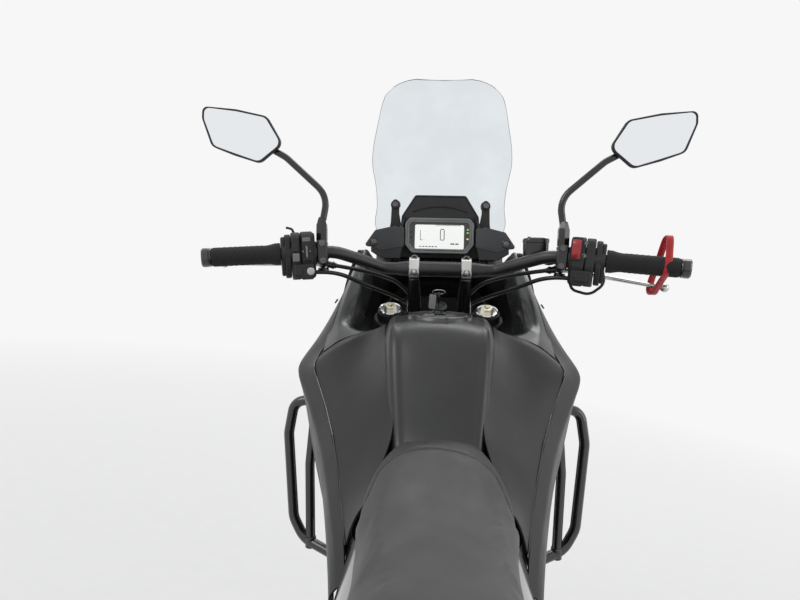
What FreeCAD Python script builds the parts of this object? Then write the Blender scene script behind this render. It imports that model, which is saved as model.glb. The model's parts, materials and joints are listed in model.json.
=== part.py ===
"""Adventure motorcycle, parked on its side stand: one solid or set of like solids per piece.

Everything is drawn upright in the bike frame, in millimetres: X to the rider's right, Y forward, Z up, with
the ground at Z 0 and the origin midway between the axles. place() then leans the whole machine to the left
about the line where the tyres touch the ground, and moves it so that the origin is at the middle of the
machine's footprint on the floor. Rounds are drawn with flats, more of them on a larger radius, and only the
hinges and the carrier's holes are true cylinders.
"""

import FreeCAD
import Part
import math
import os

V = FreeCAD.Vector
X_AXIS = V(1, 0, 0)

# Driving dimensions of the chassis
WHEELBASE = 1560.0
WHEEL_FLATS = 40
FRONT_TYRE_R = 347.0
FRONT_TYRE_W = 92.0
REAR_TYRE_R = 333.0
REAR_TYRE_W = 150.0
FRONT_RIM_R = 272.0
REAR_RIM_R = 235.0
RAKE = 27.0
TRAIL = 111.0
LEAN = 7.0
REAR_REACH = 1186.0
GAP = 0.3
FIT = 0.05

# Steering and front end, with S measured along the steering axis from the ground
FORK_HALF_SPACING = 100.0
FORK_OFFSET = 32.0
FORK_TUBE_R = 27.0
FORK_SLIDER_R = 21.5
FORK_TOP_S = 1186.0
FORK_TUBE_END_S = 640.0
UPPER_YOKE_S = 1146.0
UPPER_YOKE_H = 24.0
LOWER_YOKE_S = 926.0
LOWER_YOKE_H = 34.0
HEAD_TUBE_R = 31.0
HEAD_BORE_R = 24.0
STEM_R = 15.0
BEARING_H = 18.0
BEARING_GAP = 2.0
LUG_INNER_X = 76.0
LUG_OUTER_X = 126.0
AXLE_R = 10.0
FRONT_AXLE_HALF = 128.0
BAR_N = -4.0
BAR_Y = 290.0
BAR_Z = 1160.0
BAR_POINTS = [(0, 290, 1160), (106, 290, 1160), (150, 262, 1175), (194, 233, 1189), (417, 170, 1172)]
BAR_CENTRE_R = 14.3
BAR_END_R = 11.1
RISER_HALF_SPACING = 49.5
RISER_R = 13.0
GRIP_R = 16.5
GRIP_FROM = 288.0
GRIP_TO = 402.0
SWITCH_FROM = 229.0
ARM_X = 104.0
STRAP_X = 372.0
STRAP_W = 14.0
STEER_RANGE = 36.0
STAND_RANGE = 95.0
WEIGHT_FROM = 403.0
WEIGHT_TO = 419.0
WEIGHT_R = 17.0
RESERVOIR_Y = 300.0
CABLE_R = 4.0
ADJUSTER_LENGTH = 23.0
DISC_HALF_GAP = 62.0
DISC_THICK = 5.0
FRONT_DISC_R = 155.0
REAR_DISC_X = 70.0
REAR_DISC_R = 128.0
DISC_HOLES = 10

# Engine, drive and rear end
CHAIN_X = -92.0
CHAIN_W = 18.0
PLATE_T = 2.6
CHAIN_PITCH = 15.875
CHAIN_CREST = 7.5
CHAIN_WAIST = 5.2
CHAIN_CORE = 3.4
REAR_TEETH = 48
DRIVE_TEETH = 17
DRIVE_Y = -100.0
DRIVE_Z = 400.0
SPROCKET_T = 7.0
PIVOT_Y = -192.0
PIVOT_Z = 400.0
PIVOT_R = 9.0
PLATE_X = 112.0
SPAR_R = 17.0
SPAR_POINTS = [(20, 372, 975), (34, 320, 962), (106, 190, 925), (116, 0, 800), (110, -130, 650), (114, -176, 500)]
PIPE_TAIL = [V(166, -420, 440), V(168, -492, 486)]
PANEL_T = 4.0
CARRIER_Z = 918.0
CARRIER_HOLE_R = 4.25
CARRIER_HALF_X = 95.0
CARRIER_FRONT_Y = -826.0
CARRIER_LENGTH = 160.0
CARRIER_T = 10.0
CARRIER_SLAT_W = 30.0
CARRIER_POST_X = 88.0
CARRIER_POSTS = [(-810, 838), (-890, 846)]
CARRIER_SLATS_Y = [-790.0, -860.0, -930.0, -1010.0]
CYLINDER_LEAN = 18.0
CYLINDER_Y = 92.0
CYLINDER_Z = 548.0
MUFFLER_SLOPE = -22.0
MUFFLER_SECTION = [(-0.38, -1), (0.38, -1), (0.85, -0.7), (1, -0.3), (1, 0.4), (0.8, 0.8), (0.4, 1), (-0.4, 1),
                   (-0.8, 0.8), (-1, 0.4), (-1, -0.3), (-0.85, -0.7)]
SCREEN_CHORDS = 8
STAND_PIVOT = V(-120, -70, 262)
STAND_FOOT = V(-285, 30, 285 * math.tan(math.radians(LEAN)))
STAND_AXIS = V(-0.795, 0.0525, 0.551).normalize()
CAP_CENTRE = V(0, 172, 1070)
CAP_R = 50.0
CAP_UP = V(0, -0.28, 0.96).normalize()

# How many flats a round has, as (largest radius, flats), and the turn of each chord in a bent tube
ROUND_FLATS = [(2.5, 3), (7.5, 6), (10.5, 8), (24.5, 10), (60.0, 16), (140.0, 24), (200.0, 32), (500.0, 48)]
CHORD_TURN = math.radians(32)

SIN_RAKE = math.sin(math.radians(RAKE))
COS_RAKE = math.cos(math.radians(RAKE))
FRONT_AXLE = V(0, WHEELBASE / 2, FRONT_TYRE_R)
REAR_AXLE = V(0, -WHEELBASE / 2, REAR_TYRE_R)


# General helpers

def steer(x, s, n):
    """A point x to the right, s up the steering axis from the ground and n ahead of the axis."""
    foot = WHEELBASE / 2 + TRAIL
    return V(x, foot - s * SIN_RAKE + n * COS_RAKE, s * COS_RAKE + n * SIN_RAKE)


STEER_AXIS = V(0, -SIN_RAKE, COS_RAKE)
AXLE_S = (FRONT_AXLE - steer(0, 0, 0)).dot(STEER_AXIS)
AXLE_N = (FRONT_AXLE - steer(0, 0, 0)).dot(V(0, COS_RAKE, SIN_RAKE))


def flats(r):
    return next(count for limit, count in ROUND_FLATS if r <= limit)


def ring(centre, along, r, count=None):
    """The corners of a regular outline of radius r square to a line."""
    count = count or flats(r)
    w = V(along).normalize()
    u = (V(0, 0, 1) if abs(w.x) > 0.9 else X_AXIS).cross(w).normalize()
    v = w.cross(u)
    corners = []
    for i in range(count):
        angle = 2 * math.pi * (i + 0.5) / count
        corners.append(centre + u * (r * math.cos(angle)) + v * (r * math.sin(angle)))
    return corners


def patch(*corners):
    """One flat face through four corners, or two where they don't lie in a plane."""
    kept = [p for i, p in enumerate(corners) if (p - corners[i - 1]).Length > 1e-6]
    if len(kept) < 3:
        return []
    normal = (kept[1] - kept[0]).cross(kept[2] - kept[0])
    if len(kept) == 3 or abs(normal.dot(kept[3] - kept[0])) <= 1e-5 * normal.Length:
        return [flat(kept)]
    return [flat(kept[:3]), flat([kept[0], *kept[2:]])]


def flat(points):
    return Part.Face(Part.makePolygon([*points, points[0]]))


def solid_of(faces):
    shell = Part.makeShell(faces)
    shell.sewShape()
    solid = Part.makeSolid(shell)
    if solid.Volume < 0:
        solid.reverse()
    return solid


def skin(rings, closed=False, folded=False):
    """A solid through rings of as many corners each: flat ends, or a closed loop of rings.

    A folded ring runs out along one wall and back along the other, and both walls are split along the same diagonals.
    """
    faces = [] if closed else [flat(rings[0]), flat(rings[-1])]
    pairs = zip(rings, rings[1:] + rings[:1]) if closed else zip(rings, rings[1:])
    for low, high in pairs:
        for i in range(len(low)):
            corners = [low[i - 1], low[i], high[i], high[i - 1]]
            back = folded and i > len(low) // 2
            faces += patch(*corners[1:], corners[0]) if back else patch(*corners)
    return solid_of(faces)


def rod(a, b, r, r_end=None):
    """A round bar or cone from a to b, drawn with flats."""
    r_end = r if r_end is None else r_end
    count = flats(max(r, r_end))
    return skin([ring(a, b - a, r, count), ring(b, b - a, r_end, count)])


def bore(a, b, r):
    """A cutter whose flats just clear a round bar of radius r."""
    return rod(a, b, r / math.cos(math.pi / flats(r)))


def true_rod(a, b, r):
    """An exact cylinder, for what turns or takes a bolt."""
    return Part.makeCylinder(r, (b - a).Length, a, b - a)


def bent_line(points, bend=None):
    """The centre line of a bent tube: straight runs joined by arcs, each drawn as a few chords."""
    line = [points[0]]
    for before, corner, after in zip(points, points[1:], points[2:]):
        u = (before - corner).normalize()
        w = (after - corner).normalize()
        turn = math.pi - u.getAngle(w)
        if turn < 0.01:
            continue
        radius = 0.45 * min((before - corner).Length, (after - corner).Length) / math.tan(turn / 2)
        if bend:
            radius = min(radius, bend)
        inward = (u + w).normalize()
        centre = corner + inward * (radius / math.cos(turn / 2))
        chords = max(1, math.ceil(turn / CHORD_TURN))
        across = (w - u).normalize()
        for i in range(chords + 1):
            angle = turn * (i / chords - 0.5)
            line.append(centre - inward * (radius * math.cos(angle)) + across * (radius * math.sin(angle)))
    return [*line, points[-1]]


def tube_along(points, r, bend=None):
    """A round tube along a bent line, mitred at each chord."""
    line = bent_line(points, bend)
    rings = [ring(line[0], line[1] - line[0], r)]
    for before, corner, after in zip(line, line[1:], line[2:]):
        heading = (corner - before).normalize()
        mitre = (heading + (after - corner).normalize()).normalize()
        rings.append([p + heading * ((corner - p).dot(mitre) / heading.dot(mitre)) for p in rings[-1]])
    heading = (line[-1] - line[-2]).normalize()
    rings.append([p + heading * (line[-1] - p).dot(heading) for p in rings[-1]])
    return skin(rings)


def rounded(points, radius=0.0):
    """The corners of an outline, each cut to two or three flats when a radius is given."""
    if radius <= 0:
        return list(points)
    cut = []
    count = len(points)
    for i, corner in enumerate(points):
        u = points[i - 1] - corner
        w = points[(i + 1) % count] - corner
        reach = min(radius, 0.45 * u.Length, 0.45 * w.Length)
        a = corner + V(u).normalize() * reach
        b = corner + V(w).normalize() * reach
        cut += [a, (a + b) * 0.25 + corner * 0.5, b] if radius > 9 else [a * 0.75 + corner * 0.25, b * 0.75 + corner * 0.25]
    return cut


def outline(points, radius=0.0):
    """A closed wire through the points, with its corners cut when a radius is given."""
    corners = rounded(points, radius)
    return Part.makePolygon([*corners, corners[0]])


def slab(points, along, radius=0.0):
    """A flat outline pushed along a vector."""
    return Part.Face(outline(points, radius)).extrude(along)


def side_slab(yz, x0, x1, radius=0.0):
    """An outline given as (y, z) pairs, extruded from x0 to x1."""
    return slab([V(x0, y, z) for y, z in yz], V(x1 - x0, 0, 0), radius)


def mirrored(shape):
    return shape.mirror(V(0, 0, 0), X_AXIS)


def both(shape):
    """The right-hand piece and its mirror image, as two solids of one node."""
    return Part.makeCompound([shape, mirrored(shape)])


def joined(first, *others):
    """One solid made of several."""
    return first.multiFuse(list(others)).removeSplitter()


def inset(points, thickness):
    """The open polyline (pairs) moved sideways by the thickness, to the right of its heading."""
    moved = []
    for i, (x, z) in enumerate(points):
        x0, z0 = points[max(i - 1, 0)]
        x1, z1 = points[min(i + 1, len(points) - 1)]
        length = math.hypot(x1 - x0, z1 - z0)
        moved.append((x + thickness * (z1 - z0) / length, z - thickness * (x1 - x0) / length))
    return moved


def ribbon(y, points, thickness):
    """The closed cross-section of a panel at one station: its outer line and the same line inset."""
    inner = inset(points, thickness)
    return [V(x, y, z) for x, z in points + inner[::-1]]


def panel(stations, thickness=PANEL_T):
    """A thin right-hand panel through the stations (y, outer line from top to bottom)."""
    return skin([ribbon(y, points, thickness) for y, points in stations], folded=True)


def turned(centre, profile, count=None):
    """A solid of revolution about a line along X through the centre, from (x, radius) pairs."""
    count = count or flats(max(r for _, r in profile))
    return skin([swung(centre, profile, 360 * i / count - 90) for i in range(count)], closed=True)


def swung(centre, profile, degrees):
    """The profile's points at one angle about the line; 0 is forward, 90 is up."""
    angle = math.radians(degrees)
    return [V(centre.x + x, centre.y + r * math.cos(angle), centre.z + r * math.sin(angle)) for x, r in profile]


def ring_about(centre, x0, x1, r_in, r_out):
    return turned(centre, [(x0, r_in), (x1, r_in), (x1, r_out), (x0, r_out)])


# Wheels and tyres

def tyre(centre, radius, width, rim_r):
    """A tyre with a round crown, from (share of half width, share of height above the rim) pairs."""
    height = radius - rim_r
    half = width / 2
    crown = [(0.0, 1.0), (0.42, 0.96), (0.78, 0.84), (0.99, 0.56), (0.66, 0.0)]
    right = [(half * share, rim_r + height * rise) for share, rise in crown]
    left = [(-x, r) for x, r in right[:0:-1]]
    return turned(centre, right + left, WHEEL_FLATS)


def rim(centre, rim_r, half_width):
    """The rim's channel section: two flanges, two shelves and a well."""
    side = [(half_width, rim_r - 16), (half_width, rim_r), (half_width - 10, rim_r - 1), (10, rim_r - 22)]
    right = [(8, rim_r - 34), *side]
    return turned(centre, right + [(-x, r) for x, r in right[::-1]], WHEEL_FLATS)


def spokes(centre, count, flange_r, flange_x, rim_r, gauge):
    """Crossed wire spokes from alternate hub flanges to the middle of the rim."""
    made = []
    for i in range(count):
        side = 1 if i % 2 else -1
        cross = 1 if (i // 2) % 2 else -1
        rim_angle = 2 * math.pi * i / count
        hub_angle = rim_angle + cross * math.radians(42)
        hub = centre + V(side * flange_x, flange_r * math.cos(hub_angle), flange_r * math.sin(hub_angle))
        far = centre + V(side * 5, rim_r * math.cos(rim_angle), rim_r * math.sin(rim_angle))
        made.append(rod(hub, far, gauge))
    return made


def front_wheel():
    face = DISC_HALF_GAP - GAP
    hub = turned(FRONT_AXLE, [(-face, 5), (face, 5), (face, 38), (40, 38), (34, 52), (26, 30),
                              (-26, 30), (-34, 52), (-40, 38), (-face, 38)])
    wires = spokes(FRONT_AXLE, 36, 46, 33, FRONT_RIM_R - 30, 2.0)
    axle_room = true_rod(FRONT_AXLE - V(90, 0, 0), FRONT_AXLE + V(90, 0, 0), AXLE_R + GAP)
    return joined(rim(FRONT_AXLE, FRONT_RIM_R, 33), hub, *wires).cut(axle_room)


def rear_wheel():
    left = CHAIN_X + SPROCKET_T / 2 + GAP
    right = REAR_DISC_X - GAP
    hub = turned(REAR_AXLE, [(left, 5), (right, 5), (right, 42), (50, 42), (43, 62), (34, 38),
                             (-34, 38), (-40, 72), (-84, 72), (left, 66)])
    wires = spokes(REAR_AXLE, 32, 55, 43, REAR_RIM_R - 31, 2.2)
    axle_room = true_rod(REAR_AXLE - V(120, 0, 0), REAR_AXLE + V(120, 0, 0), AXLE_R + GAP)
    return joined(rim(REAR_AXLE, REAR_RIM_R, 57), hub, *wires).cut(axle_room)


def brake_disc(centre, x, radius, bore_r, inner_r):
    """A drilled friction ring on a five-armed carrier."""
    ring = ring_about(centre, x, x + DISC_THICK, inner_r, radius)
    boss = ring_about(centre, x, x + DISC_THICK, bore_r, bore_r + 22)
    arms = []
    for i in range(5):
        angle = 2 * math.pi * i / 5
        out = V(0, math.cos(angle), math.sin(angle))
        across = V(0, -math.sin(angle), math.cos(angle)) * 11
        root = centre + V(x, 0, 0) + out * (bore_r + 15)
        tip = centre + V(x, 0, 0) + out * (inner_r + 6)
        arms.append(slab([root - across, tip - across, tip + across, root + across], V(DISC_THICK, 0, 0)))
    disc = joined(ring, boss, *arms)
    holes = []
    for i in range(DISC_HOLES):
        angle = 2 * math.pi * i / DISC_HOLES
        r = inner_r + (radius - inner_r) * (0.35 if i % 2 else 0.68)
        spot = centre + V(x - 1, r * math.cos(angle), r * math.sin(angle))
        holes.append(rod(spot, spot + V(DISC_THICK + 2, 0, 0), 4.0))
    return disc.cut(Part.makeCompound(holes))


def front_discs():
    right = brake_disc(FRONT_AXLE, DISC_HALF_GAP, FRONT_DISC_R, 22, 112)
    return both(right)


def rear_disc():
    return brake_disc(REAR_AXLE, REAR_DISC_X, REAR_DISC_R, 24, 90)


def pitch_radius(teeth):
    return CHAIN_PITCH / 2 / math.sin(math.pi / teeth)


def sprocket(centre, teeth, bore_r, phase=0.0):
    """A toothed ring whose teeth stop just inside the chain's core, so that it turns freely."""
    tip = pitch_radius(teeth) - CHAIN_CORE - 1.0
    root = tip - 6.0
    points = []
    for i in range(teeth):
        for share, r in ((-0.3, root), (0.0, tip), (0.3, root)):
            angle = phase + 2 * math.pi * (i + share) / teeth
            points.append(V(CHAIN_X - SPROCKET_T / 2, centre.y + r * math.cos(angle), centre.z + r * math.sin(angle)))
    plate = slab(points, V(SPROCKET_T, 0, 0))
    return plate.cut(rod(V(CHAIN_X - 20, centre.y, centre.z), V(CHAIN_X + 20, centre.y, centre.z), bore_r))


def rear_sprocket():
    plate = sprocket(REAR_AXLE, REAR_TEETH, 24)
    windows = []
    for i in range(5):
        angle = 2 * math.pi * (i + 0.5) / 5
        spot = V(CHAIN_X - 10, REAR_AXLE.y + 84 * math.cos(angle), REAR_AXLE.z + 84 * math.sin(angle))
        windows.append(rod(spot, spot + V(20, 0, 0), 13))
    return plate.cut(Part.makeCompound(windows))


def chain_loop(rise):
    """Points of the chain's loop in the YZ plane, offset outward by rise(i) at each point i.

    Pins sit at each tooth gap round the two sprockets and at even steps along the two straight runs, with one
    point halfway between each two.
    """
    big = pitch_radius(REAR_TEETH)
    small = pitch_radius(DRIVE_TEETH)
    rear = V(0, REAR_AXLE.y, REAR_AXLE.z)
    front = V(0, DRIVE_Y, DRIVE_Z)
    span = (front - rear).Length
    slope = math.atan2(front.z - rear.z, front.y - rear.y)
    lean_in = math.acos((big - small) / span)
    top = slope + lean_in
    bottom = slope - lean_in + 2 * math.pi
    places = []

    def arc(centre, r, start, sweep, teeth):
        steps = 2 * max(1, round(abs(sweep) * teeth / (2 * math.pi)))
        for i in range(steps):
            angle = start + sweep * i / steps
            places.append((centre, r, angle))

    def run(r0, r1, centre0, centre1, angle):
        a = centre0 + V(0, math.cos(angle), math.sin(angle)) * r0
        b = centre1 + V(0, math.cos(angle), math.sin(angle)) * r1
        steps = 2 * round((b - a).Length / CHAIN_PITCH)
        for i in range(steps):
            places.append((a + (b - a) * (i / steps), 0.0, angle))

    arc(rear, big, top, bottom - top, REAR_TEETH)
    run(big, small, rear, front, bottom)
    arc(front, small, bottom - 2 * math.pi, top - bottom + 2 * math.pi, DRIVE_TEETH)
    run(small, big, front, rear, top)
    points = []
    for i, (centre, r, angle) in enumerate(places):
        out = V(0, math.cos(angle), math.sin(angle))
        points.append(centre + out * (r + rise(i)))
    return points


def chain_band(x0, x1, outer, inner, step):
    """A closed band between two offsets of the loop; step 1 keeps every point and 2 every pin."""
    far = chain_loop(outer)[::step]
    near = chain_loop(inner)[::2]
    ring = Part.Face(outline([V(x0, p.y, p.z) for p in far])).extrude(V(x1 - x0, 0, 0))
    hole = Part.Face(outline([V(x0 - 1, p.y, p.z) for p in near])).extrude(V(x1 - x0 + 2, 0, 0))
    return ring.cut(hole)


def chain():
    """Two rows of waisted side plates on a narrower core of rollers, as one fixed loop."""
    half = CHAIN_W / 2
    scallop = [CHAIN_CREST, CHAIN_WAIST]
    plates = [chain_band(CHAIN_X + side * half - (PLATE_T if side > 0 else 0),
                         CHAIN_X + side * half + (PLATE_T if side < 0 else 0),
                         lambda i: scallop[i % 2], lambda i: -CHAIN_CREST, 1) for side in (-1, 1)]
    core = chain_band(CHAIN_X - half + PLATE_T, CHAIN_X + half - PLATE_T,
                      lambda i: CHAIN_CORE, lambda i: -CHAIN_CORE, 2)
    return joined(core, *plates)


# Steering body

def yoke_plate(s, height, half, front, back, boss_r):
    """A yoke: a waisted plate with a split boss round each fork leg."""
    shape = [(-half, front), (half, front), (half + 14, FORK_OFFSET), (half - 30, FORK_OFFSET - 34),
             (34, back), (-34, back), (-half + 30, FORK_OFFSET - 34), (-half - 14, FORK_OFFSET)]
    plate = slab([steer(x, s, n) for x, n in shape], STEER_AXIS * height, 14)
    bosses = [rod(steer(side * FORK_HALF_SPACING, s, FORK_OFFSET),
                  steer(side * FORK_HALF_SPACING, s + height, FORK_OFFSET), boss_r) for side in (-1, 1)]
    return joined(plate, *bosses)


def fork_bores():
    return Part.makeCompound([rod(steer(side * FORK_HALF_SPACING, 600, FORK_OFFSET),
                                  steer(side * FORK_HALF_SPACING, FORK_TOP_S + 60, FORK_OFFSET),
                                  FORK_TUBE_R + FIT) for side in (-1, 1)])


def yokes():
    """Both yokes on one stem, with its two bearings, the top nut and the ignition lock."""
    upper = yoke_plate(UPPER_YOKE_S, UPPER_YOKE_H, 90, FORK_OFFSET + 30, -34, FORK_TUBE_R + 9)
    lower = yoke_plate(LOWER_YOKE_S, LOWER_YOKE_H, 90, FORK_OFFSET + 34, -30, FORK_TUBE_R + 10)
    stem = rod(steer(0, LOWER_YOKE_S, 0), steer(0, UPPER_YOKE_S + UPPER_YOKE_H + 2, 0), STEM_R)
    nut = rod(steer(0, UPPER_YOKE_S + UPPER_YOKE_H, 0), steer(0, UPPER_YOKE_S + UPPER_YOKE_H + 9, 0), 19)
    low_s = LOWER_YOKE_S + LOWER_YOKE_H + BEARING_GAP
    high_s = UPPER_YOKE_S - BEARING_GAP - BEARING_H
    bearings = [true_rod(steer(0, s, 0), steer(0, s + BEARING_H, 0), HEAD_BORE_R - FIT) for s in (low_s, high_s)]
    lock = rod(steer(0, UPPER_YOKE_S + 2, 44), steer(0, UPPER_YOKE_S + UPPER_YOKE_H + 24, 44), 19)
    solid = joined(upper, lower, stem, nut, lock, *bearings)
    return solid.cut(fork_bores())


def fork_legs():
    """Upside-down legs: fat upper tubes, thin sliders, caps on top and the axle lugs below."""
    legs = []
    for side in (-1, 1):
        x = side * FORK_HALF_SPACING
        upper = rod(steer(x, FORK_TUBE_END_S, FORK_OFFSET), steer(x, FORK_TOP_S, FORK_OFFSET), FORK_TUBE_R)
        collar = rod(steer(x, FORK_TUBE_END_S - 14, FORK_OFFSET), steer(x, FORK_TUBE_END_S + 22, FORK_OFFSET),
                     FORK_TUBE_R + 2.5)
        cap = rod(steer(x, FORK_TOP_S, FORK_OFFSET), steer(x, FORK_TOP_S + 6, FORK_OFFSET), 21)
        hexagon = rod(steer(x, FORK_TOP_S + 6, FORK_OFFSET), steer(x, FORK_TOP_S + 13, FORK_OFFSET), 9)
        slider = rod(steer(x, AXLE_S - 8, FORK_OFFSET), steer(x, FORK_TUBE_END_S, FORK_OFFSET), FORK_SLIDER_R)
        lug = rod(FRONT_AXLE + V(side * LUG_INNER_X, 0, 0), FRONT_AXLE + V(side * LUG_OUTER_X, 0, 0), 27)
        shoe = slab([steer(side * (LUG_INNER_X + 6), AXLE_S - 20, FORK_OFFSET - 20),
                     steer(side * (LUG_INNER_X + 6), AXLE_S + 52, FORK_OFFSET - 20),
                     steer(side * (LUG_INNER_X + 6), AXLE_S + 52, FORK_OFFSET + 20),
                     steer(side * (LUG_INNER_X + 6), AXLE_S, AXLE_N + 24),
                     steer(side * (LUG_INNER_X + 6), AXLE_S - 20, AXLE_N + 10)],
                    V(side * (LUG_OUTER_X - LUG_INNER_X - 12), 0, 0))
        leg = joined(upper, collar, cap, hexagon, slider, lug, shoe)
        legs.append(leg.cut(bore(FRONT_AXLE - V(200, 0, 0), FRONT_AXLE + V(200, 0, 0), AXLE_R + FIT)))
    return Part.makeCompound(legs)


def axle(centre, half, r, spacers):
    """An axle with a nut and a head, and its spacers as (x from, x to, radius)."""
    bar = true_rod(centre - V(half, 0, 0), centre + V(half, 0, 0), r)
    head = rod(centre + V(half - 8, 0, 0), centre + V(half, 0, 0), r + 6)
    nut = rod(centre - V(half, 0, 0), centre - V(half - 10, 0, 0), r + 6)
    collars = [rod(centre + V(x0, 0, 0), centre + V(x1, 0, 0), wide) for x0, x1, wide in spacers]
    return joined(bar, head, nut, *collars)


def front_axle():
    inner = DISC_HALF_GAP + DISC_THICK + GAP
    return axle(FRONT_AXLE, FRONT_AXLE_HALF + 9, AXLE_R,
                [(inner, LUG_INNER_X, 15), (-LUG_INNER_X, -inner, 15)])


def arc_shell(centre, profile, start, sweep):
    """A closed (x, radius) profile swept about the X line through the centre; 0 is forward, 90 is up."""
    steps = math.ceil(sweep / 12)
    return skin([swung(centre, profile, start + sweep * i / steps) for i in range(steps + 1)])


def front_fender():
    """A close guard over the tyre, clamped to both sliders, with a shield before each slider."""
    r = FRONT_TYRE_R + 18
    outer = [(-62, r - 34), (-60, r - 8), (-34, r + 8), (34, r + 8), (60, r - 8), (62, r - 34)]
    inner = [(58.5, r - 34), (56.5, r - 10), (32, r + 4.5), (-32, r + 4.5), (-56.5, r - 10), (-58.5, r - 34)]
    guard = arc_shell(FRONT_AXLE, outer + inner, 48, 122)
    solid = guard
    cuts = []
    for side in (-1, 1):
        x = side * FORK_HALF_SPACING
        low, high = AXLE_S + 236, AXLE_S + 262
        ring = rod(steer(x, low, FORK_OFFSET), steer(x, high, FORK_OFFSET), FORK_SLIDER_R + 6)
        stay = slab([steer(side * 58.6, low, FORK_OFFSET - 22), steer(side * 58.6, low, FORK_OFFSET + 24),
                     steer(side * 58.6, low + 112, FORK_OFFSET + 10), steer(side * 58.6, low + 112, FORK_OFFSET - 14)],
                    V(side * 3.2, 0, 0))
        arm = slab([steer(side * 59, low, FORK_OFFSET - 22), steer(side * 59, low, FORK_OFFSET + 30),
                    steer(side * 86, low, FORK_OFFSET + 18), steer(side * 86, low, FORK_OFFSET - 14)],
                   STEER_AXIS * (high - low))
        shield = rod(steer(x, AXLE_S + FRONT_DISC_R + 12, FORK_OFFSET), steer(x, high, FORK_OFFSET), FORK_SLIDER_R + 12)
        hollow = rod(steer(x, AXLE_S + 60, FORK_OFFSET), steer(x, high + 9, FORK_OFFSET), FORK_SLIDER_R + 9)
        rear_half = slab([steer(x - 60, AXLE_S + 60, FORK_OFFSET + 6), steer(x + 60, AXLE_S + 60, FORK_OFFSET + 6),
                          steer(x + 60, AXLE_S + 60, FORK_OFFSET - 60), steer(x - 60, AXLE_S + 60, FORK_OFFSET - 60)],
                         STEER_AXIS * 260)
        shield = shield.cut(hollow).cut(rear_half)
        web = slab([steer(x - 6, low, FORK_OFFSET + FORK_SLIDER_R + 3), steer(x + 6, low, FORK_OFFSET + FORK_SLIDER_R + 3),
                    steer(x + 6, low, FORK_OFFSET + FORK_SLIDER_R + 11), steer(x - 6, low, FORK_OFFSET + FORK_SLIDER_R + 11)],
                   STEER_AXIS * (high - low))
        solid = joined(solid, ring, arm, stay, shield, web)
        cuts.append(rod(steer(x, 300, FORK_OFFSET), steer(x, high + 40, FORK_OFFSET), FORK_SLIDER_R + FIT))
    return solid.cut(Part.makeCompound(cuts))


def front_calipers():
    """A caliper round the rear edge of each disc, on a bracket from the slider's foot."""
    pair = []
    for side in (-1, 1):
        mid = DISC_HALF_GAP + DISC_THICK / 2
        at = 118.0
        out = V(0, -math.cos(math.radians(24)), math.sin(math.radians(24)))
        up = V(0, out.z, -out.y)
        spot = FRONT_AXLE + out * (at + 8)
        corners = [(-34, -46), (-34, 46), (14, 52), (40, 34), (40, -34), (14, -52)]
        x0 = side * (mid - 25)
        body = slab([V(x0, 0, 0) + spot + out * a + up * b for a, b in corners], V(side * 38, 0, 0), 8)
        slot = slab([V(side * (DISC_HALF_GAP - 2.0), 0, 0) + spot + out * a + up * b
                     for a, b in [(-40, -70), (-40, 70), (32, 70), (32, -70)]], V(side * (DISC_THICK + 4), 0, 0))
        plate_x = side * (LUG_INNER_X - 4.3)
        plate = slab([V(plate_x, 0, 0) + FRONT_AXLE + out * a + up * b for a, b in
                      [(-18, -20), (-18, 20), (90, 40), (110, 40), (110, -40), (90, -40)]], V(side * 4, 0, 0))
        spacer = rod(FRONT_AXLE, FRONT_AXLE + V(side * 200, 0, 0), 15 + GAP)
        pair.append(joined(body.cut(slot), plate).cut(spacer))
    return Part.makeCompound(pair)


def bar_line(side):
    """The handlebar's centre line on one side, from the middle outwards."""
    return [V(side * x, y, z) for x, y, z in BAR_POINTS]


def bar_point(side, x):
    """A point of the straight grip section, x from the middle."""
    a, b = bar_line(side)[-2:]
    share = (x - abs(a.x)) / (abs(b.x) - abs(a.x))
    return a + (b - a) * share


def across_bar(side, x, ahead, up):
    """A point in the plane square to the grip section at x from the middle."""
    along = (bar_point(side, 400) - bar_point(side, 300)).normalize()
    level = V(0, 0, 1).cross(along).normalize() * side
    return bar_point(side, x) + level * ahead + along.cross(level) * (up * side)


def handlebar():
    """A tapered bar in two risers with clamp caps, and a weight in each end."""
    start = RISER_HALF_SPACING + 17
    centre = rod(V(-start, BAR_Y, BAR_Z), V(start, BAR_Y, BAR_Z), BAR_CENTRE_R)
    arms = [tube_along([V(side * (start - 5), BAR_Y, BAR_Z), *bar_line(side)[1:]], BAR_END_R, 60)
            for side in (-1, 1)]
    tapers = [rod(V(side * start, BAR_Y, BAR_Z), V(side * (start + 18), BAR_Y, BAR_Z), BAR_CENTRE_R, BAR_END_R + 0.4)
              for side in (-1, 1)]
    weights = [rod(bar_point(side, WEIGHT_FROM), bar_point(side, WEIGHT_TO), WEIGHT_R) for side in (-1, 1)]
    return joined(centre, *arms, *tapers, *weights)


def risers():
    """Two posts on the upper yoke with clamps round the bar."""
    top_s = UPPER_YOKE_S + UPPER_YOKE_H
    made = []
    for side in (-1, 1):
        x = side * RISER_HALF_SPACING
        bar_mid = V(x, BAR_Y, BAR_Z)
        post = rod(steer(x, top_s, BAR_N), bar_mid, RISER_R + 3, RISER_R)
        block = slab([bar_mid + V(-15, -21, -14), bar_mid + V(15, -21, -14), bar_mid + V(15, 21, -14),
                      bar_mid + V(-15, 21, -14)], V(0, 0, 32), 5)
        bolts = [rod(bar_mid + V(0, dy, 18), bar_mid + V(0, dy, 23), 4.5) for dy in (-16.5, 16.5)]
        bar_room = rod(bar_mid - V(60, 0, 0), bar_mid + V(60, 0, 0), BAR_CENTRE_R + FIT)
        made.append(joined(post, block, *bolts).cut(bar_room))
    return Part.makeCompound(made)


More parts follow.
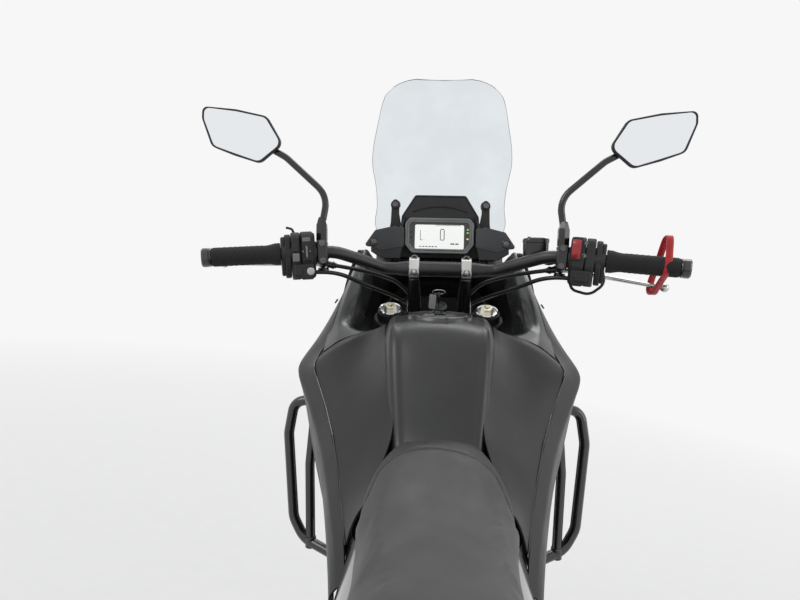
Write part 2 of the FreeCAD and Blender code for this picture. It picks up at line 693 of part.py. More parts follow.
def grips():
    """Ribbed grips with an inner flange, sleeved on the bar's ends."""
    made = []
    for side in (-1, 1):
        a, b = bar_point(side, GRIP_FROM), bar_point(side, GRIP_TO)
        sleeve = rod(a, b, GRIP_R)
        flange = rod(a, bar_point(side, GRIP_FROM + 5), GRIP_R + 4)
        bar_room = bore(bar_point(side, GRIP_FROM - 20), bar_point(side, GRIP_TO + 20), BAR_END_R + FIT)
        made.append(joined(sleeve, flange).cut(bar_room))
    return Part.makeCompound(made)


def lever_pivot(side):
    return V(side * 220, 262, 1166)


def cable_heading(side):
    """The way a cable leaves its adjuster at the lever."""
    return V(-side * 0.93, 0.34, -0.14).normalize()


def switchgear():
    """A switch housing round the bar inboard of each grip, and the lever's clamp inboard of it."""
    made = []
    for side in (-1, 1):
        a, b = bar_point(side, SWITCH_FROM), bar_point(side, GRIP_FROM - 1)
        mid = (a + b) * 0.5
        core = rod(a, b, 23)
        box = slab([across_bar(side, SWITCH_FROM, y, z) for y, z in
                    [(-24, 30), (10, 38), (30, 20), (30, -18), (12, -50), (-16, -44), (-26, -14)]],
                   b - a, 8)
        button = rod(mid + V(0, -22, 6), mid + V(0, -31, 6), 7)
        perch = rod(bar_point(side, SWITCH_FROM - 22), bar_point(side, SWITCH_FROM - 1), 19)
        housing = joined(core, box, button)
        bar_room = bore(bar_point(side, 200), bar_point(side, 420), BAR_END_R + FIT)
        made.append(housing.cut(bar_room))
        clamp = [perch]
        if side > 0:
            clamp.append(rod(V(181, RESERVOIR_Y, 1187), V(181, RESERVOIR_Y, 1226), 23))
            clamp.append(rod(V(181, RESERVOIR_Y, 1192), bar_point(side, SWITCH_FROM - 12), 9))
        clamp.append(rod(bar_point(side, SWITCH_FROM - 12), lever_pivot(side), 9))
        clamp.append(rod(lever_pivot(side) + V(0, 0, -14), lever_pivot(side) + V(0, 0, 14), 10))
        clamp.append(rod(lever_pivot(side), lever_pivot(side) + cable_heading(side) * ADJUSTER_LENGTH, 6))
        solid = joined(*clamp).cut(bar_room)
        slot = slab([lever_pivot(side) + V(x, y, -8) for x, y in [(-16, -10), (16, -10), (16, 20), (-16, 20)]], V(0, 0, 16))
        made.append(solid.cut(slot))
    return Part.makeCompound(made)


def hand_levers():
    """A bent lever before each grip, with a ball at its tip."""
    made = []
    for side in (-1, 1):
        root = lever_pivot(side)
        elbow, tip = V(side * 318, 254, 1151), V(side * 392, 212, 1138)
        blade = tube_along([root, elbow, tip], 6.0, 60)
        ball = turned(tip, [(-8, 0), (-5, 6), (0, 8), (5, 6), (8, 0)])
        lug = rod(root + V(0, 0, -7.7), root + V(0, 0, 7.7), 8)
        made.append(joined(blade, ball, lug))
    return Part.makeCompound(made)


MIRROR_OUTLINE = [(290, 1380), (318, 1428), (372, 1438), (430, 1441), (431, 1420), (414, 1371), (376, 1357), (330, 1344)]


def mirror_plane(x, z):
    """The depth of the mirror's back face at a point: it turns to face the rider."""
    return 222 - 0.14 * (x - 286)


def mirror_outline(side, inset_by, depth):
    cx, cz = 362.0, 1394.0
    edge = []
    for x, z in MIRROR_OUTLINE:
        length = math.hypot(x - cx, z - cz)
        share = (length - inset_by) / length
        px, pz = cx + (x - cx) * share, cz + (z - cz) * share
        edge.append(V(side * px, mirror_plane(px, pz) + depth, pz))
    return rounded(edge, 14)


def mirrors():
    """Mirror shells on bent stems from the lever clamps."""
    made = []
    for side in (-1, 1):
        shell = skin([mirror_outline(side, 0, 0), mirror_outline(side, 0, 8), mirror_outline(side, 22, 26)])
        seat = skin([mirror_outline(side, 4, -1), mirror_outline(side, 4, 2.5)])
        foot = bar_point(side, SWITCH_FROM - 12) + V(0, 0, 19.2)
        stem = tube_along([foot + V(0, 0, 0), V(side * 209, 232, 1290), V(side * 286, 232, 1358),
                           V(side * 350, 234, 1392)], 6.0, 50)
        sleeve = rod(foot, foot + V(0, 0, 40), 11)
        made.append(joined(shell, stem, sleeve).cut(seat))
    return Part.makeCompound(made)


def mirror_glass():
    return Part.makeCompound([skin([mirror_outline(side, 4.3, 0), mirror_outline(side, 4.3, 2.4)]) for side in (-1, 1)])


def strap():
    """The soft band that holds the brake lever against the right grip."""
    grip = bar_point(1, STRAP_X + 7)
    lever = V(STRAP_X + 7, 218.8, 1140.1)
    rings = []
    for slack in (0.0, 2.5):
        ring = []
        for centre, r, start in ((grip, 24.0, 49), (lever, 15.0, -131)):
            for step in range(5):
                angle = math.radians(start + 45 * step)
                ring.append(V(STRAP_X - slack, centre.y + (r - slack) * math.cos(angle),
                              centre.z + (r - slack) * math.sin(angle)))
        rings.append(ring)
    band = slab(rings[0], V(STRAP_W, 0, 0))
    return band.cut(slab(rings[1], V(STRAP_W + 6, 0, 0)))


# Frame, engine and running gear

HEAD_TOP = UPPER_YOKE_S - GAP
HEAD_LOW = LOWER_YOKE_S + LOWER_YOKE_H + GAP


def frame():
    """Head tube, twin spars, front tubes, pivot plates and the side stand's lug."""
    head = rod(steer(0, HEAD_LOW + 1.2, 0), steer(0, HEAD_TOP - 1.2, 0), HEAD_TUBE_R)
    gusset = slab([steer(-10, HEAD_LOW + 12, -24), steer(-10, HEAD_TOP - 12, -24), steer(-10, HEAD_TOP - 60, -120),
                   steer(-10, HEAD_LOW + 30, -120)], V(20, 0, 0))
    parts = [gusset]
    for side in (-1, 1):
        front = [V(side * 20, 425, 905), V(side * 44, 392, 862), V(side * 84, 318, 770), V(side * 94, 300, 620),
                 V(side * 94, 226, 470)]
        parts.append(tube_along([V(side * x, y, z) for x, y, z in SPAR_POINTS], SPAR_R, 90))
        parts.append(tube_along(front, 15, 60))
        plate = [(-146, 530), (-204, 530), (-226, 478), (-236, 340), (-186, 262), (-118, 268), (-138, 400)]
        parts.append(side_slab(plate, side * PLATE_X, side * (PLATE_X + 10), 14))
    parts.append(rod(V(-126, 60, 842), V(126, 60, 842), 11))
    parts.append(rod(V(-112, -206, 300), V(112, -206, 300), 14))
    parts.append(rod(V(-112, -174, 502), V(112, -174, 502), 12))
    parts.append(slab([V(-106, -190, 300), V(-106, -140, 310), V(-106, STAND_PIVOT.y + 14, STAND_PIVOT.z + 14),
                       V(-106, STAND_PIVOT.y + 14, STAND_PIVOT.z - 26), V(-106, STAND_PIVOT.y - 16, STAND_PIVOT.z - 28),
                       V(-106, -186, 262)], V(10, 0, 0)))
    parts.append(rod(V(-116, -186, 286), V(-98, -186, 286), 12))
    parts.append(rod(STAND_PIVOT - STAND_AXIS * 2, STAND_PIVOT - STAND_AXIS * 26, 15))
    shell = joined(head, *parts)
    bores = [true_rod(steer(0, HEAD_LOW - 20, 0), steer(0, HEAD_TOP + 20, 0), HEAD_BORE_R),
             rod(V(-140, PIVOT_Y, PIVOT_Z), V(140, PIVOT_Y, PIVOT_Z), PIVOT_R + FIT)]
    return shell.cut(Part.makeCompound(bores))


def subframe():
    """Tubes that carry the seats, the tail and the carrier."""
    tubes = []
    for side in (-1, 1):
        tubes.append(tube_along([V(side * 100, -96, 738), V(side * 108, -350, 768), V(side * 104, -600, 812),
                                 V(side * 84, -930, 852)], 12, 120))
        tubes.append(tube_along([V(side * 100, -150, 560), V(side * 106, -330, 640), V(side * 106, -560, 774),
                                 V(side * 104, -640, 818)], 10, 80))
    for y, z, half in ((-330, 766, 107), (-620, 815, 103), (-900, 848, 86)):
        tubes.append(rod(V(-half, y, z), V(half, y, z), 9))
    for side in (-1, 1):
        tubes.append(rod(V(side * 99, -104, 739), V(side * 111, -64, 734), 12))
        tubes.append(rod(V(side * 100, -152, 562), V(side * 110, -130, 566), 12))
    return joined(tubes[0], *tubes[1:])


def engine_case():
    """Crankcase with the round covers of the clutch and alternator, the gearbox and the sump."""
    case = side_slab([(196, 520), (150, 566), (-60, 566), (-130, 520), (-150, 420), (-120, 340), (-40, 300),
                      (120, 300), (190, 350), (206, 440)], -76, 92, 16)
    sump = side_slab([(110, 302), (-60, 302), (-40, 276), (90, 276)], -30, 80, 6)
    clutch = rod(V(92, -20, 440), V(128, -20, 440), 92)
    clutch_cap = rod(V(128, -20, 440), V(140, -20, 440), 70)
    generator = rod(V(-76, 80, 440), V(-118, 80, 440), 76)
    generator_cap = rod(V(-118, 80, 440), V(-127, 80, 440), 56)
    pump = rod(V(92, 120, 410), V(122, 120, 410), 40)
    mounts = [rod(V(-94, 214, 462), V(94, 214, 462), 12)]
    return joined(case, sump, clutch, clutch_cap, generator, generator_cap, pump, *mounts)


def tilted(points, x0, x1, radius=0.0):
    """A side outline in engine coordinates (ahead, up), leaned forward with the cylinders."""
    lean = math.radians(CYLINDER_LEAN)
    turned_points = [(CYLINDER_Y + a * math.cos(lean) + u * math.sin(lean),
                      CYLINDER_Z - a * math.sin(lean) + u * math.cos(lean)) for a, u in points]
    return side_slab(turned_points, x0, x1, radius)


def cylinder_block():
    """Barrels with a seam, the head and its cover."""
    block = tilted([(-66, 0), (66, 0), (66, 96), (-66, 96)], -112, 100, 8)
    seam = tilted([(-70, 92), (70, 92), (70, 104), (-70, 104)], -115, 103, 3)
    head = tilted([(-64, 104), (64, 104), (70, 150), (60, 178), (-60, 178), (-76, 150)], -110, 98, 6)
    cover = tilted([(-62, 178), (62, 178), (56, 216), (-50, 222)], -104, 92, 10)
    ports = [tilted([(66, 116), (92, 120), (92, 158), (66, 160)], x - 24, x + 24, 6) for x in (-46, 46)]
    return joined(block, seam, head, cover, *ports)


def radiator():
    """The core between two side tanks, with its filler neck and two mounting ears."""
    core = slab([V(-132, 346, 602), V(132, 346, 602), V(132, 346, 776), V(-132, 346, 776)], V(0, 26, 0))
    tanks = [slab([V(x, 342, 596), V(x + 26, 342, 596), V(x + 26, 342, 782), V(x, 342, 782)], V(0, 34, 0), 6)
             for x in (-157, 131)]
    ears = [rod(V(x, 322, 746), V(x, 348, 746), 8) for x in (-86, 86)]
    neck = rod(V(144, 359, 780), V(144, 359, 796), 13)
    return joined(core, *tanks, *ears, neck)


def exhaust_pipe():
    """Two header pipes that meet under the engine and leave on the right."""
    left = tube_along([V(-46, 262, 628), V(-46, 300, 560), V(-40, 272, 380), V(-10, 210, 262), V(60, 120, 252)], 19, 70)
    right = tube_along([V(46, 262, 628), V(46, 300, 560), V(50, 272, 380), V(60, 210, 256), V(60, 100, 250)], 19, 70)
    main = tube_along([V(60, 130, 251), V(60, -80, 250), V(92, -210, 250), V(150, -300, 330), *PIPE_TAIL], 24, 80)
    return joined(left, right, main)


def muffler():
    """A tapered oval can with an end cap and a short outlet."""
    def section_at(centre, wide, tall, turn=MUFFLER_SLOPE):
        c, s = math.cos(math.radians(turn)), math.sin(math.radians(turn))
        up = V(0, s, c)
        return [centre + V(x * wide, 0, 0) + up * (z * tall) for x, z in MUFFLER_SECTION]

    places = [(0.0, 27, 27), (0.12, 50, 66), (0.9, 54, 72), (1.0, 36, 52)]
    a, b = V(168, -484, 484), V(182, -930, 668)
    can = skin([section_at(a + (b - a) * share, wide, tall) for share, wide, tall in places])
    outlet = rod(a + (b - a) * 0.97, a + (b - a) * 1.03, 22)
    strap_plate = slab([V(98, -610, 600), V(98, -646, 600), V(98, -640, 802), V(98, -612, 802)], V(9, 0, 0))
    strap_arm = slab([V(100, -612, 590), V(150, -612, 590), V(150, -612, 640), V(100, -612, 640)], V(0, -30, 0))
    tail = PIPE_TAIL[1] - PIPE_TAIL[0]
    pipe_room = bore(PIPE_TAIL[0], PIPE_TAIL[1] + tail * 0.1, 24 + FIT)
    return joined(can, outlet, strap_plate, strap_arm).cut(pipe_room)


def skid_plate():
    """A folded plate under the engine and before the headers."""
    pts = [(346, 430), (346, 330), (300, 242), (250, 212), (-90, 212), (-140, 212)]
    inner = inset(pts, -4)
    body = side_slab(pts + inner[::-1], -104, 112)
    cheeks = [side_slab([(300, 300), (290, 238), (250, 212), (-80, 212), (-60, 262), (210, 290)], x, x + 4)
              for x in (-104, 108)]
    stays = [side_slab([(304, 244), (322, 280), (232, 440), (218, 440), (222, 300)], x, x + 6) for x in (-96, 98)]
    return joined(body, *cheeks, *stays)


def swingarm():
    """Two box arms outside the chain and tyre, joined ahead of the tyre and carried on one pivot tube."""
    pivot = rod(V(-PLATE_X + GAP, PIVOT_Y, PIVOT_Z), V(PLATE_X - GAP, PIVOT_Y, PIVOT_Z), 22)
    line = [(-290, 370), (-330, 358), (-744, 300), (-826, 302), (-838, 318), (-838, 350), (-826, 362),
            (-744, 366), (-420, 424), (-290, 424)]
    parts = [side_slab(line, side * ARM_X, side * (ARM_X + 20), 6) for side in (-1, 1)]
    for side in (-1, 1):
        parts.append(side_slab([(-192, 380), (-192, 422), (-378, 422), (-378, 376), (-330, 374)],
                               side * 52, side * ARM_X))
    brace = side_slab([(-346, 376), (-378, 376), (-378, 422), (-346, 422)], -52, 52)
    link = side_slab([(-352, 376), (-352, 404), (-322, 404), (-310, 380)], -30, -20)
    link2 = side_slab([(-352, 376), (-352, 404), (-322, 404), (-310, 380)], 20, 30)
    arm = joined(pivot, brace, link, link2, *parts)
    cuts = [bore(REAR_AXLE - V(200, 0, 0), REAR_AXLE + V(200, 0, 0), AXLE_R + FIT),
            rod(V(-200, PIVOT_Y, PIVOT_Z), V(200, PIVOT_Y, PIVOT_Z), PIVOT_R + FIT)]
    return arm.cut(Part.makeCompound(cuts))


def pivot_bolt():
    face = PLATE_X + 10
    bar = rod(V(-face - 8, PIVOT_Y, PIVOT_Z), V(face + 8, PIVOT_Y, PIVOT_Z), PIVOT_R)
    heads = [rod(V(side * face, PIVOT_Y, PIVOT_Z), V(side * (face + 9), PIVOT_Y, PIVOT_Z), 16) for side in (-1, 1)]
    return joined(bar, *heads)


def rear_axle():
    left = CHAIN_X - SPROCKET_T / 2 - GAP
    return axle(REAR_AXLE, ARM_X + 30, AXLE_R, [(75.3, ARM_X, 15), (-ARM_X, left, 15)])


def drive_sprocket():
    """The front sprocket on the gearbox shaft."""
    plate = sprocket(V(0, DRIVE_Y, DRIVE_Z), DRIVE_TEETH, 5)
    shaft = rod(V(-76.3, DRIVE_Y, DRIVE_Z), V(CHAIN_X - 12, DRIVE_Y, DRIVE_Z), 13)
    return joined(plate, shaft)


def shock():
    """A damper inside its spring, from the arm's link to the frame."""
    low, high = V(0, -330, 360), V(0, -180, 690)
    along = (high - low).normalize()
    body = rod(low + along * 30, high, 19)
    turns, start, pitch = 8, 70.0, 26.0
    rows = [(10, start - 6)]
    for i in range(turns):
        rows += [(21, start + i * pitch), (34, start + i * pitch + 8), (21, start + i * pitch + 16)]
    rows.append((10, start + turns * pitch))
    spring = skin([ring(low + along * s, along, r, 12) for r, s in rows])
    eye = rod(high - V(18, 0, 0), high + V(18, 0, 0), 17)
    foot = rod(low + along * 30 - V(19.7, 0, 0), low + along * 30 + V(19.7, 0, 0), 13)
    bar = rod(high - V(106, 0, 0), high + V(106, 0, 0), 9)
    return joined(body, spring, eye, foot, bar)


def rear_caliper():
    """The caliper over the rear disc on a plate from the axle."""
    mid = 72.5
    spot = REAR_AXLE + V(0, 62, 96)
    body = slab([V(mid - 22, spot.y + y, spot.z + z) for y, z in [(-34, 10), (16, 38), (44, 4), (34, -26), (-20, -22)]],
                V(44, 0, 0), 8)
    eye = ring_about(REAR_AXLE, 84, 92, 8, 30)
    arm = side_slab([(REAR_AXLE.y - 14, REAR_AXLE.z + 20), (REAR_AXLE.y + 40, REAR_AXLE.z + 90),
                     (REAR_AXLE.y + 84, REAR_AXLE.z + 92), (REAR_AXLE.y + 24, REAR_AXLE.z - 6)], 84, 92)
    disc_room = ring_about(REAR_AXLE, mid - 5, mid + 5, 20, 132)
    collar_room = rod(REAR_AXLE + V(80, 0, 0), REAR_AXLE + V(96, 0, 0), 15 + GAP)
    return joined(body, eye, arm).cut(disc_room).cut(collar_room)


def side_stand():
    """A leg on a tilted pivot, with a flat foot that rests on the floor."""
    eye = true_rod(STAND_PIVOT - STAND_AXIS * (2 - GAP), STAND_PIVOT + STAND_AXIS * 24, 15)
    bolt = rod(STAND_PIVOT + STAND_AXIS * 24, STAND_PIVOT + STAND_AXIS * 31, 8)
    floor = V(math.sin(math.radians(LEAN)), 0, math.cos(math.radians(LEAN)))
    ankle = STAND_FOOT + floor * 14
    root = STAND_PIVOT + STAND_AXIS * 11
    leg = rod(root, ankle, 12)
    along = V(0, 1, 0)
    wide = along.cross(floor)
    shape = [(-34, -18), (-22, -30), (22, -30), (42, -14), (42, 18), (24, 30), (-20, 30), (-34, 18)]
    foot = slab([STAND_FOOT + along * a + wide * w for a, w in shape], floor * 9)
    ball = rod(STAND_FOOT + floor * 8, STAND_FOOT + floor * 20, 15)
    tail = rod(root + (ankle - root) * 0.82, root + (ankle - root) * 0.82 + V(-52, 16, -6), 5)
    return joined(eye, bolt, leg, foot, ball, tail)


def foot_controls():
    """Rider and passenger pegs on their hangers, the brake pedal and the gear lever."""
    made = []
    for side in (-1, 1):
        hanger = side_slab([(-212, 474), (-234, 474), (-276, 380), (-262, 350), (-222, 350), (-214, 420)],
                           side * (PLATE_X + 10), side * (PLATE_X + 18))
        peg = slab([V(side * 128, -262, 352), V(side * 236, -268, 352), V(side * 236, -222, 352), V(side * 128, -228, 352)],
                   V(0, 0, 14))
        cleats = [slab([V(side * x, -262, 364), V(side * (x + 8), -262, 364), V(side * (x + 8), -226, 364),
                        V(side * x, -226, 364)], V(0, 0, 9)) for x in range(146, 232, 20)]
        made.append(joined(hanger, peg, *cleats))
        rear = side_slab([(-430, 702), (-476, 712), (-500, 622), (-484, 600), (-462, 604)], side * 117, side * 124)
        peg2 = rod(V(side * 122, -481, 614), V(side * 212, -492, 618), 11)
        tie = rod(V(side * 104, -446, 700), V(side * 118, -450, 698), 8)
        made.append(joined(rear, peg2, tie))
    pedal = tube_along([V(144, -196, 330), V(150, -60, 326), V(168, 10, 340)], 7, 40)
    pad = slab([V(150, -4, 342), V(196, -4, 342), V(196, 34, 344), V(150, 34, 344)], V(0, 0, 8))
    spindle = rod(V(PLATE_X + 10, -196, 330), V(148, -196, 330), 9)
    made.append(joined(pedal, pad, spindle))
    lever = tube_along([V(-144, -180, 330), V(-150, -50, 316), V(-158, -10, 336)], 6, 40)
    tip = rod(V(-150, -8, 340), V(-196, -8, 344), 9)
    spindle = rod(V(-PLATE_X - 10, -180, 330), V(-148, -180, 330), 9)
    made.append(joined(lever, tip, spindle))
    return Part.makeCompound(made)


def crash_bars():
    """Bent guard tubes on each side of the radiator, with an upright brace."""
    made = []
    for side in (-1, 1):
        loop = [V(side * 98, 330, 806), V(side * 150, 350, 846), V(side * 262, 398, 874), V(side * 304, 402, 866),
                V(side * 314, 396, 800), V(side * 298, 380, 622), V(side * 274, 372, 580), V(side * 190, 338, 556),
                V(side * 116, 262, 478), V(side * 104, 226, 462)]
        brace = [V(side * 256, 394, 868), V(side * 264, 378, 740), V(side * 258, 366, 576)]
        made.append(joined(tube_along(loop, 11, 46), tube_along(brace, 10, 60)))
    return Part.makeCompound(made)


# Body

def section(y, half):
    """A closed section from its right half, given from the top centre to the bottom centre."""
    right = [(x, z) for x, z in half]
    left = [(-x, z) for x, z in right[::-1] if x > 0.01]
    return [V(x, y, z) for x, z in right + left]


def fuel_tank():
    """The tank, with a flat top that drops to the seat."""
    stations = [(262, 50, 96, 1078, 1052, 118, 960), (215, 62, 100, 1086, 1052, 138, 945),
                (130, 60, 92, 1062, 1034, 136, 900), (60, 56, 80, 1000, 974, 110, 868),
                (16, 50, 74, 924, 908, 96, 850), (11, 48, 72, 880, 866, 94, 840), (-46, 44, 66, 852, 842, 90, 822)]
    wires = []
    for y, flat, edge, top, rim_z, wide, low in stations:
        wires.append(section(y, [(0, top), (flat, top - 6), (edge - 10, rim_z), (wide, (rim_z + low) / 2), (wide - 12, low),
                                 (0, low + 14)]))
    body = skin(wires)
    spars = [tube_along([V(side * x, y, z) for x, y, z in SPAR_POINTS[:-1]], SPAR_R + 2, 90) for side in (-1, 1)]
    tunnel = slab([V(-16, 300, 900), V(16, 300, 900), V(16, 300, 990), V(-16, 300, 990)], V(0, -80, 0))
    bar = rod(V(-140, 60, 842), V(140, 60, 842), 14)
    cap_seat = rod(CAP_CENTRE, CAP_CENTRE + CAP_UP * 40, CAP_R + GAP)
    return body.cut(Part.makeCompound(spars)).cut(tunnel).cut(bar).cut(cap_seat)


def filler_cap():
    seat = rod(CAP_CENTRE, CAP_CENTRE + CAP_UP * 12, CAP_R)
    dome = rod(CAP_CENTRE + CAP_UP * 12, CAP_CENTRE + CAP_UP * 16, CAP_R, CAP_R - 5)
    return joined(seat, dome)


def mirrored_pair(stations, thickness=PANEL_T):
    return both(panel(stations, thickness))


def tank_covers():
    """The panels beside the tank's flat top, down to the seam with the outer shrouds."""
    return mirrored_pair([
        (232, [(98, 1060), (120, 1042), (160, 1034), (196, 1018), (214, 1002)]),
        (200, [(98, 1056), (120, 1034), (160, 1022), (206, 1004), (222, 984)]),
        (130, [(96, 1040), (112, 1008), (146, 972), (178, 936), (186, 926)]),
        (80, [(93, 1002), (106, 972), (130, 934), (156, 902), (165, 891)]),
        (20, [(90, 928), (100, 900), (120, 868), (138, 844), (144, 838)]),
        (-60, [(114, 838), (117, 822), (120, 806), (122, 792), (123, 780)])])


def side_shrouds():
    """The outer panels from the cockpit's sides past the radiator and back below the seat's nose."""
    return mirrored_pair([
        (430, [(178, 1150), (205, 1080), (216, 1010), (214, 960), (208, 930)]),
        (380, [(187, 1136), (220, 1060), (237, 985), (234, 940), (226, 905)]),
        (300, [(216, 1042), (242, 1000), (254, 940), (240, 850), (216, 770)]),
        (250, [(216, 1004), (265, 973), (248, 930), (234, 820), (208, 700)]),
        (200, [(226, 986), (240, 944), (228, 895), (214, 810), (192, 690)]),
        (100, [(184, 906), (190, 865), (188, 825), (182, 780), (168, 720)]),
        (0, [(146, 830), (160, 800), (165, 770), (162, 745), (154, 715)]),
        (-100, [(128, 745), (136, 738), (143, 730), (144, 718), (138, 700)])])


def inner_panels():
    """The curved walls of the steering well, from the cockpit's sides to the tank."""
    return mirrored_pair([
        (452, [(168, 1190), (160, 1198), (146, 1192), (141, 1080)]),
        (380, [(184, 1136), (170, 1152), (154, 1152), (152, 1040)]),
        (300, [(210, 1042), (192, 1050), (170, 1038), (164, 960)]),
        (262, [(196, 1020), (168, 1042), (140, 1046), (138, 990)])])


def nose_fairing():
    """The front cowl round the lamp, with cheeks that run back to the cockpit."""
    nose = panel([
        (566, [(-186, 960), (-192, 1090), (-156, 1180), (-80, 1212), (0, 1218), (80, 1212), (156, 1180), (192, 1090),
               (186, 960)]),
        (640, [(-160, 950), (-170, 1060), (-138, 1136), (-74, 1166), (0, 1172), (74, 1166), (138, 1136), (170, 1060),
               (160, 950)]),
        (704, [(-122, 960), (-130, 1030), (-112, 1086), (-64, 1108), (0, 1112), (64, 1108), (112, 1086), (130, 1030),
               (122, 960)])])
    cheeks = mirrored_pair([
        (434, [(176, 1196), (196, 1150), (210, 1090), (217, 1030), (212, 960)]),
        (500, [(166, 1200), (190, 1150), (202, 1090), (205, 1030), (200, 960)]),
        (565.9, [(156.5, 1178), (176, 1135), (191, 1090), (189, 1025), (186, 960)])])
    beak = panel([
        (690, [(-126, 957.5), (-74, 972), (0, 978), (74, 972), (126, 957.5)]),
        (800, [(-84, 936), (-50, 950), (0, 955), (50, 950), (84, 936)]),
        (930, [(-36, 898), (-20, 906), (0, 908), (20, 906), (36, 898)])])
    return Part.makeCompound([nose, beak, *cheeks.Solids])


def headlight():
    """The lamp's body behind two round lenses."""
    body = slab([V(x, 640, z) for x, z in [(-108, 984), (108, 984), (112, 1040), (84, 1086), (-84, 1086), (-112, 1040)]],
                V(0, 58, 0), 12)
    bosses = [rod(V(side * 104, 676, 1036), V(side * 150, 676, 1036), 7) for side in (-1, 1)]
    bowls = [rod(V(x, 680, 1032), V(x, 720, 1032), 40) for x in (-52, 52)]
    return joined(body, *bosses).cut(Part.makeCompound(bowls))


def headlight_lenses():
    return Part.makeCompound([rod(V(x, 680.2, 1032), V(x, 694, 1032), 39.7, 34) for x in (-52, 52)])


def sheet_section(z, half, edge_y, crown_y, thickness):
    """A curved sheet's section at one height: the outer arc in chords, and the same arc set inward."""
    rise = crown_y - edge_y
    radius = (half ** 2 + rise ** 2) / (2 * rise)
    swing = math.asin(half / radius)
    front = []
    for i in range(SCREEN_CHORDS + 1):
        angle = swing * (2 * i / SCREEN_CHORDS - 1)
        front.append(V(radius * math.sin(angle), crown_y - radius * (1 - math.cos(angle)), z))
    return front + [p - V(0, thickness, 0) for p in front[::-1]]


def windscreen():
    """The tall clear screen, waisted above its mounts and rounded at the top."""
    rows = [(1222, 140, 566, 612), (1262, 151, 556, 602), (1299, 146, 545, 590), (1344, 148, 530, 574),
            (1390, 155, 509, 552), (1465, 142, 470, 506), (1523, 124, 440, 468), (1546, 98, 433, 452),
            (1558, 58, 431, 439)]
    return skin([sheet_section(*row, 4) for row in rows], folded=True)


def facing_plate(points, depth):
    """A flat plate facing the rider, from (x, z) pairs on a plane that leans forward at the top."""
    return slab([V(x, 486 + 0.12 * (z - 1200), z) for x, z in points], V(0, depth, 0))


def instrument():
    """The eight-sided display housing."""
    edge = [(-78, 1260), (-68, 1272), (66, 1272), (76, 1260), (76, 1212), (60, 1193), (-62, 1193), (-78, 1212)]
    window = [(-56, 1257), (54, 1257), (54, 1203), (-56, 1203)]
    case = facing_plate(edge, 26)
    recess = facing_plate(window, 2.4)
    return case.cut(recess)


def display():
    return facing_plate([(-55.7, 1256.7), (53.7, 1256.7), (53.7, 1203.3), (-55.7, 1203.3)], 2.1).translated(V(0, 0.25, 0))


def cockpit_panels():
    """The textured panels beside the display, its hood and the screen's brackets."""
    solids = []
    wing = [(80, 1250), (144, 1242), (168, 1206), (150, 1204), (128, 1196), (80, 1206)]
    for side in (-1, 1):
        plate = slab([V(side * x, 480 + 0.12 * (z - 1200) - 0.16 * (x - 80), z) for x, z in wing], V(0, 8, 0))
        solids.append(plate)
        solids.append(rod(V(side * 104, 483, 1224), V(side * 104, 520, 1224), 6))
        solids.append(rod(V(side * 104, 524, 1236), V(side * 104, 522, 1312), 5))
        solids.append(rod(V(side * 104, 518, 1300), V(side * 104, 578, 1300), 6))
    hood = slab([V(x, 522 + 0.05 * (z - 1200), z) for x, z in
                 [(-88, 1278), (-56, 1326), (56, 1326), (88, 1278), (92, 1236), (-92, 1236)]], V(0, 5, 0))
    beam = slab([V(-130, 518, 1180), V(130, 518, 1180), V(130, 518, 1244), V(-130, 518, 1244)], V(0, 12, 0))
    floor_plate = slab([V(-140, 452, 1150), V(140, 452, 1150), V(150, 560, 1190), V(-150, 560, 1190)], V(0, 0, 5))
    return joined(beam, hood, floor_plate, *solids)


def side_covers():
    return mirrored_pair([
        (-96, [(126, 735), (134, 700), (138, 640), (134, 580)]),
        (-240, [(118, 742), (130, 700), (132, 640), (126, 590)]),
        (-400, [(116, 752), (122, 728), (122, 690), (118, 660)])], 3)


def rider_seat():
    """The front cushion: a nose over the tank's rear slope and a dished wide part."""
    rows = [(2, 40, 64, 922, 904, 888), (-30, 56, 96, 902, 868, 840), (-66, 72, 112, 878, 843, 808),
            (-160, 92, 132, 850, 828, 796), (-290, 104, 150, 844, 818, 790), (-430, 108, 152, 852, 824, 798),
            (-506, 100, 140, 880, 836, 806)]
    wires = [section(y, [(0, top), (flat, top - 4), (wide, rim_z), (wide - 8, low), (0, low)])
             for y, flat, wide, top, rim_z, low in rows]
    return skin(wires)


def pillion_seat():
    rows = [(-509, 90, 128, 930, 878, 812), (-560, 92, 130, 946, 890, 820), (-680, 88, 122, 940, 892, 832),
            (-772, 70, 96, 930, 896, 846)]
    wires = [section(y, [(0, top), (flat, top - 5), (wide, rim_z), (wide - 8, low), (0, low)])
             for y, flat, wide, top, rim_z, low in rows]
    return skin(wires)


def tail_cowl():
    """The panels under the passenger's seat, closing at the tail lamp."""
    return mirrored_pair([
        (-420, [(148, 794), (146, 776), (137, 745), (126, 722)]),
        (-640, [(128, 834), (136, 806), (130, 782), (118, 762)]),
        (-860, [(110, 872), (121, 846), (117, 820), (102, 802)]),
        (-1000, [(78, 882), (92, 866), (90, 842), (70, 826)])])


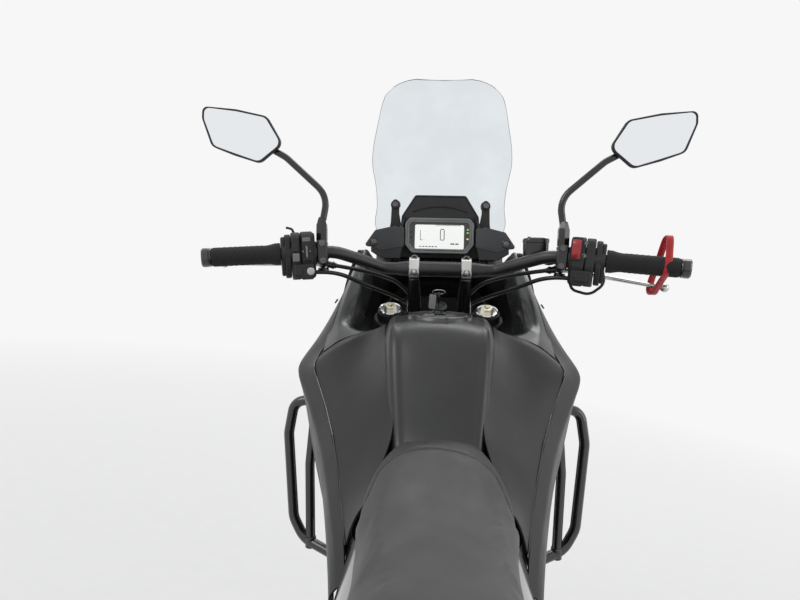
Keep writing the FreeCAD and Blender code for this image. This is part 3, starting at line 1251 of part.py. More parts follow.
def rear_carrier():
    """Two rails with the fixing holes, the slats between them and the posts down to the subframe."""
    rail = [(CARRIER_HALF_X - 15, -790), (CARRIER_HALF_X + 5, -800), (CARRIER_HALF_X + 17, -826), (CARRIER_HALF_X + 17, -986),
            (CARRIER_HALF_X + 5, -1030), (CARRIER_HALF_X - 15, -1040)]
    made = []
    for side in (-1, 1):
        plate = slab([V(side * x, y, CARRIER_Z) for x, y in rail], V(0, 0, CARRIER_T))
        holes = [true_rod(V(side * CARRIER_HALF_X, y, CARRIER_Z - 1), V(side * CARRIER_HALF_X, y, CARRIER_Z + CARRIER_T + 1),
                          CARRIER_HOLE_R) for y in (CARRIER_FRONT_Y, CARRIER_FRONT_Y - CARRIER_LENGTH)]
        made.append(plate.cut(Part.makeCompound(holes)))
        for y, z in CARRIER_POSTS:
            made.append(rod(V(side * CARRIER_POST_X, y, z), V(side * CARRIER_POST_X, y, CARRIER_Z), 8))
    half = CARRIER_HALF_X - 15
    for y in CARRIER_SLATS_Y:
        made.append(slab([V(-half, y, CARRIER_Z), V(half, y, CARRIER_Z), V(half, y - CARRIER_SLAT_W, CARRIER_Z),
                          V(-half, y - CARRIER_SLAT_W, CARRIER_Z)], V(0, 0, CARRIER_T)))
    return Part.makeCompound(made)


def tail_light():
    return slab([V(x, -1000 - GAP, z) for x, z in [(-80, 832), (80, 832), (88, 856), (72, 880), (-72, 880), (-88, 856)]],
                V(0, -24, 0), 8)


def plate_holder():
    """The rear mudguard arm that would carry a plate, with the bar for the turn lamps."""
    arm = slab([V(-30, -960, 818), V(-30, -1000, 822), V(-30, -1164, 700), V(-30, -1186, 560), V(-30, -1172, 560),
                V(-30, -1146, 690)], V(60, 0, 0))
    root = slab([V(-56, -930, 806), V(56, -930, 806), V(56, -930, 822), V(-56, -930, 822)], V(0, -70, 0), 4)
    stem_pair = [rod(V(side * 60, -905, 848), V(side * 50, -940, 814), 7) for side in (-1, 1)]
    cross = rod(V(-120, -1120, 716), V(120, -1120, 716), 6)
    return joined(arm, root, cross, *stem_pair)


def indicators():
    """Four turn lamps on short stalks."""
    made = []
    for side in (-1, 1):
        made.append(turned(V(0, -1120, 716), [(side * x, r) for x, r in
                                              [(120, 0), (120, 8), (136, 8), (138, 18), (160, 18), (180, 11), (180, 0)]]))
        made.append(turned(V(0, 470, 1010), [(side * x, r) for x, r in
                                             [(210.4, 0), (210.4, 7), (236, 7), (238, 18), (262, 18), (282, 11), (282, 0)]]))
    return Part.makeCompound(made)


def control_cables():
    """A cable from each lever's adjuster and a lead from each switch housing, down to the lower yoke."""
    cords = []
    for side in (-1, 1):
        adjuster = lever_pivot(side) + cable_heading(side) * ADJUSTER_LENGTH
        housing = across_bar(side, SWITCH_FROM, -2, -36)
        inboard = (bar_point(side, 300) - bar_point(side, 400)).normalize()
        top = LOWER_YOKE_S + LOWER_YOKE_H
        lever_run = [adjuster, adjuster + cable_heading(side) * 40, V(side * 118, 330, 1146), V(side * 80, 390, 1128)]
        switch_run = [housing, housing + inboard * 36, V(side * 146, 286, 1128), V(side * 102, 348, 1108),
                      V(side * 66, 410, 1086)]
        for run, x, ahead in ((lever_run, 46, 94), (switch_run, 32, 80)):
            ends = [steer(side * x, top + 110 + ahead, ahead), steer(side * x, top + 120, ahead),
                    steer(side * x, top + 58, 56), steer(side * x, top, 56)]
            cords.append(tube_along(run + ends, CABLE_R, 90))
    return Part.makeCompound(cords)


NODES = {"through_bolts": ["rear_axle", "pivot_bolt"], "rear_panels": ["side_covers", "tail_cowl"]}

BUILD = {
    "frame": frame, "subframe": subframe, "engine_case": engine_case, "cylinder_block": cylinder_block,
    "radiator": radiator, "exhaust_pipe": exhaust_pipe, "muffler": muffler, "skid_plate": skid_plate,
    "swingarm": swingarm, "pivot_bolt": pivot_bolt, "rear_axle": rear_axle, "drive_sprocket": drive_sprocket,
    "chain": chain, "shock": shock, "rear_caliper": rear_caliper, "foot_controls": foot_controls,
    "crash_bars": crash_bars, "fuel_tank": fuel_tank, "filler_cap": filler_cap, "tank_covers": tank_covers,
    "side_shrouds": side_shrouds, "inner_panels": inner_panels, "nose_fairing": nose_fairing,
    "headlight": headlight, "headlight_lenses": headlight_lenses, "windscreen": windscreen,
    "instrument": instrument, "display": display, "cockpit_panels": cockpit_panels, "side_covers": side_covers,
    "rider_seat": rider_seat, "pillion_seat": pillion_seat, "tail_cowl": tail_cowl, "rear_carrier": rear_carrier,
    "tail_light": tail_light, "plate_holder": plate_holder, "indicators": indicators,
    "yokes": yokes, "fork_legs": fork_legs, "front_axle": front_axle, "front_fender": front_fender,
    "front_calipers": front_calipers, "handlebar": handlebar, "risers": risers, "grips": grips,
    "switchgear": switchgear, "hand_levers": hand_levers, "mirrors": mirrors, "mirror_glass": mirror_glass,
    "lever_strap": strap, "control_cables": control_cables,
    "front_tyre": lambda: tyre(FRONT_AXLE, FRONT_TYRE_R, FRONT_TYRE_W, FRONT_RIM_R),
    "front_wheel": front_wheel, "front_discs": front_discs,
    "rear_tyre": lambda: tyre(REAR_AXLE, REAR_TYRE_R, REAR_TYRE_W, REAR_RIM_R),
    "rear_wheel": rear_wheel, "rear_disc": rear_disc, "rear_sprocket": rear_sprocket,
    "side_stand": side_stand,
}


def leaned(point):
    """A bike-frame point once the machine leans on its stand, before it is centred."""
    a = math.radians(-LEAN)
    return V(point.x * math.cos(a) + point.z * math.sin(a), point.y,
             -point.x * math.sin(a) + point.z * math.cos(a))


def origin_shift():
    """The move that puts the machine's footprint over the origin, from the pieces that reach furthest."""
    left = min(leaned(V(-x, 0, z)).x for x, z in MIRROR_OUTLINE)
    right = leaned(across_bar(1, WEIGHT_TO, 0, -WEIGHT_R)).x
    front = WHEELBASE / 2 + FRONT_TYRE_R
    return V(-(left + right) / 2, (REAR_REACH - front) / 2, 0)


def place(shape):
    """Lean the shape to the left and set it over the origin."""
    turned_shape = shape.copy()
    turned_shape.rotate(V(0, 0, 0), V(0, 1, 0), -LEAN)
    turned_shape.translate(origin_shift())
    return turned_shape


# Pieces that are trimmed where they meet the pieces that carry them
TRIMS = {
    "subframe": ["frame"], "radiator": ["frame"], "skid_plate": ["frame", "engine_case"],
    "cylinder_block": ["engine_case", "frame"], "engine_case": ["frame"], "crash_bars": ["frame"],
    "foot_controls": ["frame", "subframe"], "shock": ["frame", "swingarm"], "side_covers": ["frame", "subframe"],
    "rider_seat": ["subframe", "fuel_tank", "tank_covers"], "pillion_seat": ["subframe"],
    "rear_carrier": ["subframe"], "plate_holder": ["subframe"], "muffler": ["subframe"],
    "cockpit_panels": ["windscreen"], "headlight": ["nose_fairing"], "risers": ["yokes"], "switchgear": ["handlebar"], "mirrors": ["switchgear"], "fuel_tank": ["tank_covers"],
}


def built():
    """Every piece by name in the bike frame, trimmed to what carries it."""
    shapes = {name: build() for name, build in BUILD.items()}
    raw = dict(shapes)
    for name, carriers in TRIMS.items():
        for carrier in carriers:
            shapes[name] = shapes[name].cut(raw[carrier])
    return shapes


def nodes():
    """The pieces by node: like pieces that share one are its solids."""
    shapes = built()
    shared = {piece for pieces in NODES.values() for piece in pieces}
    grouped = {name: shape for name, shape in shapes.items() if name not in shared}
    for node, pieces in NODES.items():
        grouped[node] = Part.makeCompound([solid for piece in pieces for solid in shapes[piece].Solids])
    return grouped


def main():
    os.makedirs("parts", exist_ok=True)
    for name, shape in nodes().items():
        place(shape).exportStep(f"parts/{name}.step")


if __name__ == "__main__":
    main()
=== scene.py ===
"""Dresses the adventure motorcycle: bodywork, padded seats, controls, treaded tyres, chain and finishes.

Sizes are in millimetres in the machine's own upright frame.
Stance.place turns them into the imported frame's metres.
"""
from __future__ import annotations

import json
import logging
import math
from dataclasses import dataclass, field
from enum import Enum
from typing import Callable, Iterable, Optional, Sequence

import bmesh
import bpy
from mathutils import Matrix, Vector

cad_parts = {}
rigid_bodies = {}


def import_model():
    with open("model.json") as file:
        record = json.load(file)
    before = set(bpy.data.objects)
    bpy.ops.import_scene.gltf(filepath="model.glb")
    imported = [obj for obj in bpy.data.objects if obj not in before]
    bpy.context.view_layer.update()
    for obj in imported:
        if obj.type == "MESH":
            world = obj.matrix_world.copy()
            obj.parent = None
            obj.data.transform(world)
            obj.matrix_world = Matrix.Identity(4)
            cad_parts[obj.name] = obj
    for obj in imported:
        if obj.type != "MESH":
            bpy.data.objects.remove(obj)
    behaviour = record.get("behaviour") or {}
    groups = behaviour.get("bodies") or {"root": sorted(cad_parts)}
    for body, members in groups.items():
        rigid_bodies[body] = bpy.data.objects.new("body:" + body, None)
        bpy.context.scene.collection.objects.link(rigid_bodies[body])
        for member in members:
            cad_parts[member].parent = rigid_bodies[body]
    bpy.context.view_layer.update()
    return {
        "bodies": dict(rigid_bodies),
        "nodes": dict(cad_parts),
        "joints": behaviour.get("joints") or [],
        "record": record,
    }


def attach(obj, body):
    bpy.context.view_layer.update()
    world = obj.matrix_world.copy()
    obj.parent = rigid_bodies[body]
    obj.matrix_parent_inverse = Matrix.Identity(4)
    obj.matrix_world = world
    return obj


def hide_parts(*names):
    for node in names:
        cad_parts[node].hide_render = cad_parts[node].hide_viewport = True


LOG = logging.getLogger("motorcycle")
Row = Sequence[float]
Outline = Sequence[tuple[float, float]]
LEAN = 7.0  # degrees to the left, on the side stand
FRONT_AXLE = Vector((0, 780, 347))
REAR_AXLE = Vector((0, -780, 333))
DRIVE_SHAFT = Vector((0, -100, 400))
LEG_X, LEG_AHEAD = 100, 32  # the fork legs' places beside and ahead of the steering axis
CHORD = 9.0  # the degrees that one chord of a bent tube turns
SENSOR_MM, PICTURE_PX = 36.0, 800.0  # the width of the camera's sensor and of the photograph


class Body(Enum):
    """The bodies that pieces ride on."""

    CHASSIS = "chassis"
    STEERING = "steering"
    FRONT_WHEEL = "front_wheel_set"
    REAR_WHEEL = "rear_wheel_set"
    STAND = "stand"


class Grain(Enum):
    """The relief that a surface shows from close by."""

    SMOOTH = "smooth"
    LEATHER = "leather"
    MOULDED = "moulded"
    CAST = "cast"
    BRUSHED = "brushed"
    RUBBER = "rubber"
    WOVEN = "woven"


@dataclass(frozen=True)
class Nodes:
    """A node tree that is being wired up."""

    tree: bpy.types.NodeTree

    def add(self, kind: str, operation: str = "", **values: float | tuple) -> bpy.types.Node:
        """Adds a node.

        Args:
            kind: its type, without Blender's prefix.
            operation: what a mathematical node does.
            values: its inputs' values, with _ for a space in their names.

        Returns:
            The node.
        """
        made = self.tree.nodes.new("ShaderNode" + kind)
        if operation:
            made.operation = operation
        self.put(made, **values)
        return made

    @staticmethod
    def put(node: bpy.types.Node, **values: float | tuple) -> None:
        """Sets a node's inputs, with _ for a space in their names."""
        for name, value in values.items():
            node.inputs[name.replace("_", " ")].default_value = value

    def join(self, source: bpy.types.Node, out: str | int, node: bpy.types.Node, into: str | int) -> None:
        """Links one node's output to another's input."""
        self.tree.links.new(source.outputs[out], node.inputs[into])

    def find(self, kind: str) -> bpy.types.Node:
        """The first node of a type."""
        return next(n for n in self.tree.nodes if n.type == kind)

    def seen(self, node: bpy.types.Node, into: str | int) -> None:
        """Feeds an input with 1 for what the camera, glossy metal and clear panels see."""
        rays = self.add("LightPath")
        clear, any_of = self.add("Math", "MAXIMUM"), self.add("Math", "MAXIMUM")
        self.join(rays, "Is Camera Ray", clear, 0)
        self.join(rays, "Is Transmission Ray", clear, 1)
        self.join(clear, 0, any_of, 0)
        self.join(rays, "Is Glossy Ray", any_of, 1)
        self.join(any_of, 0, node, into)


@dataclass(frozen=True)
class Finish:
    """One surface finish, made as a procedural material.

    colour and worn are linear colours; grain_mm is the size of the relief and depth_mm its height.
    """

    name: str
    colour: tuple[float, float, float]
    rough: float
    metal: float = 0.0
    coat: float = 0.0
    coat_rough: float = 0.08
    grain: Grain = Grain.SMOOTH
    grain_mm: float = 1.0
    depth_mm: float = 0.05
    worn: Optional[tuple[float, float, float]] = None
    variation: float = 0.12
    rough_spread: float = 0.06
    sheen: float = 0.0
    clear: float = 0.0
    glow: float = 0.0
    ior: float = 1.5
    patch_mm: float = 70.0
    handling_mm: float = 38.0

    def material(self) -> bpy.types.Material:
        """Makes the material once, and finds it again after that.

        Returns:
            The material, with its colour, roughness and relief from nodes.
        """
        known = bpy.data.materials.get(self.name)
        if known:
            return known
        made = bpy.data.materials.new(self.name)
        made.use_nodes = True
        made.diffuse_color = (*self.colour, 1.0)
        nodes = Nodes(made.node_tree)
        shader, place = nodes.find("BSDF_PRINCIPLED"), nodes.add("TexCoord")
        self._colour(nodes, place, shader)
        self._roughness(nodes, place, shader)
        self._relief(nodes, place, shader)
        nodes.put(shader, Metallic=self.metal, IOR=self.ior)
        if self.coat:
            nodes.put(shader, Coat_Weight=self.coat, Coat_Roughness=self.coat_rough)
        if self.sheen:
            nodes.put(shader, Sheen_Weight=self.sheen, Sheen_Roughness=0.5)
        if self.clear:
            nodes.put(shader, Transmission_Weight=self.clear)
        if self.glow:
            nodes.put(shader, Emission_Strength=self.glow, Emission_Color=(*self.colour, 1.0))
        return made

    @staticmethod
    def _noise(nodes: Nodes, place: bpy.types.Node, size_mm: float, detail: float) -> bpy.types.Node:
        """Adds a noise whose features are size_mm wide, in so many octaves."""
        noise = nodes.add("TexNoise", Scale=1000.0 / size_mm, Detail=detail)
        nodes.join(place, "Object", noise, "Vector")
        return noise

    def _colour(self, nodes: Nodes, place: bpy.types.Node, shader: bpy.types.Node) -> None:
        """Mixes the base colour with its worn shade in broad soft patches."""
        noise, ramp = self._noise(nodes, place, self.patch_mm, 4.0), nodes.add("ValToRGB")
        shade = self.worn or tuple(min(1.0, c * (1.0 + 2.5 * self.variation) + 0.004 * self.variation)
                                   for c in self.colour)
        low, high = ramp.color_ramp.elements
        low.position, low.color = 0.32, (*(c * (1.0 - self.variation) for c in self.colour), 1.0)
        high.position, high.color = 0.74, (*shade, 1.0)
        ramp.color_ramp.elements.new(0.5).color = (*self.colour, 1.0)
        nodes.join(noise, "Fac", ramp, "Fac")
        nodes.join(ramp, "Color", shader, "Base Color")

    def _roughness(self, nodes: Nodes, place: bpy.types.Node, shader: bpy.types.Node) -> None:
        """Varies the gloss a little, as handling does."""
        span = nodes.add("MapRange", From_Min=0.3, From_Max=0.7,
                         To_Min=max(0.01, self.rough - self.rough_spread * 0.5),
                         To_Max=min(1.0, self.rough + self.rough_spread))
        nodes.join(self._noise(nodes, place, self.handling_mm, 6.0), "Fac", span, "Value")
        nodes.join(span, "Result", shader, "Roughness")

    def _relief(self, nodes: Nodes, place: bpy.types.Node, shader: bpy.types.Node) -> None:
        """Adds the fine relief of the grain as bump."""
        height, out = self.depth_mm, "Fac"
        if self.grain is Grain.SMOOTH:
            source = self._noise(nodes, place, max(self.grain_mm, 22.0), 3.0)
            height = min(self.depth_mm, 0.03)
        elif self.grain is Grain.LEATHER:
            source, out = nodes.add("TexVoronoi"), "Distance"
            source.feature = "SMOOTH_F1"
            nodes.put(source, Scale=1000.0 / self.grain_mm)
            nodes.join(place, "Object", source, "Vector")
        elif self.grain is Grain.BRUSHED:
            stretch = nodes.add("Mapping", Scale=(0.04, 1.0, 1.0))
            nodes.join(place, "Object", stretch, "Vector")
            source = self._noise(nodes, place, self.grain_mm, 5.0)
            nodes.join(stretch, "Vector", source, "Vector")
        elif self.grain is Grain.WOVEN:
            source = nodes.add("TexWave", Scale=160.0 / self.grain_mm, Distortion=0.4)
            nodes.join(place, "Object", source, "Vector")
        else:
            source = self._noise(nodes, place, self.grain_mm, 8.0 if self.grain is Grain.CAST else 2.0)
        bump = nodes.add("Bump", Strength=1.0, Distance=height / 1000.0)
        nodes.join(source, out, bump, "Height")
        nodes.join(bump, "Normal", shader, "Normal")


SATIN_BLACK = Finish("satin_black_plastic", (0.014, 0.0145, 0.0155), 0.4, grain=Grain.MOULDED,
                     grain_mm=0.9, depth_mm=0.012)
TANK_BLACK = Finish("satin_tank_paint", (0.022, 0.0225, 0.0235), 0.36, coat=0.1, coat_rough=0.3,
    depth_mm=0.02)
GLOSS_BLACK = Finish("gloss_black_plastic", (0.012, 0.012, 0.013), 0.16, coat=0.8, coat_rough=0.06,
    rough_spread=0.05)
# a dark grey gloss, its base lightened well above the other blacks: partly the panels' own grey, partly
# painted reflection
WELL_GREY_PAINTED_SHEEN = Finish("curved_panel_grey_painted_sheen", (0.05, 0.052, 0.052), 0.28, coat=0.4, coat_rough=0.16,
    grain=Grain.MOULDED, grain_mm=0.8, depth_mm=0.008)
GRAINED = Finish("grained_dark_grey_plastic", (0.055, 0.057, 0.06), 0.52, grain=Grain.MOULDED, grain_mm=0.55,
    depth_mm=0.05)
MATTE_BLACK = Finish("matte_black_plastic", (0.02, 0.02, 0.021), 0.58, grain=Grain.MOULDED, grain_mm=0.6,
    depth_mm=0.035)
SEAT_TOP = Finish("seat_vinyl_top", (0.066, 0.066, 0.065), 0.55, grain=Grain.LEATHER, grain_mm=1.0,
    depth_mm=0.05, sheen=0.12, rough_spread=0.08, variation=0.1)
# a darker copy of the seat vinyl for the faces that turn away from above: painted shade on the seat's sides
# and nose band
SEAT_SIDE_PAINTED_SHADE = Finish("seat_vinyl_side_painted_shade", (0.036, 0.036, 0.036), 0.5, grain=Grain.LEATHER, grain_mm=1.4,
    depth_mm=0.07, sheen=0.08)
SEAM = Finish("seat_seam_thread", (0.05, 0.05, 0.05), 0.7, grain=Grain.WOVEN, grain_mm=1.2, depth_mm=0.2)
FRAME_PAINT = Finish("satin_frame_paint", (0.022, 0.022, 0.023), 0.38, coat=0.3, coat_rough=0.2,
    depth_mm=0.02)
BAR_PAINT = Finish("gloss_guard_paint", (0.01, 0.01, 0.0105), 0.2, coat=0.7, coat_rough=0.1, grain=Grain.CAST,
    grain_mm=4.0, depth_mm=0.02)
BAR_MATTE = Finish("matte_bar_anodise", (0.05, 0.05, 0.052), 0.36, metal=0.75, grain=Grain.CAST, grain_mm=0.7,
    depth_mm=0.01)
RISER_BLACK = Finish("gloss_riser_black", (0.016, 0.016, 0.017), 0.22, metal=0.35, coat=0.5, coat_rough=0.1)
CLAMP_GREY = Finish("silver_clamp_cap", (0.52, 0.52, 0.5), 0.3, metal=0.95, grain=Grain.BRUSHED, grain_mm=0.5,
    depth_mm=0.008)
ENGINE_COAT = Finish("engine_black_coat", (0.05, 0.05, 0.053), 0.42, metal=0.55, grain=Grain.CAST,
    grain_mm=1.2, depth_mm=0.06)
ENGINE_COVER = Finish("engine_cover_satin", (0.09, 0.09, 0.093), 0.34, metal=0.75, grain=Grain.CAST,
    grain_mm=1.6, depth_mm=0.03)
CAST_ALLOY = Finish("cast_alloy", (0.34, 0.34, 0.345), 0.4, metal=0.9, grain=Grain.CAST, grain_mm=1.4,
    depth_mm=0.05)
BRIGHT_STEEL = Finish("zinc_steel", (0.62, 0.62, 0.6), 0.28, metal=1.0, grain=Grain.BRUSHED, grain_mm=0.6,
    depth_mm=0.01)
DARK_STEEL = Finish("dark_steel", (0.14, 0.14, 0.145), 0.36, metal=0.95, grain=Grain.BRUSHED, grain_mm=0.6,
    depth_mm=0.015)
EXHAUST_STEEL = Finish("heat_tinted_steel", (0.5, 0.44, 0.36), 0.3, metal=1.0, grain=Grain.BRUSHED,
    grain_mm=0.9, depth_mm=0.01, worn=(0.34, 0.25, 0.3), variation=0.2)
MUFFLER_GREY = Finish("muffler_satin", (0.075, 0.075, 0.078), 0.4, metal=0.6, grain=Grain.CAST, grain_mm=0.9,
    depth_mm=0.02)
SKID_ALLOY = Finish("brushed_skid_alloy", (0.42, 0.42, 0.425), 0.36, metal=0.95, grain=Grain.BRUSHED,
    grain_mm=1.0, depth_mm=0.03)
DISC_STEEL = Finish("brake_disc_steel", (0.5, 0.5, 0.49), 0.26, metal=1.0, grain=Grain.BRUSHED, grain_mm=0.5,
    depth_mm=0.012)
GOLD_CAP = Finish("pale_gold_anodise", (0.72, 0.69, 0.53), 0.3, metal=1.0, grain=Grain.BRUSHED, grain_mm=0.5,
    depth_mm=0.008)
GOLD_CHAIN = Finish("oiled_chain_steel", (0.42, 0.34, 0.19), 0.34, metal=0.95, grain=Grain.CAST, grain_mm=1.0,
    depth_mm=0.02, worn=(0.2, 0.15, 0.08))
CHROME_TUBE = Finish("hard_chrome", (0.72, 0.72, 0.73), 0.1, metal=1.0, rough_spread=0.03)
TYRE_RUBBER = Finish("tyre_rubber", (0.024, 0.024, 0.024), 0.72, grain=Grain.RUBBER, grain_mm=1.6,
    depth_mm=0.09, worn=(0.05, 0.048, 0.045))
GRIP_RUBBER = Finish("grip_rubber", (0.018, 0.018, 0.018), 0.62, grain=Grain.RUBBER, grain_mm=0.9,
    depth_mm=0.06)
SHEATH = Finish("cable_sheath", (0.014, 0.014, 0.014), 0.36, grain=Grain.RUBBER, grain_mm=2.5, depth_mm=0.03)
RED_BAND = Finish("red_elastic", (0.62, 0.02, 0.025), 0.42, grain=Grain.WOVEN, grain_mm=1.1, depth_mm=0.08,
    sheen=0.2)
RED_SWITCH = Finish("red_switch", (0.62, 0.04, 0.05), 0.3, coat=0.3, grain=Grain.MOULDED, grain_mm=0.7,
    depth_mm=0.02)
BEZEL_GREY = Finish("grey_bezel", (0.27, 0.28, 0.28), 0.4, grain=Grain.MOULDED, grain_mm=0.6, depth_mm=0.02)
BEZEL_FIELD = Finish("black_display_field", (0.012, 0.012, 0.012), 0.12, coat=0.6, coat_rough=0.05)
LCD_WHITE = Finish("lit_display", (0.93, 0.94, 0.92), 0.2, coat=0.4, coat_rough=0.05, glow=0.55,
    variation=0.02)
LCD_MARK = Finish("display_segments", (0.16, 0.19, 0.17), 0.3)
TELL_GREEN = Finish("green_telltale", (0.25, 0.62, 0.1), 0.3, glow=0.6)
TELL_AMBER = Finish("amber_telltale", (0.85, 0.62, 0.06), 0.3, glow=0.7)
SCREEN_CLEAR = Finish("clear_screen", (0.8, 0.84, 0.87), 0.03, clear=1.0, ior=1.2, rough_spread=0.02,
    variation=0.02)
LENS_CLEAR = Finish("clear_lens", (0.9, 0.93, 0.95), 0.04, clear=0.85, ior=1.3, rough_spread=0.02, coat=0.3)
LENS_RED = Finish("red_lens", (0.45, 0.008, 0.008), 0.14, coat=0.7, clear=0.25)
LENS_AMBER = Finish("amber_lens", (0.85, 0.27, 0.02), 0.16, coat=0.6, clear=0.2)
MIRROR_GLASS = Finish("mirror_silver", (0.86, 0.88, 0.9), 0.02, metal=1.0, rough_spread=0.01, variation=0.01)
RADIATOR_CORE = Finish("radiator_core", (0.06, 0.06, 0.062), 0.45, metal=0.7, grain=Grain.BRUSHED,
    grain_mm=1.2, depth_mm=0.2)
TAG_WHITE = Finish("paper_tag", (0.92, 0.92, 0.89), 0.6, grain=Grain.MOULDED, grain_mm=0.8, depth_mm=0.02)
FLOOR = Finish("pale_floor", (0.8, 0.8, 0.8), 0.6, variation=0.02, rough_spread=0.04)


@dataclass(frozen=True)
class Stance:
    """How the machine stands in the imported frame: it leans, and its footprint is centred.

    lean is in degrees to the left; shift is in metres.
    """

    lean: float
    shift: Vector

    @classmethod
    def of(cls, joints: Sequence[dict]) -> "Stance":
        """Finds the stance from the rear wheel's joint.

        Args:
            joints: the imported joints.

        Returns:
            The stance.
        """
        spin = next(j for j in joints if j["name"] == "rear_wheel_spin")
        return cls(LEAN, Vector(spin["pos_m"]) - cls(LEAN, Vector()).place(REAR_AXLE))

    @property
    def matrix(self) -> Matrix:
        """The move from the machine's millimetres to the frame's metres."""
        turn = Matrix.Rotation(math.radians(-self.lean), 4, "Y")
        return Matrix.Translation(self.shift) @ turn @ Matrix.Scale(0.001, 4)

    def place(self, point: Row) -> Vector:
        """One point in the frame's metres."""
        return self.matrix @ Vector(point)

    def turn(self, direction: Row) -> Vector:
        """A direction in the frame."""
        return Matrix.Rotation(math.radians(-self.lean), 3, "Y") @ Vector(direction)


def unit(vector: Row) -> Vector:
    """The vector at length one."""
    return Vector(vector).normalized()


def across(axis: Vector) -> tuple[Vector, Vector]:
    """Two directions square to an axis and to each other."""
    start = Vector((0, 0, 1)) if abs(axis.z) < 0.9 else Vector((1, 0, 0))
    u = axis.cross(start).normalized()
    return u, axis.cross(u).normalized()


def bent(points: Sequence[Row], bend: float) -> list[Vector]:
    """A bent tube's centre line: straight runs joined by arcs.

    Args:
        points: the corners.
        bend: the arcs' radius.

    Returns:
        The points along the line.
    """
    corners = [Vector(p) for p in points]
    line = [corners[0]]
    for before, corner, after in zip(corners, corners[1:], corners[2:]):
        u, w = (before - corner).normalized(), (after - corner).normalized()
        turn = math.pi - u.angle(w)
        if turn < 0.01:
            continue
        radius = min(bend, 0.45 * min((before - corner).length, (after - corner).length) / math.tan(turn / 2))
        inward = (u + w).normalized()
        centre = corner + inward * (radius / math.cos(turn / 2))
        side = (w - u).normalized()
        count = max(2, math.ceil(math.degrees(turn) / CHORD))
        for i in range(count + 1):
            angle = turn * (i / count - 0.5)
            line.append(centre - inward * (radius * math.cos(angle)) + side * (radius * math.sin(angle)))
    return line + [corners[-1]]


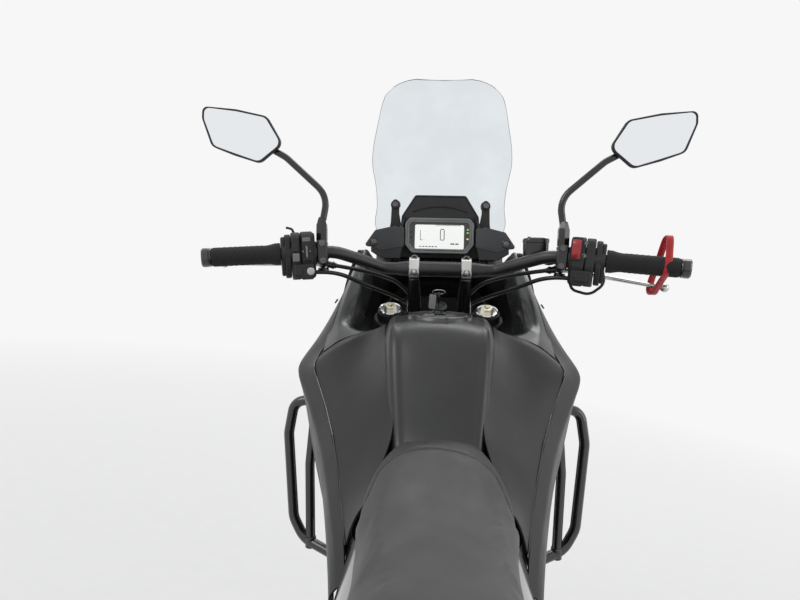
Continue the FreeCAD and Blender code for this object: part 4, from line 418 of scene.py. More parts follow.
class Form:
    """A mesh being made in the machine's frame, in millimetres, with one material slot per finish."""

    def __init__(self) -> None:
        """Starts an empty form."""
        self.bm = bmesh.new()
        self.crease = self.bm.edges.layers.float.new("crease_edge")

    def face(self, verts: Sequence[bmesh.types.BMVert], slot: int = 0) -> Optional[bmesh.types.BMFace]:
        """Adds one face, and skips one that is there already."""
        try:
            made = self.bm.faces.new(verts)
        except ValueError:
            return None
        made.material_index = slot
        made.smooth = True
        return made

    def skin(self, rings: Sequence[Sequence[Row]], slot: int = 0, closed: bool = True, caps: bool = True,
             looped: bool = False) -> list[list[bmesh.types.BMVert]]:
        """Joins rings of as many points into a surface.

        Args:
            rings: the rings' points.
            slot: the material slot.
            closed: whether each ring closes on itself.
            caps: whether the first and last rings are filled.
            looped: whether the last ring joins the first.

        Returns:
            The vertices, ring by ring.
        """
        made = [[self.bm.verts.new(p) for p in ring] for ring in rings]
        pairs = list(zip(made, made[1:])) + ([(made[-1], made[0])] if looped else [])
        for low, high in pairs:
            count = len(low)
            for i in range(count if closed else count - 1):
                j = (i + 1) % count
                self.face((low[i], low[j], high[j], high[i]), slot)
        if closed and caps and not looped:
            self.face(made[0][::-1], slot)
            self.face(made[-1], slot)
        return made

    def tube(self, points: Sequence[Row], radius: float | Sequence[float], bend: float = 30.0,
            sides: int = 20, flat: float = 1.0) -> None:
        """Sweeps a round section along a bent line.

        Args:
            points: the corners of the line.
            radius: the radius, or one at each end.
            bend: the arcs' radius.
            sides: the section's sides.
            flat: the section's height as a share of its width.
        """
        line = bent(points, bend)
        first, last = (radius, radius) if isinstance(radius, (int, float)) else (radius[0], radius[-1])
        lengths = [0.0]
        for a, b in zip(line, line[1:]):
            lengths.append(lengths[-1] + (b - a).length)
        heading = (line[1] - line[0]).normalized()
        u, v = across(heading)
        rings = []
        for i, p in enumerate(line):
            ahead = (line[min(i + 1, len(line) - 1)] - line[max(i - 1, 0)]).normalized()
            u = (u - ahead * u.dot(ahead)).normalized()
            v = ahead.cross(u)
            r = first + (last - first) * lengths[i] / max(lengths[-1], 1e-6)
            rings.append([p + u * (r * math.cos(a)) + v * (r * flat * math.sin(a))
                          for a in (2 * math.pi * k / sides for k in range(sides))])
        self.skin(rings)

    def lathe(self, centre: Row, axis: Row, profile: Outline, sides: int = 32, slot: int = 0,
            closed: bool = False) -> None:
        """Turns a profile of (along, radius) pairs about an axis.

        Args:
            centre: a point on the axis.
            axis: its direction.
            profile: the pairs.
            sides: the steps round.
            slot: the material slot.
            closed: whether the profile closes on itself, as a ring's does.
        """
        w = unit(axis)
        u, v = across(w)
        base = Vector(centre)
        around = [2 * math.pi * k / sides for k in range(sides)]

        def ring(along: float, r: float) -> list[Vector]:
            """One ring of the turned form."""
            return [base + w * along + u * (r * math.cos(a)) + v * (r * math.sin(a)) for a in around]

        self.skin([ring(along, max(r, 1e-4)) for along, r in profile], slot, caps=not closed, looped=closed)

    def slab(self, points: Sequence[Row], along: Row, slot: int = 0, edge: float = 0.0) -> None:
        """Pushes a flat outline along a vector, with its rims cut back by edge.

        Args:
            points: the outline.
            along: the push.
            slot: the material slot.
            edge: the width of the rims' chamfer.
        """
        base = [Vector(p) for p in points]
        push = Vector(along)
        if edge <= 0:
            self.skin([base, [p + push for p in base]], slot)
            return
        middle = sum(base, Vector()) / len(base)
        step = push.normalized() * edge
        drawn = []
        for i, p in enumerate(base):
            inward = ((base[i - 1] - p).normalized() + (base[(i + 1) % len(base)] - p).normalized())
            if inward.length < 1e-3:
                inward = middle - p
            if inward.dot(middle - p) < 0:
                inward = -inward
            drawn.append(p + inward.normalized() * edge)
        self.skin([drawn, [p + step for p in base], [p + push - step for p in base],
            [p + push for p in drawn]], slot)

    def bolt(self, centre: Row, axis: Row, radius: float = 4.5, height: float = 4.0, slot: int = 0) -> None:
        """A round head with a socket in it."""
        r, h = radius, height
        self.lathe(centre, axis, [(-0.5, r), (h * 0.8, r), (h, r * 0.86), (h, r * 0.52), (h * 0.35, r * 0.5),
            (h * 0.35, 0.01)], 14, slot)

    def hexagon(self, centre: Row, axis: Row, radius: float, height: float) -> None:
        """A hexagon nut or head on a washer."""
        self.lathe(centre, axis, [(-0.5, radius * 1.25), (1.2, radius * 1.25), (1.2, radius * 1.02)], 20)
        self.lathe(centre, axis, [(1.0, radius), (height * 0.85, radius), (height, radius * 0.86),
            (height, 0.01)], 6)


@dataclass
class Workshop:
    """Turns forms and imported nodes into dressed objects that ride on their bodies."""

    frame: dict
    stance: Stance
    count: int = 0
    slots: dict[str, str] = field(default_factory=dict)

    def __post_init__(self) -> None:
        """Reads each node's material slot from the record."""
        for part in self.frame["record"].get("subparts", []):
            self.slots[part["node"]] = part["material_slot"]

    def node_body(self, node: str) -> str:
        """The body that a node belongs to."""
        bodies = self.frame["record"]["behaviour"]["bodies"]
        return next(body for body, members in bodies.items() if node in members)

    def link(self, name: str, mesh: bpy.types.Mesh, finishes: Sequence[Finish]) -> bpy.types.Object:
        """Makes an object of a mesh and gives it its materials."""
        made = bpy.data.objects.new(name, mesh)
        bpy.context.scene.collection.objects.link(made)
        for finish in finishes:
            mesh.materials.append(finish.material())
        return made

    def bake(self, made: bpy.types.Object) -> None:
        """Applies the object's modifiers to its mesh."""
        graph = bpy.context.evaluated_depsgraph_get()
        done = bpy.data.meshes.new_from_object(made.evaluated_get(graph), depsgraph=graph)
        old = made.data
        made.modifiers.clear()
        made.data = done
        bpy.data.meshes.remove(old)

    @staticmethod
    def shade(made: bpy.types.Object, sharp: float) -> None:
        """Shades an object smooth, but for the edges that turn more than sharp degrees."""
        made.data.shade_smooth()
        made.data.set_sharp_from_angle(angle=math.radians(sharp))

    def add(self, name: str, form: Form, body: Body, finishes: Sequence[Finish] | Finish,
            replaces: Sequence[str] = (), like: str = "", sharp: float = 38.0) -> bpy.types.Object:
        """Finishes a form as a piece of the model.

        Args:
            name: the piece's plain name.
            form: its mesh.
            body: what it rides on.
            finishes: one finish for each material slot.
            replaces: the nodes that it stands for.
            like: not used; it is passed to settle, which ignores it.
            sharp: the angle of a sharp edge in degrees.

        Returns:
            The new object.
        """
        made = self.raw(name, form, finishes if isinstance(finishes, (list, tuple)) else [finishes])
        self.shade(made, sharp)
        return self.settle(made, body, replaces, like)

    def raw(self, name: str, form: Form, finishes: Sequence[Finish],
            outward: bool = True) -> bpy.types.Object:
        """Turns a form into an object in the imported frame.

        Args:
            name: the object's name.
            form: its mesh, which is used up.
            finishes: one finish for each material slot.
            outward: whether its faces are turned outward first.

        Returns:
            The object.
        """
        if outward:
            bmesh.ops.recalc_face_normals(form.bm, faces=form.bm.faces)
        form.bm.transform(self.stance.matrix)
        return self.link(name, self.mesh_of(name, form.bm), finishes)

    @staticmethod
    def mesh_of(name: str, bm: bmesh.types.BMesh) -> bpy.types.Mesh:
        """Writes a bmesh into a new mesh and frees it."""
        mesh = bpy.data.meshes.new(name)
        bm.to_mesh(mesh)
        bm.free()
        return mesh

    def settle(self, made: bpy.types.Object, body: Body, replaces: Sequence[str],
            like: str = "") -> bpy.types.Object:
        """Lets the piece ride on its body and stand for its nodes."""
        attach(made, body.value)
        if replaces:
            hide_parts(*replaces)
        self.count += 1
        LOG.info("piece %d: %s, %d faces", self.count, made.name,
            len(made.data.polygons) if made.type == "MESH" else 0)
        return made

    def smoothed(self, node: str, finish: Finish, crease: float, hold: float) -> bpy.types.Object:
        """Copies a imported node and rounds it: its flats become curves and its corners get a small radius.

        Args:
            node: the node.
            finish: the finish.
            crease: edges that turn more than this many degrees stay as edges.
            hold: how sharp those edges stay, from 0 to 1.

        Returns:
            The new object, which stands for the node.
        """
        bm = bmesh.new()
        bm.from_mesh(self.frame["nodes"][node].data)
        bmesh.ops.remove_doubles(bm, verts=bm.verts, dist=2e-6)
        bmesh.ops.dissolve_limit(bm, angle_limit=math.radians(0.6), verts=bm.verts, edges=bm.edges)
        bmesh.ops.join_triangles(bm, faces=bm.faces, angle_face_threshold=math.radians(24),
                                 angle_shape_threshold=math.radians(70))
        hollow = [part for part in bm.faces if len(part.verts) > 4
            and not all(loop.is_convex for loop in part.loops)]
        bmesh.ops.triangulate(bm, faces=hollow, quad_method="BEAUTY", ngon_method="BEAUTY")
        layer = bm.edges.layers.float.new("crease_edge")
        limit = math.radians(crease)
        for edge in bm.edges:
            if len(edge.link_faces) != 2 or edge.calc_face_angle(0.0) > limit:
                edge[layer] = hold
        for part in bm.faces:
            part.smooth = True
        name = node + "_skin"
        made = self.link(name, self.mesh_of(name, bm), [finish])
        mod = made.modifiers.new("smooth", "SUBSURF")
        mod.levels = mod.render_levels = 2
        mod.use_limit_surface = False
        self.bake(made)
        self.shade(made, 40)
        return self.settle(made, Body(self.node_body(node)), [node])

    def repaint(self, node: str, finish: Finish) -> None:
        """Gives a node that stays as it is its material."""
        mesh = self.frame["nodes"][node].data
        mesh.materials.clear()
        mesh.materials.append(finish.material())


def curve_at(table: Sequence[tuple[float, float]], at: float) -> float:
    """Reads a smooth curve through a short table.

    Args:
        table: (position, value) pairs in rising order.
        at: the position.

    Returns:
        The value there, by cubic interpolation.
    """
    if at <= table[0][0]:
        return table[0][1]
    if at >= table[-1][0]:
        return table[-1][1]
    i = next(k for k in range(len(table) - 1) if table[k][0] <= at <= table[k + 1][0])
    (x0, y0), (x1, y1) = table[i], table[i + 1]
    before, after = table[max(i - 1, 0)], table[min(i + 2, len(table) - 1)]
    m0 = (y1 - before[1]) / max(x1 - before[0], 1e-6)
    m1 = (after[1] - y0) / max(after[0] - x0, 1e-6)
    t, h = (at - x0) / (x1 - x0), x1 - x0
    return ((2 * t ** 3 - 3 * t ** 2 + 1) * y0 + (t ** 3 - 2 * t ** 2 + t) * h * m0
            + (3 * t ** 2 - 2 * t ** 3) * y1 + (t ** 3 - t ** 2) * h * m1)


def soft_step(low: float, high: float, at: float) -> float:
    """Rises smoothly from 0 at low to 1 at high."""
    t = min(1.0, max(0.0, (at - low) / (high - low)))
    return t * t * (3 - 2 * t)


def rounded_outline(points: Outline, radius: float, step: float = 15.0) -> list[tuple[float, float]]:
    """An outline's corners turned into arcs.

    Args:
        points: the corners as pairs.
        radius: the arcs' radius.
        step: the degrees of one chord.

    Returns:
        The rounded outline.
    """
    done: list[tuple[float, float]] = []
    count = len(points)
    for i, corner in enumerate(points):
        c = Vector((corner[0], corner[1], 0))
        u = Vector((*points[i - 1], 0)) - c
        w = Vector((*points[(i + 1) % count], 0)) - c
        turn = math.pi - u.angle(w)
        if turn < 0.02:
            done.append((c.x, c.y))
            continue
        r = min(radius, 0.45 * min(u.length, w.length) / math.tan(turn / 2))
        u.normalize()
        w.normalize()
        inward = (u + w).normalized()
        centre = c + inward * (r / math.cos(turn / 2))
        side = (w - u).normalized()
        chords = max(2, math.ceil(math.degrees(turn) / step))
        for k in range(chords + 1):
            a = turn * (k / chords - 0.5)
            p = centre - inward * (r * math.cos(a)) + side * (r * math.sin(a))
            done.append((p.x, p.y))
    return done


@dataclass
class Net:
    """A panel drawn by a net of control points, subdivided to a smooth sheet and thickened.

    rows hold the points from one edge to the other.
    hard_rows and hard_columns are lines that stay as creases.
    """

    name: str
    rows: Sequence[Sequence[Row]]
    outward: Row
    thick: float = 2.6
    levels: int = 3
    hard_rows: dict[int, float] = field(default_factory=dict)
    hard_columns: dict[int, float] = field(default_factory=dict)

    def build(self, shop: Workshop, body: Body, finish: Finish, replaces: Sequence[str],
            both: bool = True) -> None:
        """Makes the panel, and its mirror image when both is set.

        Args:
            shop: the workshop.
            body: what it rides on.
            finish: its finish.
            replaces: the nodes that it stands for.
            both: whether the other side is made too.
        """
        for side in (1, -1)[:1 + both]:
            self._side(shop, body, finish, replaces, side)

    def _side(self, shop: Workshop, body: Body, finish: Finish, replaces: Sequence[str],
            side: int) -> None:
        """Makes one side's panel."""
        form = Form()
        rows = [[(side * p[0], p[1], p[2]) for p in row] for row in self.rows]
        grid = form.skin(rows, closed=False)
        wide = len(rows[0])
        for r, row in enumerate(grid):
            for c, vert in enumerate(row):
                if c + 1 < wide:
                    hold = 1.0 if r in (0, len(grid) - 1) else self.hard_rows.get(r, 0.0)
                    self._hold(form, vert, row[c + 1], hold)
                if r + 1 < len(grid):
                    hold = 1.0 if c in (0, wide - 1) else self.hard_columns.get(c, 0.0)
                    self._hold(form, vert, grid[r + 1][c], hold)
        form.bm.normal_update()
        facing = sum((f.normal * f.calc_area() for f in form.bm.faces), Vector())
        out = Vector((side * self.outward[0], self.outward[1], self.outward[2]))
        if facing.dot(out) < 0:
            bmesh.ops.reverse_faces(form.bm, faces=form.bm.faces)
        made = shop.raw(self.name + ("" if side > 0 else "_left"), form, [finish], outward=False)
        sub = made.modifiers.new("smooth", "SUBSURF")
        sub.levels = sub.render_levels = self.levels
        sheet = made.modifiers.new("sheet", "SOLIDIFY")
        sheet.thickness = self.thick / 1000.0
        sheet.offset = -1.0
        shop.bake(made)
        shop.shade(made, 48)
        shop.settle(made, body, replaces)

    @staticmethod
    def _hold(form: Form, a: bmesh.types.BMVert, b: bmesh.types.BMVert, hold: float) -> None:
        """Creases the edge between two points."""
        edge = form.bm.edges.get((a, b))
        if edge and hold:
            edge[form.crease] = hold


@dataclass
class Bodywork:
    """The tank, the panels beside it, the steering well's walls and the lower side panels."""

    shop: Workshop
    tank_top: tuple[tuple[float, float], ...] = (  # place along the machine, height
        (-20, 886), (4, 905), (16, 924), (38, 968), (60, 1012), (80, 1047), (100, 1069), (120, 1078),
        (172, 1082), (215, 1083), (262, 1076))
    tank_edge: tuple[tuple[float, float], ...] = ((-20, 70), (16, 74), (60, 84), (130, 95), (215, 99),
        (262, 96))
    tank_across: tuple[tuple[float, float], ...] = (  # share of the edge, drop below the middle
        (0, 0), (0.34, 1.5), (0.6, 5), (0.71, 8.2), (0.78, 6.2), (0.86, 9), (0.92, 19), (0.955, 34),
        (0.97, 62))
    seam: tuple[Row, ...] = ((220, 222, 994), (224, 200, 983), (188, 130, 926), (167, 80, 891),
        (146, 20, 838), (125, -60, 780))

    def build(self) -> None:
        """Makes every panel of the bodywork."""
        self.tank()
        self.cap()
        self.covers()
        self.shrouds()
        self.wells()
        self.lower_panels()

    def tank(self) -> None:
        """The tank's top: a crowned plateau inside a low rolled border, open towards the seat."""
        rows = []
        for y in (274, 268, 262, 255, 248, 240, 232, 215, 195, 172, 150, 130, 112, 95, 77, 60, 45, 30, 16, 4,
                -14, -30):
            top = curve_at(self.tank_top, y)
            front = 0.0
            if y > 262:
                front = -11 if y < 270 else -34
            elif y > 236:
                front = 3.4 * (1 - abs(y - 251) / 14)
            edge = curve_at(self.tank_edge, y) * (1 - 0.1 * soft_step(240, 274, y))
            half = [(share * edge, top - drop + front * (1 if share < 0.9 else 0.4))
                for share, drop in self.tank_across]
            rows.append([(-x, y, z) for x, z in half[:0:-1]] + [(x, y, z) for x, z in half])
        Net("fuel_tank_top", rows, (0, -0.3, 1), thick=2.0, levels=2).build(
            self.shop, Body.CHASSIS, TANK_BLACK, ["fuel_tank"], both=False)
        form = Form()
        for side in (-1, 1):
            form.slab([(side * x, y, z) for x, y, z in [(88, 268, 1030), (60, 272, 960), (84, 120, 890),
                (76, -40, 838), (76, -40, 850), (80, 16, 890), (90, 60, 950), (96, 130, 1010),
                (98, 215, 1035)]], (side * -3, 0, 0), edge=0.6)
        form.slab([(-86, 272, 1056), (86, 272, 1056), (62, 274, 962), (-62, 274, 962)], (0, -3, 0), edge=0.8)
        form.slab([(-60, 262, 958), (60, 262, 958), (84, -44, 842), (-84, -44, 842)], (0, 0, 3), edge=0.8)
        self.shop.add("fuel_tank_sides", form, Body.CHASSIS, TANK_BLACK, like="fuel_tank")

    def cap(self) -> None:
        """The flush filler cap: its ring, the lid, the lock flap and small bolts."""
        centre, up = Vector((0, 172, 1071.5)), unit((0, -0.03, 1.0))
        form = Form()
        form.lathe(centre, up, [(4, 57), (10, 55.5), (12.4, 53.6), (12.4, 51.5), (10.2, 50.5), (6, 50.2)], 72)
        form.lathe(centre, up, [(5, 50), (10.2, 49.6), (12.6, 47.5), (13.2, 43), (12.4, 40.5), (12.6, 38),
            (14.6, 30), (15.2, 14), (15.3, 0.01)], 72)
        side, along = across(up)
        lid = Form()
        for k in range(6):
            a = math.radians(60 * k + 12)
            lid.bolt(centre + up * 11 + (side * math.cos(a) + along * math.sin(a)) * 54.5, up, 2.6, 2.2)
        back = unit((0, -1.0, -0.03))
        flap = [centre + up * 15.1 + Vector((x, 0, 0)) + back * y for x, y in
                rounded_outline([(-12, -6), (12, -6), (9, 26), (-9, 26)], 6)]
        lid.slab(flap, up * 3.0, edge=0.9)
        # the lid takes the lightened grey gloss, partly painted reflection
        self.shop.add("filler_cap_lid", form, Body.CHASSIS, WELL_GREY_PAINTED_SHEEN, ["filler_cap"], sharp=50)
        self.shop.add("filler_cap_fittings", lid, Body.CHASSIS, RISER_BLACK, like="filler_cap", sharp=40)

    def covers(self) -> None:
        """The panels beside the plateau, with a faceted shoulder near their front corners."""
        s = self.seam
        rows = [
            [(95, 236, 1052), (112, 236, 1049), (150, 234, 1040), (190, 230, 1020), s[0]],
            [(96, 226, 1060), (114, 224, 1050), (150, 218, 1036), (190, 212, 1012), (221, 214, 990)],
            [(97, 200, 1057), (113, 196, 1038), (146, 186, 1010), (186, 180, 986), s[1]],
            [(91, 130, 1040), (108, 130, 1006), (140, 130, 970), (170, 130, 948), s[2]],
            [(79, 80, 1016), (97, 80, 974), (122, 80, 940), (150, 80, 908), s[3]],
            [(71, 50, 974), (92, 50, 936), (116, 50, 904), (142, 50, 878), (156.5, 50, 864.5)],
            [(64, 20, 918), (87, 20, 898), (110, 20, 872), (132, 20, 850), s[4]],
            [(88, -20, 864), (98, -20, 856), (111, -20, 844), (124, -20, 828), (136.5, -20, 810)],
            [(103, -62, 836), (109, -62, 828), (115, -62, 816), (120.5, -62, 800), s[5]],
        ]
        Net("tank_cover", rows, (0.6, -0.5, 0.8), thick=2.6, hard_columns={3: 0.25},
            hard_rows={1: 0.45}).build(self.shop, Body.CHASSIS, SATIN_BLACK, ["tank_covers"])

    def shrouds(self) -> None:
        """The outer panels: they meet the covers at the seam and run down past the radiator."""
        s = [(x + 1.6, y - 1.0, z - 1.4) for x, y, z in self.seam]
        rows = [
            [(178, 430, 1150), (205, 430, 1080), (216, 430, 1010), (214, 430, 960), (208, 430, 930)],
            [(187, 380, 1136), (220, 380, 1060), (237, 380, 985), (234, 380, 940), (226, 380, 905)],
            [(204, 320, 1072), (240, 320, 1016), (252, 320, 958), (240, 320, 870), (220, 320, 800)],
            [(208, 270, 1022), (258, 268, 988), (254, 268, 934), (238, 268, 835), (212, 268, 726)],
            [(219, 240, 1002), (264, 246, 972), (250, 246, 926), (234, 246, 820), (207, 246, 699)],
            [s[0], (258, 224, 960), (243, 222, 916), (228, 222, 815), (201, 222, 694)],
            [s[1], (243, 196, 944), (230, 196, 895), (216, 200, 810), (193, 200, 690)],
            [s[2], (205, 128, 892), (204, 128, 848), (196, 130, 790), (177, 130, 710)],
            [s[3], (184, 78, 858), (186, 78, 814), (180, 80, 772), (165, 80, 719)],
            [s[4], (163, 18, 812), (169, 18, 780), (166, 20, 748), (156, 20, 716)],
            [s[5], (139, -62, 764), (148, -62, 748), (150, -60, 728), (143, -60, 704)],
            [(121, -100, 748), (132, -100, 740), (141, -100, 730), (142, -100, 718), (136, -100, 700)],
        ]
        Net("side_shroud", rows, (1, 0, 0.1), thick=2.8, hard_columns={1: 0.55, 3: 0.2}).build(
            self.shop, Body.CHASSIS, SATIN_BLACK, ["side_shrouds"])
        lines = Form()
        for side in (-1, 1):
            edge = [(side * (x + 0.8), y - 0.5, z - 0.2) for x, y, z in self.seam]
            lines.tube(edge, 1.1, bend=60, sides=8)
            for y, z, x in ((300, 1012, 236), (392, 1086, 214)):
                lines.bolt((side * x, y, z), (side * 0.8, -0.1, 0.55), 5.5, 3)
        self.shop.add("panel_seam_beads", lines, Body.CHASSIS, GLOSS_BLACK, like="side_shrouds")

    def wells(self) -> None:
        """The curved walls of the steering well, which sweep from the cockpit down to the covers."""
        rows = [
            [(172, 452, 1188), (163, 452, 1199), (148, 452, 1194), (143, 452, 1120)],
            [(176, 420, 1172), (167, 420, 1182), (150, 420, 1177), (145, 420, 1100)],
            [(186, 380, 1137), (174, 380, 1154), (155, 380, 1152), (150, 380, 1072)],
            [(200, 330, 1082), (186, 330, 1100), (163, 330, 1094), (158, 330, 1010)],
            [(212, 296, 1040), (194, 296, 1056), (166, 296, 1050), (160, 296, 975)],
            [(214, 262, 1016), (190, 262, 1038), (150, 262, 1050), (120, 268, 1030)],
            [(214, 240, 1003), (186, 240, 1024), (148, 240, 1041), (98, 244, 1046)],
        ]
        # the walls take the lightened grey gloss, partly painted reflection
        Net("steering_well_wall", rows, (0.1, -0.6, 0.7), thick=2.6, hard_columns={1: 0.5}).build(
            self.shop, Body.CHASSIS, WELL_GREY_PAINTED_SHEEN, ["inner_panels"])

    def lower_panels(self) -> None:
        """The glossy panels below the seat and the tail's sides."""
        rows = [
            [(117, -60, 795), (130, -60, 745), (138, -60, 700), (138, -60, 640), (130, -60, 590)],
            [(105, -104, 806), (131, -100, 742), (141, -98, 690), (140, -96, 634), (134, -96, 582)],
            [(95, -170, 803), (130, -168, 742), (139, -168, 692), (137, -168, 638), (130, -168, 586)],
            [(88, -250, 800), (129, -248, 742), (137, -248, 694), (134, -248, 642), (127, -248, 592)],
            [(93, -330, 801), (130, -330, 748), (135, -330, 704), (131, -330, 664), (124, -330, 622)],
            [(108, -400, 803), (132, -400, 760), (133, -400, 724), (127, -400, 694), (120, -400, 662)],
        ]
        Net("lower_side_panel", rows, (1, 0, 0), thick=2.6, hard_columns={2: 0.6}).build(
            self.shop, Body.CHASSIS, GLOSS_BLACK, ["rear_panels"])
        tail = [
            [(126, -404, 722), (140, -404, 745), (148, -404, 778), (149, -404, 796)],
            [(124, -520, 742), (139, -520, 766), (146, -520, 796), (144, -520, 822)],
            [(120, -640, 762), (133, -640, 782), (138, -640, 808), (131, -640, 838)],
            [(112, -760, 784), (126, -760, 802), (130, -760, 828), (122, -760, 858)],
            [(102, -860, 802), (118, -860, 820), (122, -860, 846), (112, -860, 874)],
            [(72, -1000, 826), (91, -1000, 842), (93, -1000, 866), (80, -1000, 884)],
        ]
        Net("tail_side_panel", tail, (1, 0, 0), thick=2.6, hard_columns={2: 0.6}).build(
            self.shop, Body.CHASSIS, SATIN_BLACK, ["rear_panels"])


@dataclass
class Seats:
    """The rider's and the passenger's cushions: padded forms with seams."""

    shop: Workshop
    rider: tuple[tuple[float, ...], ...] = (  # y, flat half, widest half, top, rim height, underside
        (13, 34, 58, 924, 908, 898), (0, 50, 76, 920, 895, 877), (-22, 62, 93, 908, 877, 852),
        (-48, 72, 104, 894, 858, 829), (-80, 77, 109, 877, 843, 811), (-118, 78, 109, 862, 832, 803),
        (-160, 74, 103, 851, 826, 798), (-230, 70, 97, 845, 820, 796), (-300, 73, 100, 843, 818, 796),
        (-370, 82, 112, 845, 820, 797), (-430, 92, 127, 851, 824, 800), (-476, 96, 135, 864, 830, 803),
        (-504, 98, 138, 880, 836, 806))
    passenger: tuple[tuple[float, ...], ...] = (
        (-510, 88, 126, 922, 872, 812), (-528, 92, 130, 938, 884, 815), (-560, 94, 131, 946, 892, 820),
        (-620, 92, 128, 944, 893, 826), (-680, 89, 123, 940, 893, 832), (-735, 82, 113, 936, 894, 839),
        (-768, 70, 98, 927, 893, 845))

    def build(self) -> None:
        """Makes both cushions, their seams and their threads."""
        front = self.cushion("rider_seat_cushion", self.rider, "rider_seat", 6.0)
        self.seams(front, self.rider_seam, 2.4, 2.8, 3.4)
        self.arch(front)
        back = self.cushion("passenger_seat_cushion", self.passenger, "pillion_seat", 6.0)
        self.seams(back, self.passenger_seam, 2.0, 3.0, 1.3)
        self.threads(front, back)

    def cushion(self, name: str, table: Sequence[Sequence[float]], node: str,
            swell: float) -> bpy.types.Object:
        """One cushion, swelled by air pressure like foam under its cover.

        Args:
            name: the piece's name.
            table: its sections.
            node: the node it stands for.
            swell: how far a point may move, in millimetres.

        Returns:
            The cushion.
        """
        inset = 3.0
        form = Form()
        rings = []
        for y, flat, wide, top, rim, low in table:
            w, t = wide - inset, top - inset
            half = [(0, t), (flat * 0.5, t - 0.6), (flat * 0.86, t - 2.6),
                (flat + (w - flat) * 0.45, t - (t - rim) * 0.28), (w - 4, rim + (t - rim) * 0.34),
                (w, rim - 4), (w - 3, (rim + low) / 2 - 3), (w - 9, low), (0, low)]
            rings.append([(x, y, z) for x, z in half] + [(-x, y, z) for x, z in half[-2:0:-1]])
        form.skin(rings)
        # the second slot, the darker vinyl copy, is painted shade; seams() gives it to the sides
        made = self.shop.raw(name, form, [SEAT_TOP, SEAT_SIDE_PAINTED_SHADE])
        sub = made.modifiers.new("smooth", "SUBSURF")
        sub.levels = 3
        self.shop.bake(made)
        self.inflate(made, swell / 1000.0)
        made.data.shade_smooth()
        return self.shop.settle(made, Body.CHASSIS, [node])

    def inflate(self, made: bpy.types.Object, most: float) -> None:
        """Swells a cushion with the cloth simulation and keeps every point within a cap.

        Args:
            made: the cushion.
            most: how far a point may move, in metres.
        """
        mod = made.modifiers.new("even", "REMESH")
        mod.mode = "VOXEL"
        mod.voxel_size = 0.005
        self.shop.bake(made)
        before = [v.co.copy() for v in made.data.vertices]
        lowest = min(v.co.z for v in made.data.vertices)
        group = made.vertex_groups.new(name="pinned")
        group.add([v.index for v in made.data.vertices if v.co.z < lowest + 0.012], 1.0, "REPLACE")
        mod = made.modifiers.new("air", "CLOTH")
        cloth = mod.settings
        cloth.quality = 4
        cloth.use_pressure = True
        cloth.uniform_pressure_force = 4.0
        cloth.vertex_group_mass = "pinned"
        cloth.effector_weights.gravity = 0.0
        scene = bpy.context.scene
        for step in range(1, 15):
            scene.frame_set(step)
        graph = bpy.context.evaluated_depsgraph_get()
        shaped = made.evaluated_get(graph).to_mesh()
        moved = [v.co.copy() for v in shaped.vertices]
        made.evaluated_get(graph).to_mesh_clear()
        made.modifiers.clear()
        made.vertex_groups.clear()
        scene.frame_set(1)
        for vert, old, new in zip(made.data.vertices, before, moved):
            step_by = new - old
            if step_by.length > most:
                step_by = step_by.normalized() * most
            vert.co = old + step_by
        mod = made.modifiers.new("finer", "SUBSURF")
        mod.levels = 1
        self.shop.bake(made)

    @staticmethod
    def rider_seam(x: float) -> float:
        """Where the top panel's edge runs on the rider's cushion, at a distance from the middle."""
        return curve_at(((0, -22), (30, -24.5), (55, -29), (70, -37), (83, -50), (94, -80), (102, -108),
            (108, -140), (112, -600)), abs(x))

    @staticmethod
    def passenger_seam(x: float) -> float:
        """Where the top panel's edge runs on the passenger's cushion."""
        return curve_at(((0, -530), (50, -531), (84, -538), (100, -556), (106, -600), (108, -760)), abs(x))

    def seams(self, made: bpy.types.Object, line: Callable[[float], float], depth: float, width: float,
            lift: float) -> None:
        """Presses a sewn channel into the cushion, raises the panel inside it, and gives the faces outside it
        or turned away from above the darker vinyl copy, which is painted shade.

        Args:
            made: the cushion.
            line: the seam's place along the machine for a distance from the middle.
            depth: the channel's depth in millimetres.
            width: its half width in millimetres.
            lift: how far the panel inside stands proud.
        """
        back = self.shop.stance.matrix.inverted()
        up = self.shop.stance.turn((0, 0, 1))
        route = [Vector((i * 1.5, line(i * 1.5), 0)) for i in range(92)]
        normals = [v.normal.copy() for v in made.data.vertices]
        for vert, normal in zip(made.data.vertices, normals):
            p = back @ vert.co
            if normal.dot(up) < 0.05:
                continue
            flat, at = Vector((abs(p.x), p.y, 0)), line(p.x)
            away = min((flat - q).length for q in route) if abs(p.y - at) < 90 else 90.0
            inside = 1.0 if p.y < at and abs(p.x) < 112 else 0.0
            raise_by = lift * inside * soft_step(0.0, 7.0, away)
            vert.co += normal * (0.001 * (raise_by - depth * math.exp(-(away / width) ** 2)))
        # painted shade: upward faces inside the seam take the top vinyl, all others the darker copy
        for part in made.data.polygons:
            middle = back @ part.center
            part.material_index = 0 if middle.y < line(middle.x) and part.normal.dot(up) > 0.25 else 1

    def arch(self, made: bpy.types.Object) -> None:
        """A soft dished arch where the rider sits, behind the nose."""
        back = self.shop.stance.matrix.inverted()
        normals = [v.normal.copy() for v in made.data.vertices]
        for vert, normal in zip(made.data.vertices, normals):
            p = back @ vert.co
            if p.z < 815:
                continue
            edge = -152 - 0.011 * p.x * p.x
            dish = soft_step(0, -26, p.y - edge) * (1 - soft_step(74, 102, abs(p.x)))
            vert.co -= normal * (0.001 * 3.2 * dish * (1 - soft_step(-330, -470, p.y)))

